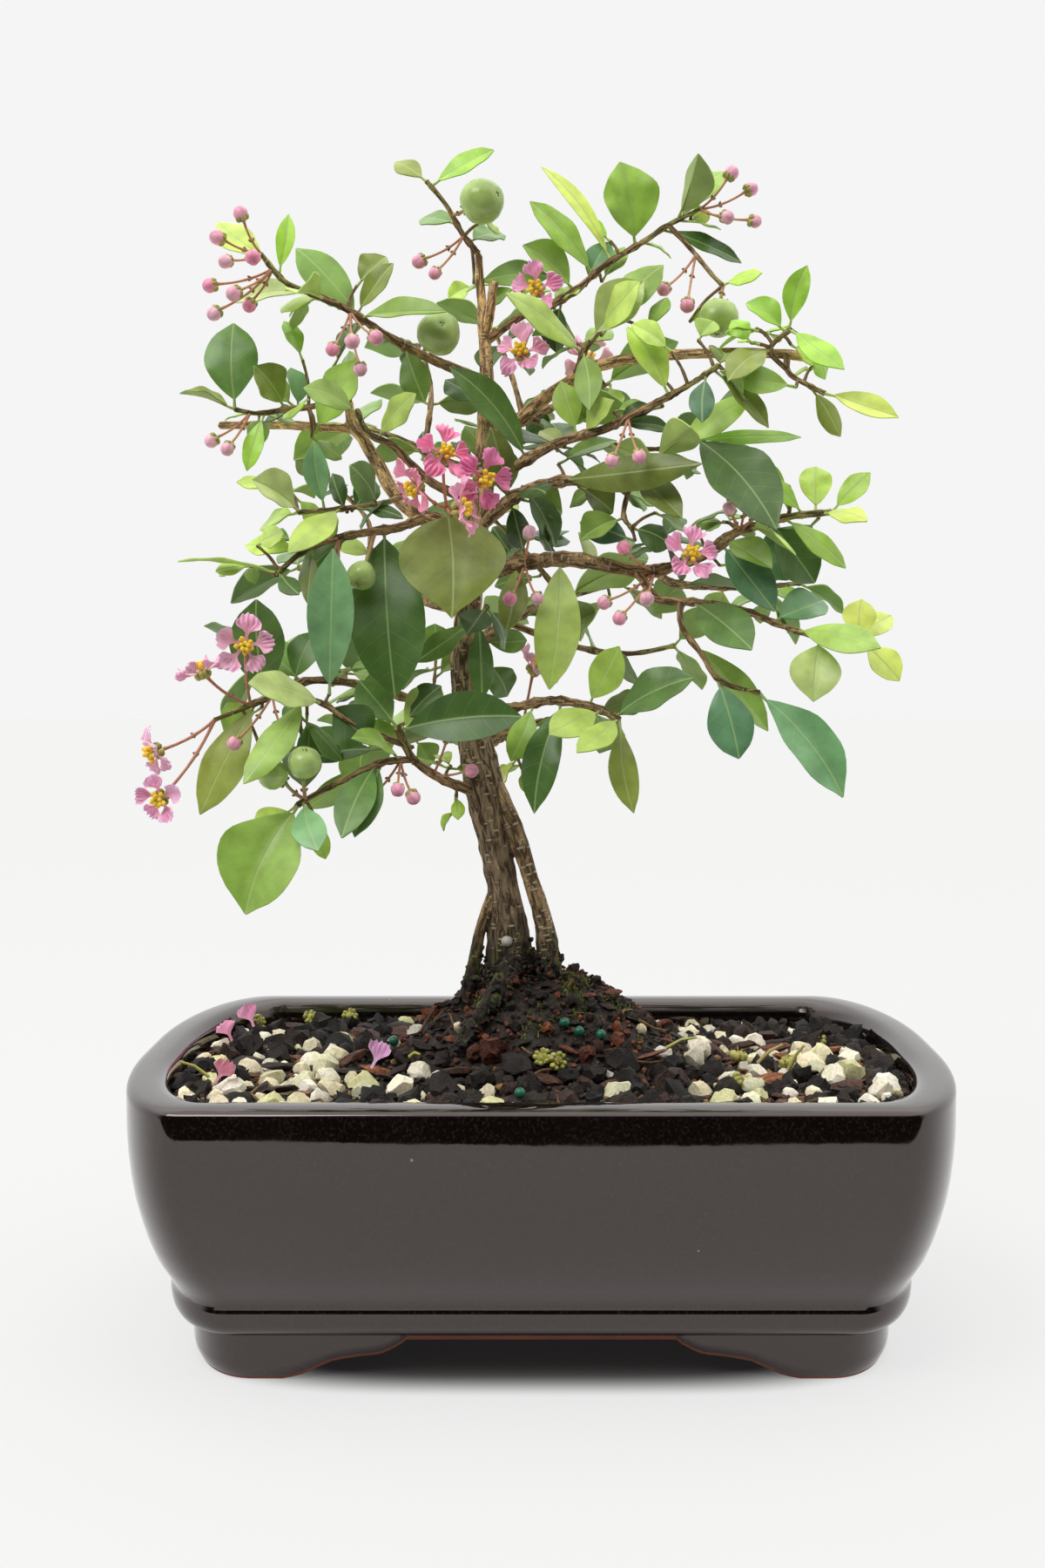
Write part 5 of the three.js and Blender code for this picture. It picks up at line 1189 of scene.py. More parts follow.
def broken_stone(rng, subdivisions, cuts, depth, rough=0.08):
    """A unit stone: a ball with flats broken off it, as points and faces."""
    bpy.ops.object.select_all(action="DESELECT")
    bpy.ops.mesh.primitive_ico_sphere_add(subdivisions=subdivisions, radius=1, location=(0, 0, 0))
    ball = bpy.context.object
    bpy.ops.object.mode_set(mode="EDIT")
    for _ in range(cuts):
        normal = unit(rng.normal(size=3))
        bpy.ops.mesh.select_all(action="SELECT")
        bpy.ops.mesh.bisect(plane_co=tuple(normal * rng.uniform(depth, 0.93)), plane_no=tuple(normal),
                            use_fill=True, clear_outer=True)
    bpy.ops.object.mode_set(mode="OBJECT")
    points = np.array([v.co[:] for v in ball.data.vertices])
    faces = [tuple(p.vertices) for p in ball.data.polygons]
    bpy.data.objects.remove(ball)
    points = points * (1 + rough * rng.normal(size=(len(points), 1)))
    return points, faces


def turned_about(rng):
    """A random turn as a 3 by 3 matrix."""
    a = unit(rng.normal(size=3))
    b = square_to(rng.normal(size=3), a)
    return np.stack([a, b, np.cross(a, b)])


def inside_pot(x, y, room):
    half_width = POT_HALF_WIDTH - INNER_WALL_INSET - room
    half_depth = POT_HALF_DEPTH - INNER_WALL_INSET * DEPTH_TAPER - room
    dx = max(abs(x) - half_width * (1 - CORNER_WIDTH_SHARE), 0) / (half_width * CORNER_WIDTH_SHARE)
    dy = max(abs(y) - half_depth * (1 - CORNER_DEPTH_SHARE), 0) / (half_depth * CORNER_DEPTH_SHARE)
    return dx * dx + dy * dy < 1 and abs(y) < half_depth


# Kinds of grain, each with its finish, its colours and how it tints them
GRAINS = {
    "pumice": (PUMICE, "fbf8ea f6f0d4 fdfcf6 efebcc dfe0b4 faf2dc fdf9ee e4e6cc", (1, 0.97, 0.9)),
    "lava": (LAVA, "1b1614 2c221e 3a2b25 15110f 473229 2a211d", (0.95, 0.88, 0.74)),
    "bark_chips": (CHIP, "5c3626 8a5238 432a20 a8693f 4e2f23 33211a 6b3f2b", (0.95, 0.88, 0.74)),
    "crumbs": (HUMUS, "201813 33251c 171210 4a3226 7c5236 b08a60 3c3628 26241a", (0.95, 0.88, 0.74)),
}
MOUND_COLOURS = "8a4a30 a35c38 6b3826 4a2a1e 2c1d17 1c1512 3a281d 221a14"
# Sizes of grain in turn: least and greatest radius, tries, how near together they may lie, and how
# sparse they are on the mound
GRAIN_SIZES = [(3.3, 4.4, 1400, 0.86, 2.2), (2.1, 3.2, 4000, 0.8, 2.2), (1.1, 2.0, 8000, 0.78, 0.75),
               (0.5, 1.0, 16000, 0.7, 0)]
CRUMB_RADIUS = 1.5
CELL = 8
# grains at the front lie no higher than this, so that they stay inside the lip
FRONT_ROW = -44
FRONT_TOP = 67.2


def pumice_share(x, y):
    """How much of the gravel is pumice: most at the left front and over the right."""
    left = math.exp(-(((x + 62) / 24) ** 2 + ((y + 30) / 34) ** 2))
    right = math.exp(-(((x - 62) / 30) ** 2 + ((y + 12) / 44) ** 2))
    return 0.16 + 0.5 * max(left, right)


def pick_colour(rng, codes):
    """A colour drawn from a row of hex codes."""
    codes = codes.split()
    return rgb("#" + codes[rng.integers(len(codes))])


def lying_flat(rng):
    """How a chip lies: its stretch, and its turn about the upright with a little tilt."""
    stretch = vec(rng.uniform(1.1, 1.7), rng.uniform(0.5, 0.8), rng.uniform(0.18, 0.35))
    lie = rng.uniform(0, 2 * math.pi)
    tilt = unit(vec(math.cos(lie), math.sin(lie), rng.uniform(-0.35, 0.35)))
    side = square_to(vec(-math.sin(lie), math.cos(lie), rng.uniform(-0.5, 0.5)), tilt)
    return stretch, np.stack([tilt, side, np.cross(tilt, side)])


def gravel():
    """Pumice, lava and bark, largest first, then crumbs in the gaps, spread by a seeded rule."""
    rng = np.random.default_rng(7)
    stones = [broken_stone(rng, 2, 7, 0.55, 0.06) for _ in range(8)]
    cinders = [broken_stone(rng, 2, 3, 0.7, 0.17) for _ in range(8)]
    crumbs = [broken_stone(rng, 1, 3, 0.5) for _ in range(6)]
    heaps = {name: Heap() for name in GRAINS}
    taken = {}

    def is_free(x, y, radius, overlap):
        i, j = int(x // CELL), int(y // CELL)
        for cell in [(i + a, j + b) for a in (-1, 0, 1) for b in (-1, 0, 1)]:
            for u, v, r in taken.get(cell, []):
                if (x - u) ** 2 + (y - v) ** 2 < ((radius + r) * overlap) ** 2:
                    return False
        taken.setdefault((i, j), []).append((x, y, radius))
        return True

    for low, high, tries, overlap, sparse in GRAIN_SIZES:
        for _ in range(tries):
            x, y = rng.uniform(-92, 92), rng.uniform(-62, 62)
            radius = rng.uniform(low, high)
            mound = mound_share(x, y)
            if not inside_pot(x, y, radius * 0.8) or (sparse and rng.random() < sparse * mound):
                continue
            if not is_free(x, y, radius, overlap):
                continue
            pick = rng.random()
            if radius < CRUMB_RADIUS:
                name = "crumbs" if pick > 0.3 + 0.25 * mound else "bark_chips"
            elif pick < pumice_share(x, y) * (1 - mound):
                name = "pumice"
            else:
                name = "bark_chips" if pick > 0.74 - 0.2 * mound else "lava"
            shapes = crumbs if radius < CRUMB_RADIUS else cinders if name == "lava" else stones
            points, faces = shapes[rng.integers(len(shapes))]
            turn = turned_about(rng)
            stretch = vec(1, rng.uniform(0.75, 1), rng.uniform(0.65, 0.9))
            if name == "bark_chips":
                stretch, turn = lying_flat(rng)
            shade = pick_colour(rng, GRAINS[name][1]) * rng.uniform(0.8, 1.15)
            if mound > 0.25 and name != "pumice":
                shade = pick_colour(rng, MOUND_COLOURS)
            shade = shade * vec(*GRAINS[name][2]) * (1 - 0.35 * mound)
            height = soil_height(x, y) + radius * rng.uniform(0.0, 0.5 + 0.4 * mound)
            if y < FRONT_ROW:
                height = min(height, FRONT_TOP - radius * 0.8)
            heaps[name].add((points * stretch * radius @ turn + vec(x, y, height), faces),
                            tint=(*shade, 1))
    for name, heap in heaps.items():
        heap.piece(name, [GRAINS[name][0]], "substrate", [], 35)


soil_bed()
gravel()


# Wood

BARK_VOXEL = 0.5
TWIG_COLOUR = "#a5885f"
# how much the bark's colour is scaled with height: darker low down, lighter up the tree
WOOD_HEIGHT_SCALE = [(60, 0.6), (88, 0.66), (108, 1.1), (150, 1.4), (175, 1.9), (235, 2.1)]
BARK_COLOUR = "#8a765c"
MOSS_COLOUR = "#5a6226"


def wood_flow(points):
    """For each point of the wood: its place round and along the nearest limb, and that limb's
    radius there."""
    samples, frames = [], []
    for route in limb_routes.values():
        count = 14 * (len(route) - 1)
        aside = square_to(vec(0.3, -1, 0.2), heading(route, 0))
        length, before = 0.0, along(route, 0)[:3]
        for k in range(count + 1):
            row = along(route, k / count)
            axis = heading(route, k / count)
            aside = square_to(aside, axis)
            length += size(row[:3] - before)
            before = row[:3]
            samples.append(row)
            frames.append((axis, aside, np.cross(axis, aside), length))
    samples = np.array(samples)
    flow, radii = np.empty((len(points), 3)), np.empty(len(points))
    for start in range(0, len(points), 4000):
        chunk = points[start:start + 4000]
        gaps = np.sqrt(((chunk[:, None] - samples[None, :, :3]) ** 2).sum(axis=2)) - samples[None, :, 3]
        for i, k in enumerate(gaps.argmin(axis=1)):
            axis, aside, other, length = frames[k]
            apart = chunk[i] - samples[k, :3]
            flow[start + i] = (apart @ aside, apart @ other, length + apart @ axis)
            radii[start + i] = samples[k, 3]
    return flow, radii


def make_trunk():
    """The whole wood in one skin, with fissures and knots raised from its surface."""
    heap = Heap()
    for route in limb_routes.values():
        steps = 5 * (len(route) - 1)
        rows = [along(route, k / steps) for k in range(steps + 1)]
        skin, _ = tube([r[:3] for r in rows], [r[3] * 0.97 for r in rows], 16)
        heap.add(skin)
    obj = linked("trunk_wood", new_mesh("trunk_wood", np.concatenate(heap.points), heap.faces))
    select_only(obj)
    for kind, settings in (("REMESH", {"mode": "VOXEL", "voxel_size": BARK_VOXEL * MM}),
                           ("SMOOTH", {"factor": 0.5, "iterations": 3})):
        modifier = obj.modifiers.new(kind, kind)
        for key, value in settings.items():
            setattr(modifier, key, value)
        bpy.ops.object.modifier_apply(modifier=kind)
    mesh = obj.data
    count = len(mesh.vertices)
    points = np.empty(count * 3)
    mesh.vertices.foreach_get("co", points)
    points = points.reshape(-1, 3) / MM
    normals = np.empty(count * 3)
    mesh.vertices.foreach_get("normal", normals)
    normals = normals.reshape(-1, 3)
    flow, radii = wood_flow(points)
    relief = np.empty(count)
    for i, (x, y, z) in enumerate(flow):
        ridge = noise.noise(Vector((x / 1.3, y / 1.3, z / 6)))
        ridge += 0.6 * noise.noise(Vector((x / 0.7, y / 0.7, z / 2.6)))
        knot = max(noise.noise(Vector((x / 4, y / 4, z / 5))) - 0.1, 0)
        relief[i] = (0.1 * ridge + 0.18 * knot) * min(radii[i], 4.2)
    points = points + normals * relief[:, None]
    mesh.vertices.foreach_set("co", (points * MM).ravel())
    # old wood is grey-brown with corky dashes, thin wood browner, the root mound dark and damp
    old = np.clip((radii - 1.5) / 2.5, 0, 1)[:, None]
    damp = np.clip((103 - points[:, 2]) / 15, 0, 1)[:, None]
    colour = rgb(BARK_COLOUR) * old + rgb(TWIG_COLOUR) * (1 - old)
    colour = colour * (1 - 0.86 * damp)
    colour = colour * np.interp(points[:, 2:], *zip(*WOOD_HEIGHT_SCALE))
    mossy = np.array([noise.noise(Vector((x / 3, y / 3, z / 5))) for x, y, z in points])[:, None]
    mossy = np.clip(mossy * 2.6 - 0.2, 0, 1) * np.clip((104 - points[:, 2:]) / 12, 0, 1) * 0.7
    colour = colour * (1 - mossy) + rgb(MOSS_COLOUR) * mossy
    dashes = np.clip(1.15 - 1.1 * damp[:, 0], 0, 1) * np.clip(radii / 2.2, 0.5, 1)
    carry(mesh, flow, np.column_stack([colour, dashes]))
    bpy.data.objects.remove(obj)
    finish_piece("trunk_wood", mesh, [BARK], ["trunk"], 180)


make_trunk()


# Leafy branches

LEAF_COLOURS = {
    "lime": ["#b7dc55", "#c6e665", "#a3cf4e"],
    "bright": ["#accb5a", "#b9d265", "#9cbf51"],
    "mid": ["#8baa4c", "#97b557", "#7b9e46"],
    "dark": ["#557438", "#608240", "#4b6932"],
    # the bluish tone is partly the leaves' own blue-green, partly a painted grey sheen of glossy leaves
    "bluish_sheen": ["#6b9765", "#7da973", "#5d865f"],
    "deep": ["#63863e", "#6f9245", "#587a38"],
    "olive": ["#808e3e", "#8c9a46", "#76853a"],
    "pale": ["#b8c67e", "#c3cf8a", "#acbc73"],
}
# where the crown's middle shows, round which the leaves' painted shade and light are laid: across and height
CROWN_CENTRE = (-5, 205)
CROWN_REACH = (95, 85)
# More leaves, each by where its stalk and its tip show: across, height, across, height, width,
# how far behind its branch, and tone
MORE_LEAVES = [
    (-57.5, 226, -47.2, 244.5, 13.8, -6, "bright"), (-62.9, 232.7, -71.1, 239.4, 7.6, 2, "pale"),
    (-61.7, 231.8, -63.3, 242.7, 6.7, 3, "bluish_sheen"), (-52.8, 242.7, -44.6, 254.5, 7.6, 6, "dark"),
    (-60.6, 244.3, -65.1, 254.5, 4.9, 3, "lime"), (-46.8, 262.8, -39.4, 270.6, 8, 4, "olive"),
    (-17.1, 263.5, 2.3, 265.9, 7.6, 4, "mid"), (-24.5, 259, -18.2, 262.8, 5.4, -3, "bright"),
    (-14.9, 232.7, -24.5, 239.4, 8.9, 6, "dark"), (-58.4, 224.8, -50.6, 219.7, 6.7, 2, "mid"),
    (-49.5, 205.9, -53.5, 215.9, 5.8, 3, "dark"), (-48.3, 206.3, -43.2, 215.3, 6.7, 5, "dark"),
    (-46.8, 207, -35.2, 204.5, 5.8, -4, "dark"), (-48.3, 209.9, -41, 212.6, 4.5, 4, "bright"),
    (-61.3, 196.7, -53.5, 206.8, 8.9, 4, "mid"), (-72.7, 197.6, -66, 201, 6.7, -3, "bright"),
    (-13.8, 217, -19.3, 228.2, 8, 6, "mid"), (-17.1, 217, -22.7, 224.2, 5.8, 8, "dark"),
    (-28.9, 218.2, -30.3, 226.6, 4.5, 6, "dark"), (-4.8, 212.6, 4.1, 197.4, 10.3, 4, "dark"),
    (-8.2, 209.2, -4.4, 196.5, 7.6, 8, "dark"), (-4.8, 209.2, 5.4, 205.9, 8.9, 10, "mid"),
    (11.2, 262.8, 17.5, 274.2, 6.7, 3, "bluish_sheen"), (15.3, 263.9, 21.1, 272.8, 5.8, 6, "mid"),
    (12.4, 249.4, 25.8, 264.4, 11.2, -4, "pale"), (15.3, 250.5, 30.9, 267.9, 9.8, 5, "mid"),
    (26.9, 251.6, 31.8, 260.3, 5.8, 4, "mid"), (32.9, 246.5, 22.9, 253.4, 7.6, -3, "lime"),
    (30.9, 239.4, 28.2, 246.5, 5.8, 3, "lime"), (15.3, 239.4, 7.5, 232.7, 8, -3, "lime"),
    (17.5, 238.2, 18.4, 230.9, 6.7, -5, "bright"), (11.9, 238.9, 13, 230.9, 8, -2, "bright"),
    (37.6, 253.9, 42.5, 256.8, 3.6, 2, "lime"), (39.8, 249.4, 43.8, 254.1, 6.7, 3, "bright"),
    (53.2, 248.7, 48.3, 254.5, 5.4, 3, "lime"), (55.4, 248.3, 49.9, 249.2, 4.9, -4, "lime"),
    (52.1, 234.4, 45.6, 242, 5.8, -2, "bright"), (64.8, 237.6, 47.9, 239.8, 8, -5, "bright"),
    (68.8, 247.8, 72, 239.4, 5.4, 3, "lime"), (63.3, 248.3, 70.2, 243.4, 4.9, 5, "lime"),
    (18.4, 231.3, 26.4, 233.6, 4, 4, "mid"), (4.3, 218.2, 19.3, 224.2, 7.6, 5, "mid"),
    (5.9, 222.4, -0.4, 226.4, 5.8, 8, "pale"), (4.1, 226, -3.9, 230.9, 7.6, 8, "dark"),
    (5.9, 226.4, 13, 230.4, 4.5, 4, "bright"), (9.5, 212.6, 18.4, 205.9, 9.4, 7, "olive"),
    (24, 198.7, 9.7, 203.6, 7.1, 4, "bluish_sheen"), (-54.4, 159.7, -53.3, 196.9, 10.7, -7, "bluish_sheen"),
    (-35.2, 152.1, -25.6, 161.7, 8, 5, "dark"), (-15.3, 172.8, -3.5, 173.5, 6.2, 5, "mid"),
    (-13.8, 167.9, -8.4, 159, 8.9, 7, "dark"), (-71.8, 156.3, -81.4, 149, 8.9, 5, "mid"),
    (-62.9, 155.7, -67.8, 142.9, 9.8, 8, "dark"), (-60.2, 154.5, -61.5, 141.6, 8.9, 10, "dark"),
    (-55.3, 157.7, -43.9, 148.3, 11.6, 5, "dark"), (-32.9, 146.1, -47.7, 151.4, 6.7, 3, "mid"),
    (-41.2, 145.6, -59.3, 142.5, 5.4, 7, "dark"), (-32.5, 148.3, -28.5, 141.1, 8.5, 5, "mid"),
    (-63.3, 130.7, -74, 122.8, 8, 5, "bright"), (-58.8, 128.9, -55.7, 117, 4.5, 5, "lime"),
    (-71.8, 142.9, -81.6, 137.6, 7.6, 7, "dark"), (-42.8, 194.7, -52.1, 198.7, 5.4, 4, "bright"),
    (-52.1, 199.8, -55.7, 205.9, 5.4, 6, "bright"), (-0.4, 189.8, -12, 187.6, 5.8, -4, "mid"),
    (17.5, 184.7, 9.5, 173.3, 8, 5, "pale"), (-0.4, 185.8, -6.2, 178.2, 5.8, 3, "bright"),
    (15.3, 188.5, 9.5, 201, 6.2, -3, "pale"), (29.1, 205.9, 37.1, 201.4, 4.9, 3, "bright"),
    (38.7, 202.3, 48.7, 207.2, 6.7, 6, "mid"), (70.8, 204.5, 55.7, 190, 13.8, 6, "bluish_sheen"),
    (45.6, 192.5, 58.6, 192.9, 4.9, 5, "bright"), (-14.6, 279.1, -10.4, 276, 3.1, 2, "bright"),
    (17.5, 274, 10.4, 279.1, 4, 5, "lime"), (25.3, 274, 33.1, 270.2, 4.9, 4, "bright"),
    (37.6, 279.1, 42.5, 281.3, 4.9, 4, "bright"), (4.1, 194.7, -0.4, 203.6, 6.7, 9, "dark"),
    (-7.1, 194.7, -12.4, 202.3, 8, 9, "dark"), (63.3, 212.6, 55.4, 217, 4.5, 6, "bright"),
    (30.9, 232.7, 20.2, 229.1, 5.4, 6, "dark"), (57.7, 212.6, 63.3, 207, 5.8, 4, "mid"),
]
# Short leafy shoots: across, height, how far behind their branch, leaves, leaf length and tone
SHOOTS = [
    (-4.8, 140, 8, 6, 11, "lime"), (-23.3, 141.1, 8, 3, 10, "lime"), (-22.2, 130, 6, 2, 7, "lime"),
    (-61.7, 147.8, 12, 4, 13, "dark"), (-13.8, 226, 14, 5, 13, "mid"), (4.1, 221.5, 16, 5, 13, "dark"),
    (-4.8, 199.2, 16, 5, 13, "dark"), (-37.2, 194.7, 12, 4, 13, "mid"), (-50.6, 165.7, 12, 4, 12, "mid"),
    (-65.1, 212.6, 10, 4, 11, "bright"), (54.6, 252.3, 4, 4, 9, "lime"), (68.8, 242.7, 4, 3, 8, "lime"),
    (17.5, 212.6, 12, 5, 12, "mid"), (30.9, 199.2, 12, 5, 12, "dark"), (46.5, 203.6, 10, 4, 11, "mid"),
    (-31.6, 248.3, 10, 4, 11, "dark"), (-7.1, 263.9, 10, 4, 11, "mid"), (-45, 159, 12, 4, 12, "dark"),
    (57.7, 183.6, 10, 4, 11, "mid"), (-27.1, 167.9, 14, 4, 12, "mid"), (-71.8, 230.4, 8, 3, 9, "bright"),
    (-58.4, 259.4, 6, 3, 9, "bright"), (8.6, 248.3, 8, 4, 10, "mid"), (6.3, 237.1, 14, 5, 12, "mid"),
    (-9.3, 248.3, 12, 4, 12, "dark"), (-62.9, 199.2, 10, 3, 11, "mid"), (-76.2, 192.5, 5, 3, 8, "bright"),
    (-49.5, 226, 12, 4, 12, "mid"),
]
SHOOT_WIDE = 0.55
SHOOT_NARROW = 0.38
# Leaves whose colour stands out, by the place of their tips as seen from the front
LEAF_TONES = {
    "lime": [
        (-93, 194), (-76, 198), (-96, 134), (-63, 181), (-64, 281), (-12, 297), (0, 293), (56, 266),
        (22, 253), (91, 230), (77, 242), (66, 264), (52, 259), (68, 225), (58, 215), (84, 216), (82, 204),
        (82, 184), (92, 163), (-76, 217), (70, 218), (90, 180),
    ],
    "bluish_sheen": [
        (-55, 160), (-57, 120), (-91, 133), (-58, 224), (51, 143), (78, 133), (60, 181), (73, 184),
        (41, 229),
    ],
    "dark": [
        (-5, 154), (-40, 118), (-51, 124), (-19, 175), (-10, 158), (59, 200), (54, 171), (39, 164),
        (-2, 129), (-73, 184), (34, 226), (51, 269), (-47, 208), (-9, 168), (34, 196),
    ],
    "deep": [(-38, 159)],
    "olive": [(-23, 179), (40, 219), (24, 129), (-89, 128)],
    "pale": [(-74, 163), (70, 158), (-72, 266), (-74, 214)],
    "bright": [(37, 192), (2, 161), (18, 240), (5, 240), (20, 294), (25, 264), (-3, 284)],
}
RULE_TONES = ["mid", "bright", "mid", "dark", "deep", "bright", "olive"]
NAMED_REACH = 2.5
STEM_STEP = 1.1

LEAF_ROWS = 15
LEAF_COLUMNS = 9
BLADE_THICKNESS = 0.34
PETIOLE_LENGTH = 2.3
# the widest blades are rounder at the base and narrow to a longer point
WIDE_BLADE = 20
WIDE_BLADE_BROADEST = 0.86


def nearest_stem(across, height):
    """The branch whose stems pass nearest to a place as seen from the front, and the row there."""
    best = None
    for name, routes in stems.items():
        for route in routes:
            for k in range(3, 25):
                row = along(route, k / 24)
                spread = 1 - row[1] / EYE[1]
                gap = math.hypot(row[0] / spread - across, (row[2] - EYE[2]) / spread + EYE[2] - height)
                if best is None or gap < best[0]:
                    best = (gap, name, row)
    return best[1], best[2]


side_shoots = []


def add_shoot(name, start, end):
    """A thin side shoot from a stem, with a slight bow."""
    bow = square_to(vec(0.1, 0.3, 1), unit(end - start)) * (0.07 * size(end - start))
    places = [start, start * 0.5 + end * 0.5 + bow, end]
    taper = [SHOOT_WIDE, (SHOOT_WIDE + SHOOT_NARROW) / 2, SHOOT_NARROW]
    route = np.array([[*p, r] for p, r in zip(places, taper)])
    side_shoots.append({"spray": name, "route": route})
    return route


def fill_crown():
    """The leaves and leafy shoots that the CAD branches have no room for."""
    rng = np.random.default_rng(31)
    for root_across, root_height, across, height, width, behind, tone in MORE_LEAVES:
        name, row = nearest_stem(root_across, root_height)
        root = seen((root_across, root_height, row[1] + behind * 0.4))
        if size(root - row[:3]) > 1.5:
            add_shoot(name, row[:3], root)
        leaves.append({
            "spray": name, "root": root, "tip": seen((across, height, row[1] + behind)), "width": width,
            "facing": vec(*TO_VIEWER) + 0.35 * rng.normal(size=3), "turn": rng.uniform(-22, 22), "tone": tone,
        })
    for across, height, behind, count, length, tone in SHOOTS:
        name, row = nearest_stem(across, height)
        end = seen((across, height, row[1] + behind))
        if size(end - row[:3]) < 4:
            end = end + vec(rng.uniform(-4, 4), 3, 4)
        route = add_shoot(name, row[:3], end)
        for k in range(count):
            share = 1 if k == 0 else 1 - 0.5 * ((k + 1) // 2) / ((count + 1) // 2)
            axis = heading(route, share)
            level = square_to(vec(0, 0, 1) + 0.2 * rng.normal(size=3), axis)
            sideways = np.cross(axis, level) * (1 if k % 2 else -1)
            spread = 0.3 if k == 0 else 1.0
            way = unit(axis * 0.7 + sideways * spread + 0.3 * rng.normal(size=3) + vec(*LEAF_DROOP))
            reach = length * rng.uniform(0.8, 1.25)
            place = along(route, share)[:3]
            leaves.append({
                "spray": name, "root": place, "tip": place + way * reach,
                "width": reach * rng.uniform(0.48, 0.62),
                "facing": unit(vec(*FACE_UP) + vec(*TO_VIEWER) * rng.uniform(0.2, 1.4)),
                "turn": rng.uniform(-25, 25), "tone": tone,
            })


def tone_of(leaf, rng):
    if "tone" in leaf:
        return leaf["tone"]
    across, height = leaf.get("sight", (None, None))
    for tone, places in LEAF_TONES.items():
        if across is not None and any(math.hypot(across - u, height - v) < NAMED_REACH for u, v in places):
            return tone
    return RULE_TONES[rng.integers(len(RULE_TONES))]


def blade_grid(leaf, rng):
    """A leaf's middle surface as a grid of points, its flow, and the way it faces."""
    length, axis, up, side = leaf_frame(leaf)
    bare = min(0.16, PETIOLE_LENGTH / length)
    s = np.linspace(0.004, 0.994, LEAF_ROWS)[:, None]
    c = np.linspace(-1, 1, LEAF_COLUMNS)[None, :]
    t = bare + (1 - bare) * s
    fullness = rng.uniform(0.68, 0.86)
    broadest = LEAF_BROADEST
    if leaf["width"] > WIDE_BLADE:
        broadest, fullness = WIDE_BLADE_BROADEST, fullness - 0.12 + 0.5 * s
    half = leaf["width"] / 2 * 1.04 * np.sin(math.pi * s**broadest) ** fullness
    half = half * (1 - 0.45 * np.clip((s - 0.84) / 0.16, 0, 1) ** 1.5)
    waves, phase = rng.uniform(1.6, 2.6), rng.uniform(0, 6.28)
    fold = rng.uniform(0.3, 0.6) if rng.random() < 0.25 else rng.uniform(-0.05, 0.25)
    cup = rng.uniform(-0.1, 0.2)
    wave = rng.uniform(0.03, 0.11)
    droop = rng.uniform(-0.02, 0.07)
    bow = rng.uniform(-0.05, 0.05)
    lift = LEAF_ARCH * length * 4 * t * (1 - t) - droop * length * s**3
    lift = lift + half * (fold * np.abs(c) - cup * c**2)
    lift = lift + half * wave * c**2 * np.sin(2 * math.pi * waves * s + phase + 1.7 * np.sign(c))
    aside = half * c + bow * length * 4 * s * (1 - s)
    grid = (leaf["root"] + axis * (length * t)[..., None] + side * aside[..., None] + up * lift[..., None])
    flow = np.stack(np.broadcast_arrays(half * c, s * length, half), axis=2)
    return grid, flow, up


def add_leaf(heap, leaf, rng):
    grid, flow, up = blade_grid(leaf, rng)
    colours = LEAF_COLOURS[tone_of(leaf, rng)]
    green = rgb(colours[rng.integers(len(colours))]) * rng.uniform(0.88, 1.12)
    # painted shade and light: leaves are painted darker in the crown's middle and brighter towards its
    # outside
    outward = math.hypot((leaf["tip"][0] - CROWN_CENTRE[0]) / CROWN_REACH[0],
                         (leaf["tip"][2] - CROWN_CENTRE[1]) / CROWN_REACH[1])
    green = np.clip(green * np.interp(outward, (0.15, 0.5, 0.95), (0.8, 1.0, 1.3)), 0, 0.9)
    count = LEAF_ROWS * LEAF_COLUMNS
    tint = np.ones((2 * count, 4))
    tint[:, :3] = green
    tint[count:, 3] = 0
    flat = flow.reshape(-1, 3)
    heap.add(sheet(grid, BLADE_THICKNESS, up), 1, np.concatenate([flat, flat]), tint)

    # the petiole runs on under the blade as its midrib
    middle = grid[:, LEAF_COLUMNS // 2]
    wide = 0.3 + 0.009 * leaf["width"]
    ribs = [wide * (0.85 - 0.75 * k / 5) for k in range(6)]
    below = [up * max(rib - 0.1, 0.03) for rib in ribs]
    stalk = [leaf["root"], leaf["root"] * 0.45 + middle[0] * 0.55 - up * 0.15, *(middle[0:12:2] - below)]
    radii = [wide * 1.25, wide] + ribs
    skin, rib_flow = tube(stalk, radii, 6)
    pale = green * 0.55 + rgb("#b9c878") * 0.45
    heap.add(skin, 2, rib_flow, (*pale, 1))


def twig_colour(share, radius):
    """Brown where a twig is old, green near its tip."""
    young = max(0, min(1, (share - 0.55) / 0.4)) * max(0, min(1, (1.3 - radius) / 0.5))
    return rgb(TWIG_COLOUR) * 1.15 * (1 - young) + rgb("#96944f") * young


def add_stem(heap, route, roots, start, rng):
    """One twig: swollen at its nodes, running back into what carries it."""
    steps = max(8, int(length_of(route) / STEM_STEP))
    rows = [along(route, k / steps) for k in range(steps + 1)]
    places = [row[:3] for row in rows]
    radii = []
    for row in rows:
        near = min((size(row[:3] - root) for root in roots), default=9)
        radii.append(row[3] * (0.88 + 0.3 * math.exp(-((near / 0.9) ** 2)) + 0.06 * rng.normal()))
    if start is not None:
        places = [start, *places]
        radii = [radii[0] * 1.15, *radii]
    skin, flow = tube(places, radii, 9)
    tint = np.ones((len(flow), 4))
    for k in range(len(places)):
        tint[9 * k:9 * k + 9, :3] = twig_colour(k / len(places), radii[k])
    tint[-2:, :3] = tint[-3, :3]
    tint[:, 3] = 0.75
    heap.add(skin, 0, flow, tint)


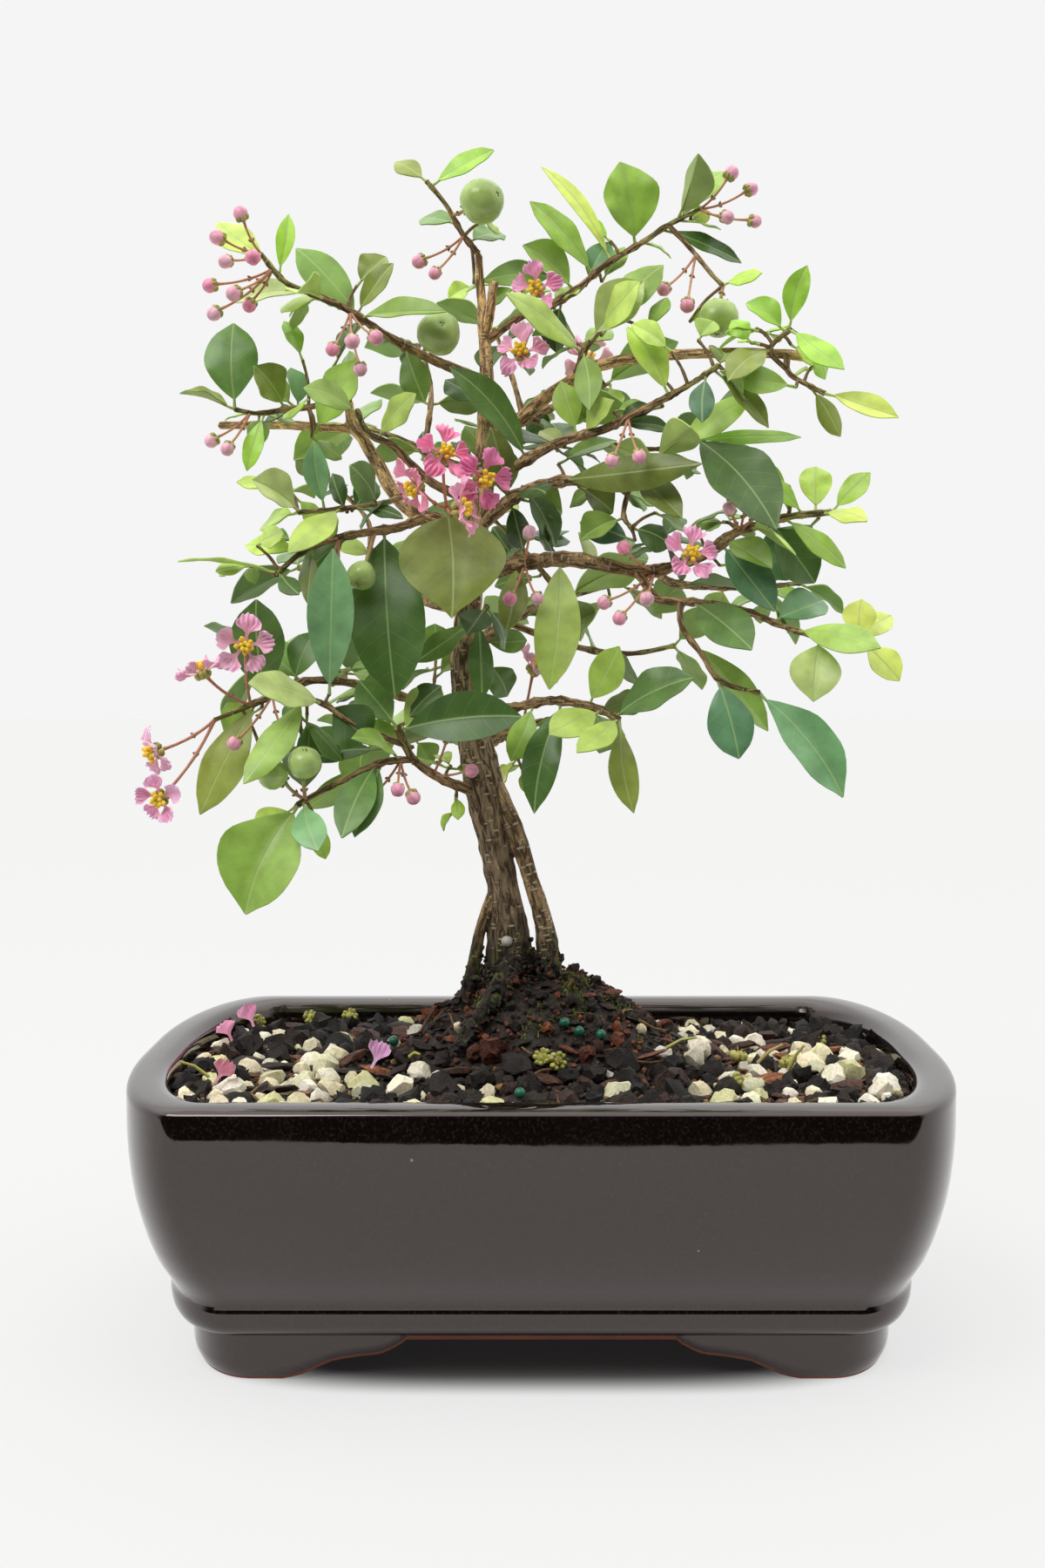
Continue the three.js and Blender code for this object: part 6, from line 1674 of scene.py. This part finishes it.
def make_spray(name, rng):
    heap = Heap()
    own = [leaf for leaf in leaves if leaf["spray"] == name]
    for index, route in enumerate(stems[name]):
        roots = [leaf["root"] for leaf in own]
        add_stem(heap, route, roots, carriers[name] if index == 0 else None, rng)
    for shoot in side_shoots:
        if shoot["spray"] == name:
            add_stem(heap, shoot["route"], [leaf["root"] for leaf in own], None, rng)
    for leaf in own:
        add_leaf(heap, leaf, rng)
    heap.piece(name + "_leaves", [BARK, LEAF, LIVING], "foliage", [name], 48)


fill_crown()
for order, spray_name in enumerate(SPRAYS):
    make_spray(spray_name, np.random.default_rng(40 + order))


# Blossoms, buds and fruits

PETAL_COUNT = 5
PETAL_ROWS = 12
PETAL_COLUMNS = 11
STAMEN_COUNT = 10
STYLE_COUNT = 3
GLAND_COUNT = 8
BLOOM_COLOURS = {
    "blooms_heart": ["#fb90b8", "#ff98b4", "#ffa8c4", "#e87eac"],
    "blooms_left": ["#ffbcd6", "#fcaecc"],
    "blooms_far_left": ["#ffc2de", "#ffb8da"],
}
PALE_BLOOMS = ["#ffb4d4", "#feaace", "#ffc0dc"]
CLOSE_BLOOMS = {"blooms_heart": 0.66}
BLOOM_SHRINK = 0.88
BLOOM_TILT = 0.42
GLAND_COLOUR = "#c9bf6a"
STALK_COLOUR = "#cf9478"
BUD_SHRINK = 0.8


def mixed(a, b, share):
    """A colour between two hex colours."""
    return np.array(linear(a)) * (1 - share) + np.array(linear(b)) * share


def add_petal(heap, place, facing, way, reach, colour, rng, paint=0):
    """One petal: a narrow claw that opens into a frilled, crinkled fan."""
    side = np.cross(facing, way)
    v = np.linspace(0, 1, PETAL_ROWS)[:, None]
    c = np.linspace(-1, 1, PETAL_COLUMNS)[None, :]
    fan = np.clip((v - 0.28) / 0.5, 0, 1)
    fan = fan * fan * (3 - 2 * fan)
    half = reach * (0.05 + 0.34 * fan)
    phase = rng.uniform(0, 6.28)
    frill = 0.035 * np.sin(9 * c * math.pi / 2 + phase) * fan
    frill = frill + 0.02 * rng.normal(size=(1, PETAL_COLUMNS)) * fan
    out = reach * (0.1 + 0.9 * v - 0.24 * fan * c**2 * v + frill * v)
    crinkle = 0.045 * np.sin(5 * c * math.pi + phase) + 0.035 * np.sin(11 * v + 4 * c + phase)
    rise = reach * (0.05 + rng.uniform(0.05, 0.4) * v**1.5 + 0.2 * fan * c**2 + 1.3 * crinkle * fan)
    curl = reach * rng.uniform(-0.35, 0.15) * v**3
    grid = (place + way * out[..., None] + side * (half * c)[..., None]
            + facing * (rise + curl)[..., None])
    shade = np.broadcast_to(v, (PETAL_ROWS, PETAL_COLUMNS)).reshape(-1)
    deep, light = np.array(linear(colour)) * 0.85, np.array(linear(colour)) * 1.1 + 0.02
    tint = deep + (light - deep) * shade[:, None] ** 0.8
    tint = np.clip(np.concatenate([tint, tint]), 0, 1)
    flow = np.stack(np.broadcast_arrays(c * 4.0, v * reach, half), axis=2).reshape(-1, 3)
    heap.add(sheet(grid, 0.22, facing), paint, np.concatenate([flow, flow]), tint)


def add_ball(heap, place, axis, radius, stretch, tint, paint, sides=7, steps=5):
    heap.add(turned(place, axis, ball_profile(radius, steps, stretch), sides), paint, None, tint)


def add_glands(heap, place, facing, reach, radius, rng):
    """The ring of oily glands on the calyx, two to most sepals."""
    spoke = spokes(facing)
    start = rng.uniform(0, 6.28)
    for k in range(GLAND_COUNT):
        arm = spoke(start + 2 * math.pi * (k + 0.25 * (k % 2)) / GLAND_COUNT)
        tint = mixed(GLAND_COLOUR, "#8e9a48", rng.uniform(0, 0.8))
        add_ball(heap, place + arm * reach, unit(facing + arm * 0.35), radius, 1.45, tint, 1)


def add_stalk(heap, start, end, facing, radius, colour):
    """A flower stalk: thin, bowed, with a joint and two tiny bracts below its middle."""
    length = size(end - start)
    bow = square_to(vec(0.2, -0.1, 1), unit(end - start)) * (0.06 * length)
    joint = 0.42
    shares = [0, 0.12, 0.26, joint - 0.03, joint, joint + 0.04, 0.6, 0.75, 0.88, 1]
    places = [start * (1 - s) + end * s - bow * 4 * s * (1 - s) for s in shares]
    radii = [radius * r for r in (1.25, 1.0, 0.95, 1.05, 1.5, 1.05, 0.9, 0.9, 1.0, 1.35)]
    skin, flow = tube(places, radii, 7)
    tint = np.array([mixed(STALK_COLOUR, colour, min(1, f[2] / length)) for f in flow])
    heap.add(skin, 1, flow, tint)
    for hand in (-1, 1):
        side = square_to(vec(hand, 0.4 * hand, 0.2), facing)
        add_ball(heap, places[4] + side * radius, unit(facing + side * 0.8), 0.34, 2.2,
                 mixed("#8c7a48", "#a0644c", 0.4), 1, 5, 4)


def add_bloom(heap, head, colour, rng):
    """An open blossom: petals, stalk, calyx with its glands, stamens and styles."""
    place, reach = head["place"], head["radius"] * BLOOM_SHRINK
    facing = unit(head["facing"] + BLOOM_TILT * rng.normal(size=3))
    spoke = spokes(facing)
    for k in range(PETAL_COUNT):
        way = spoke(2 * math.pi * k / PETAL_COUNT + rng.uniform(-0.08, 0.08))
        share = 1.06 if k == 0 else rng.uniform(0.93, 1.02)
        add_petal(heap, place, facing, way, reach * share, colour, rng)
    add_stalk(heap, head["start"], head["end"], facing, 0.42, "#c98a6e")
    add_ball(heap, place - facing * 0.5, facing, 1.2, 0.9, mixed("#a8be58", "#c8c860", 0.5), 1, 9, 6)
    add_glands(heap, place - facing * 0.5, facing, 1.5, 0.7, rng)
    for k in range(STAMEN_COUNT):
        turn = 2 * math.pi * (k + 0.3 * rng.uniform(-1, 1)) / STAMEN_COUNT
        lean = 0.4 + 0.45 * (k % 2) + 0.15 * rng.uniform(-1, 1)
        way = unit(facing + spoke(turn) * lean)
        tip = place + way * rng.uniform(2.0, 2.7)
        skin, flow = tube([place, (place + tip) / 2, tip], [0.16, 0.12, 0.1], 4)
        heap.add(skin, 1, flow, linear("#f0e6a4"))
        pollen = mixed("#ffe24a", "#ffce30", rng.uniform(0, 1))
        add_ball(heap, tip + way * 0.2, way, 0.62, 1.3, pollen, 2, 6, 5)
    for k in range(STYLE_COUNT):
        way = unit(facing + spoke(2 * math.pi * (k + 0.1) / STYLE_COUNT) * 0.22)
        skin, flow = tube([place, place + way * 2.9], [0.18, 0.14], 4)
        heap.add(skin, 1, flow, linear("#b8cc74"))


def add_bud(heap, head, rng):
    """A closed bud: five overlapping petals round a ball, on the gland cup of its calyx."""
    place, facing, radius = head["place"], head["facing"], head["radius"] * BUD_SHRINK
    start = rng.uniform(0, 6.28)

    def crease(turn, rise):
        return 1 - 0.1 * np.abs(np.cos(2.5 * (turn + start) + 0.35 * rise)) ** 6

    skin = turned(place, facing, ball_profile(radius, 10, 0.98), 20, crease)
    rises = (skin[0] - place) @ facing
    arms = skin[0] - place - rises[:, None] * facing
    reach = np.sqrt((arms**2).sum(axis=1)) / np.sqrt(np.maximum(radius**2 - rises**2, 0.05))
    # painted shade: the bud is darkened along the creases between its petals
    dark = np.clip((0.985 - reach) / 0.08, 0, 1)[:, None]
    pink = mixed("#ffc8d8", "#ff9cbc", rng.uniform(0.0, 1.0)) * 1.1
    cap = np.clip((rises / radius - 0.1) / 0.9, 0, 1)[:, None]
    tint = pink * (1 - 0.12 * cap) * (1 - 0.28 * dark)
    heap.add(skin, 0, None, np.column_stack([tint[:, :3], np.ones(len(tint))]))
    add_glands(heap, place - facing * radius * 0.66, facing, radius * 0.7, radius * 0.28, rng)
    cup = mixed("#9a9a50", GLAND_COLOUR, 0.4)
    add_ball(heap, place - facing * radius * 0.82, facing, radius * 0.52, 0.7, cup, 1, 8, 5)
    add_stalk(heap, head["start"], place - facing * radius * 0.95, facing, 0.34, "#d8a076")


def add_fruit(heap, head, rng):
    """An unripe cherry: three shallow lobes, a dimple at its tip and dry glands at its stalk."""
    place, facing, radius = head["place"], head["facing"], head["radius"]
    start = rng.uniform(0, 6.28)
    profile = [(-0.93, 0), (-0.9, 0.22), (-0.82, 0.5), (-0.62, 0.78), (-0.3, 0.95), (0.1, 1.0), (0.42, 0.92),
               (0.68, 0.74), (0.86, 0.5), (0.93, 0.28), (0.9, 0.1), (0.87, 0)]

    def lobes(turn, rise):
        return 1 + 0.045 * np.cos(3 * (turn + start)) - 0.02 * np.abs(np.cos(1.5 * (turn + start))) ** 8

    skin = turned(place, facing, [(a * radius, b * radius) for a, b in profile], 30, lobes)
    rises = ((skin[0] - place) @ facing / radius)[:, None]
    streak = np.array([noise.noise(Vector(p * 0.35)) for p in skin[0]])[:, None]
    tint = mixed("#a6c468", "#bcd282", 0.5) * (1 - 0.1 * rises) * (1 + 0.3 * streak)
    heap.add(skin, 0, None, np.column_stack([np.clip(tint[:, :3], 0, 1), np.ones(len(tint))]))
    spoke = spokes(facing)
    for k in range(6):
        arm = spoke(2 * math.pi * k / 6 + start)
        spot = place - facing * radius * 0.9 + arm * radius * 0.3
        gland = mixed("#9aa35a", "#7c6a3c", rng.uniform(0, 1))
        add_ball(heap, spot, unit(arm - facing * 0.2), 0.42, 1.7, gland, 1, 6, 5)
    for k in range(3):
        turn = 2 * math.pi * k / 3 + start
        arm = square_to(vec(math.cos(turn), 0.3, math.sin(turn)), facing)
        add_ball(heap, place + facing * radius * 0.88 + arm * 0.4, unit(facing + arm * 0.5), 0.2, 2.0,
                 linear("#6a5a34"), 1, 5, 4)
    add_stalk(heap, head["start"], place - facing * radius * 0.9, facing, 0.5, "#a4b060")


def make_cluster(name, rng):
    kind = CLUSTERS[name]["kind"]
    heap = Heap()
    # the CAD blooms stand clear of each other, the real ones crowd together
    close = CLOSE_BLOOMS.get(name, 1)
    centre = sum(head["place"] for head in heads[name]) / len(heads[name])
    for head in heads[name]:
        for key in ("place", "end"):
            head[key] = centre + (head[key] - centre) * close
    for index, head in enumerate(heads[name]):
        if kind == "bloom":
            colours = BLOOM_COLOURS.get(name, PALE_BLOOMS)
            add_bloom(heap, head, colours[index % len(colours)], rng)
        elif kind == "bud":
            add_bud(heap, head, rng)
        else:
            add_fruit(heap, head, rng)
    finishes = {"bloom": [PETAL, LIVING, POLLEN], "bud": [BUD, LIVING], "fruit": [FRUIT, LIVING]}[kind]
    slot = {"bloom": "petal", "bud": "bud", "fruit": "fruit_skin"}[kind]
    heap.piece(name + "_fine", finishes, slot, [name], 60)


for order, cluster_name in enumerate(CLUSTERS):
    make_cluster(cluster_name, np.random.default_rng(90 + order))


# What has fallen on the soil, by the pixel where each thing shows

PELLET_PLACES = [(452, 1197), (437, 1209), (665, 1186), (597, 1257), (648, 1176), (690, 1190)]
PETAL_PLACES = [
    (430, 1228, "#e6b6dc"), (290, 1180, "#e79ac0"), (265, 1197, "#d98aa8"), (252, 1246, "#d08a9c"),
]
CALYX_PLACES = [
    (285, 1165), (345, 1160), (402, 1170), (623, 1218), (640, 1222), (940, 1200), (848, 1216), (905, 1222),
    (850, 1245),
]
SPRIG_PLACES = [(870, 1222, 40), (905, 1230, 62), (470, 1215, -70), (240, 1238, 150), (765, 1205, 20)]
WHITE_PELLET = (582, 1084)
GRAIN_COVER = 3.2


def sight_line(px, py):
    """The direction in which the camera sees a pixel of the photograph."""
    across = (px - MIDDLE_PIXEL) / FOCAL_PIXELS
    up = (FRAME_PIXELS[1] / 2 - py) / FOCAL_PIXELS
    level, steep = math.cos(EYE_PITCH), math.sin(EYE_PITCH)
    return unit(vec(across, level + up * steep, up * level - steep))


def on_soil(px, py):
    """The place on grains or roots that the camera sees at a pixel, or the nearest one inwards."""
    eye = np.array(EYE)
    for nudge in range(0, 60, 2):
        way = sight_line(px + (nudge if px < MIDDLE_PIXEL else -nudge), py + nudge)
        reaches = []
        for name, cover in (("soil_bed", GRAIN_COVER), ("trunk_wood", 0)):
            start = Vector((eye - vec(0, 0, cover)) * MM)
            found, place, _, _ = bpy.data.objects[name].ray_cast(start, Vector(way))
            if found:
                reaches.append(size(np.array(place) / MM - eye))
        if reaches:
            return eye + way * min(reaches)
    raise ValueError(f"nothing under the pixel {px}, {py}")


def litter_twigs(heap, rng):
    """Dry twig scraps and root hairs lying over the grains."""
    for _ in range(46):
        x, y = rng.uniform(-84, 84), rng.uniform(-56, 56)
        if not inside_pot(x, y, 6):
            continue
        turn, length = rng.uniform(0, math.pi), rng.uniform(4, 13)
        way = vec(math.cos(turn), math.sin(turn), 0) * length / 2
        middle = vec(x, y, crumbly(x, y) + 2.0)
        start, end = middle - way, middle + way
        start[2] = crumbly(start[0], start[1]) + rng.uniform(1.2, 2.4)
        end[2] = crumbly(end[0], end[1]) + rng.uniform(1.2, 2.4)
        skin, flow = tube([start, middle + rng.normal(size=3) * 0.5, end], [0.42, 0.36, 0.25], 6)
        heap.add(skin, 0, flow, mixed("#6b4a34", "#a78a5c", rng.random()))


def litter_calyces(heap, rng):
    """Spent flowers: a dry green-yellow calyx with its curled stalk."""
    for px, py in CALYX_PLACES:
        place = on_soil(px, py) + vec(0, 0, 0.9)
        facing = unit(vec(rng.uniform(-0.7, 0.7), rng.uniform(-1, 0), rng.uniform(0.2, 1)))
        green = mixed("#a9b04e", "#8a7a34", rng.random())
        add_ball(heap, place, facing, 1.5, 0.8, green, 1, 9, 6)
        add_glands(heap, place, facing, 1.7, 0.75, rng)
        end = place - facing * 2 + vec(rng.uniform(-5, 5), rng.uniform(-3, 3), -1.2)
        skin, flow = tube([place, place - facing * 2 + vec(0, 0, 0.4), end], [0.45, 0.36, 0.3], 6)
        heap.add(skin, 1, flow, mixed("#b5ad58", "#9a7a40", rng.random()))
        for _ in range(6):
            way = unit(facing + 0.8 * rng.normal(size=3))
            skin, flow = tube([place, place + way * rng.uniform(1.6, 2.6)], [0.16, 0.12], 4)
            heap.add(skin, 1, flow, linear("#c9a94e"))
    for px, py, lean in SPRIG_PLACES:
        start = on_soil(px, py) + vec(0, 0, 0.4)
        turn = math.radians(lean)
        way = vec(math.cos(turn), rng.uniform(-0.3, 0.3), max(math.sin(turn), 0) * 0.8 + 0.1)
        skin, flow = tube([start, start + way * 4 + vec(0, 0, 0.8), start + way * 8], [0.5, 0.42, 0.3], 6)
        heap.add(skin, 1, flow, mixed("#b0b455", "#c8b070", rng.random()))


def litter():
    rng = np.random.default_rng(55)
    heap = Heap()
    litter_twigs(heap, rng)
    litter_calyces(heap, rng)
    for px, py, colour in PETAL_PLACES:
        place = on_soil(px, py) + vec(0, 0, 1.6)
        facing = unit(vec(rng.uniform(-0.3, 0.3), -0.8, 0.6))
        way = square_to(vec(rng.uniform(-0.6, 0.6), 0, 1), facing)
        add_petal(heap, place - way * 2.5, facing, way, 7.5, colour, rng, 2)
    for px, py in PELLET_PLACES:
        place = on_soil(px, py) + vec(0, 0, 0.5)
        add_ball(heap, place, unit(rng.normal(size=3)), 1.35, 0.96, linear("#1f6a52"), 3, 16, 10)
    place = on_soil(*WHITE_PELLET)
    add_ball(heap, place + vec(0, 0, 0.8), vec(0, 0, 1), 1.5, 0.95, linear("#cfcabd"), 3, 16, 10)
    heap.piece("fallen_litter", [BARK, LIVING, PETAL, PELLET], "substrate", [], 55)


# how far up the roots the crumbs reach, and the share of places there that carry one
ROOT_COVER_RISE = 11
ROOT_COVER_SHARE = 0.12
ROOT_COVER_COLOURS = "1c1512 2a1f18 161110 3a281d 7a4228 221a14 4a5226 33251c"
MOSS_COLOURS = "566028 6b7632 3d4722 828c42 2f3a22"
MOSS_TRIES = 5200


def moss():
    """Cushion moss on the mound and over the roots, thickest at the right."""
    rng = np.random.default_rng(77)
    heap = Heap()
    for _ in range(MOSS_TRIES):
        turn, reach = rng.uniform(0, 2 * math.pi), abs(rng.normal()) * 0.62
        x = MOUND_CENTRE[0] + MOUND_REACH[0] * reach * math.cos(turn)
        y = MOUND_CENTRE[1] + MOUND_REACH[1] * reach * math.sin(turn)
        patch = noise.noise(Vector((x / 7, y / 7, 4.4))) + 0.25 * (x - MOUND_CENTRE[0]) / MOUND_REACH[0]
        if patch < 0.05 or not inside_pot(x, y, 2):
            continue
        foot = vec(x, y, crumbly(x, y) + 0.2)
        way = unit(vec(rng.normal() * 0.5, rng.normal() * 0.5, 1))
        length = rng.uniform(0.9, 2.0)
        side = square_to(rng.normal(size=3), way)
        other = np.cross(way, side)
        wide = rng.uniform(0.22, 0.4)
        points = [foot + (side * math.cos(t) + other * math.sin(t)) * wide for t in (0, 2.09, 4.19)]
        points.append(foot + way * length + side * 0.3)
        colour = pick_colour(rng, MOSS_COLOURS)
        heap.add((points, [(0, 1, 3), (1, 2, 3), (2, 0, 3), (0, 2, 1)]), tint=(*colour, 1))
    heap.piece("cushion_moss", [MOSS], "substrate", [], 60)


def root_cover():
    """Dark crumbs and bark bits stuck to the roots where they come out of the mound."""
    rng = np.random.default_rng(91)
    crumbs = [broken_stone(rng, 1, 3, 0.5) for _ in range(5)]
    heap = Heap()
    wood = bpy.data.objects["trunk_wood"].data
    for vertex in rng.permutation(len(wood.vertices)):
        place = np.array(wood.vertices[vertex].co) / MM
        above = place[2] - soil_height(place[0], place[1])
        if not -1 < above < ROOT_COVER_RISE:
            continue
        if rng.random() > ROOT_COVER_SHARE * (1 - above / ROOT_COVER_RISE) ** 1.5:
            continue
        points, faces = crumbs[rng.integers(len(crumbs))]
        reach = rng.uniform(0.5, 1.7) * (1 - 0.4 * max(above, 0) / ROOT_COVER_RISE)
        stretch = vec(rng.uniform(0.9, 1.5), rng.uniform(0.5, 1.0), rng.uniform(0.3, 0.8))
        colour = pick_colour(rng, ROOT_COVER_COLOURS) * 0.8
        heap.add((points * stretch * reach @ turned_about(rng) + place, faces), tint=(*colour, 1))
    heap.piece("root_crumbs", [HUMUS], "substrate", [], 40)


litter()
moss()
root_cover()


# The drain screens keep their CAD shape, and get moulded plastic: dull and slightly waxy

SCREEN = tinted("moulded_mesh", 0.55, 1.2, 0.03, "#606060", 0.3)
for node in ("drain_screen_1", "drain_screen_2"):
    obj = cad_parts[node]
    if not obj.material_slots:
        obj.data.materials.append(None)
    for slot in obj.material_slots:
        slot.material = SCREEN


# Floor, light and camera

# the front edge of the paper from left to right, which the glaze mirrors: across, and along Y
PAPER_EDGE = [(-400, -330), (-135, -353), (-70, -336), (0, -320), (55, -318), (117, -329), (400, -320)]
PAPER_HALF_WIDTH = 3.0
PAPER_BACK = 5.0
PAPER_COLUMNS = 400
PAPER_GLOW = 0.702
# a painted shadow of the pot on the glow: half its width and depth in metres, and what is left of the glow in
# it
PAINTED_SHADOW_REACH = (0.085, 0.062)
PAINTED_SHADOW_GLOW = 0.012
BACKGROUND = "#f5f5f5"
TENT_LIGHT = (0.95, 0.95, 0.95, 1)
TOP_LIGHT = (1.75, 1.74, 1.72, 1)
ROOM_DARK = (0.002, 0.002, 0.002, 1)
KEY_PLACE = (-0.55, -0.75, 0.95)
KEY_AIM = (0, 0, 0.17)
KEY_SIZE = (0.7, 0.5)
KEY_POWER = 5.5


def seamless_paper():
    """Matt white paper that glows evenly, with a painted shadow under the pot where the glow drops away."""
    material, tree, shader = new_material("seamless_paper", Roughness=1.0, Specular_IOR_Level=0.0)
    place = add_node(tree, "TexCoord").outputs["Object"]
    fibre = add_node(tree, "TexNoise", {"Vector": place, "Scale": 1 / (1.5 * MM), "Detail": 2.0})
    colour = add_node(tree, "Mix", {
        "Factor": fibre, 6: linear("#6b6b6a"), 7: linear("#70706f"),
    }, data_type="RGBA")
    # painted shadow: the glow falls away in a rounded patch under the pot
    scale = (1 / PAINTED_SHADOW_REACH[0], 1 / PAINTED_SHADOW_REACH[1], 0)
    reach = add_node(tree, "Mapping", {"Vector": place, "Scale": scale})
    for _ in range(2):
        reach = add_node(tree, "VectorMath", {
            0: reach, 1: reach,
        }, operation="MULTIPLY")
    reach = add_node(tree, "VectorMath", {0: reach, 1: (1, 1, 0)}, operation="DOT_PRODUCT")
    glow_with_painted_shadow = add_node(tree, "MapRange", {
        "Value": reach.outputs["Value"], "From Min": 0.4, "From Max": 1.15,
        "To Min": PAINTED_SHADOW_GLOW, "To Max": PAPER_GLOW,
    }, interpolation_type="SMOOTHSTEP")
    shader.inputs["Emission Color"].default_value = (1, 1, 1, 1)
    wire(tree, shader, Emission_Strength=glow_with_painted_shadow, Base_Color=colour)
    return material


def make_floor():
    bpy.ops.object.select_all(action="DESELECT")
    bpy.ops.mesh.primitive_grid_add(x_subdivisions=PAPER_COLUMNS, y_subdivisions=1, size=1,
                                    location=(0, 0, 0))
    floor = bpy.context.object
    floor.name = "paper_floor"
    for vertex in floor.data.vertices:
        # the sheet's front edge isn't straight, and the glaze mirrors it
        across = vertex.co.x * (2 * PAPER_HALF_WIDTH) / MM
        edge = np.interp(across, *zip(*PAPER_EDGE)) + 3 * noise.noise(Vector((across / 14, 0, 0)))
        vertex.co.x *= 2 * PAPER_HALF_WIDTH
        vertex.co.y = PAPER_BACK if vertex.co.y > 0 else edge * MM
        vertex.co.z = 0.0
    floor.data.materials.append(seamless_paper())


def make_light():
    """A bright tent of light with a dark gap low behind the camera, which the glaze mirrors."""
    world = bpy.data.worlds.new("studio")
    bpy.context.scene.world = world
    world.use_nodes = True
    tree = world.node_tree
    tree.nodes.clear()
    way = add_node(tree, "TexCoord").outputs["Generated"]
    parts = add_node(tree, "SeparateXYZ", {0: way})
    high = add_node(tree, "MapRange", {
        "Value": parts.outputs["Z"], "From Min": 0.4, "From Max": 0.8, "To Min": 0.0, "To Max": 1.0,
    }, interpolation_type="SMOOTHSTEP")
    front = add_node(tree, "MapRange", {
        "Value": parts.outputs["Y"], "From Min": -0.55, "From Max": -0.1, "To Min": 1.0, "To Max": 0.0,
    }, interpolation_type="SMOOTHSTEP")
    low = add_node(tree, "Math", {0: 1.0, 1: high}, operation="SUBTRACT")
    gap = add_node(tree, "Math", {0: front, 1: low}, operation="MULTIPLY")
    soft = add_node(tree, "Mix", {"Factor": high, 6: TENT_LIGHT, 7: TOP_LIGHT}, data_type="RGBA")
    tent = add_node(tree, "Mix", {"Factor": gap, 6: soft, 7: ROOM_DARK}, data_type="RGBA")
    sight = add_node(tree, "LightPath")
    colour = add_node(tree, "Mix", {
        "Factor": sight.outputs["Is Camera Ray"], 6: tent, 7: linear(BACKGROUND),
    }, data_type="RGBA")
    background = add_node(tree, "Background", {"Color": colour, "Strength": 1.0})
    add_node(tree, "OutputWorld", {"Surface": background})

    key = bpy.data.lights.new("key_softbox", "AREA")
    key.shape = "RECTANGLE"
    key.size, key.size_y = KEY_SIZE
    key.energy = KEY_POWER
    lamp = linked("key_softbox", key)
    lamp.location = KEY_PLACE
    aim = Vector(KEY_AIM) - lamp.location
    lamp.rotation_euler = aim.to_track_quat("-Z", "Y").to_euler()


def make_camera():
    camera = bpy.data.cameras.new("view")
    camera.sensor_width = SENSOR
    camera.lens = SENSOR * FOCAL_PIXELS / FRAME_PIXELS[1]
    camera.shift_x = (FRAME_PIXELS[0] / 2 - MIDDLE_PIXEL) / FRAME_PIXELS[1]
    camera.clip_start = 0.01
    obj = linked("view", camera)
    obj.location = [v * MM for v in EYE]
    obj.rotation_euler = (math.pi / 2 - EYE_PITCH, 0, 0)
    bpy.context.scene.camera = obj


make_floor()
make_light()
make_camera()
bpy.context.scene.view_settings.view_transform = "Standard"
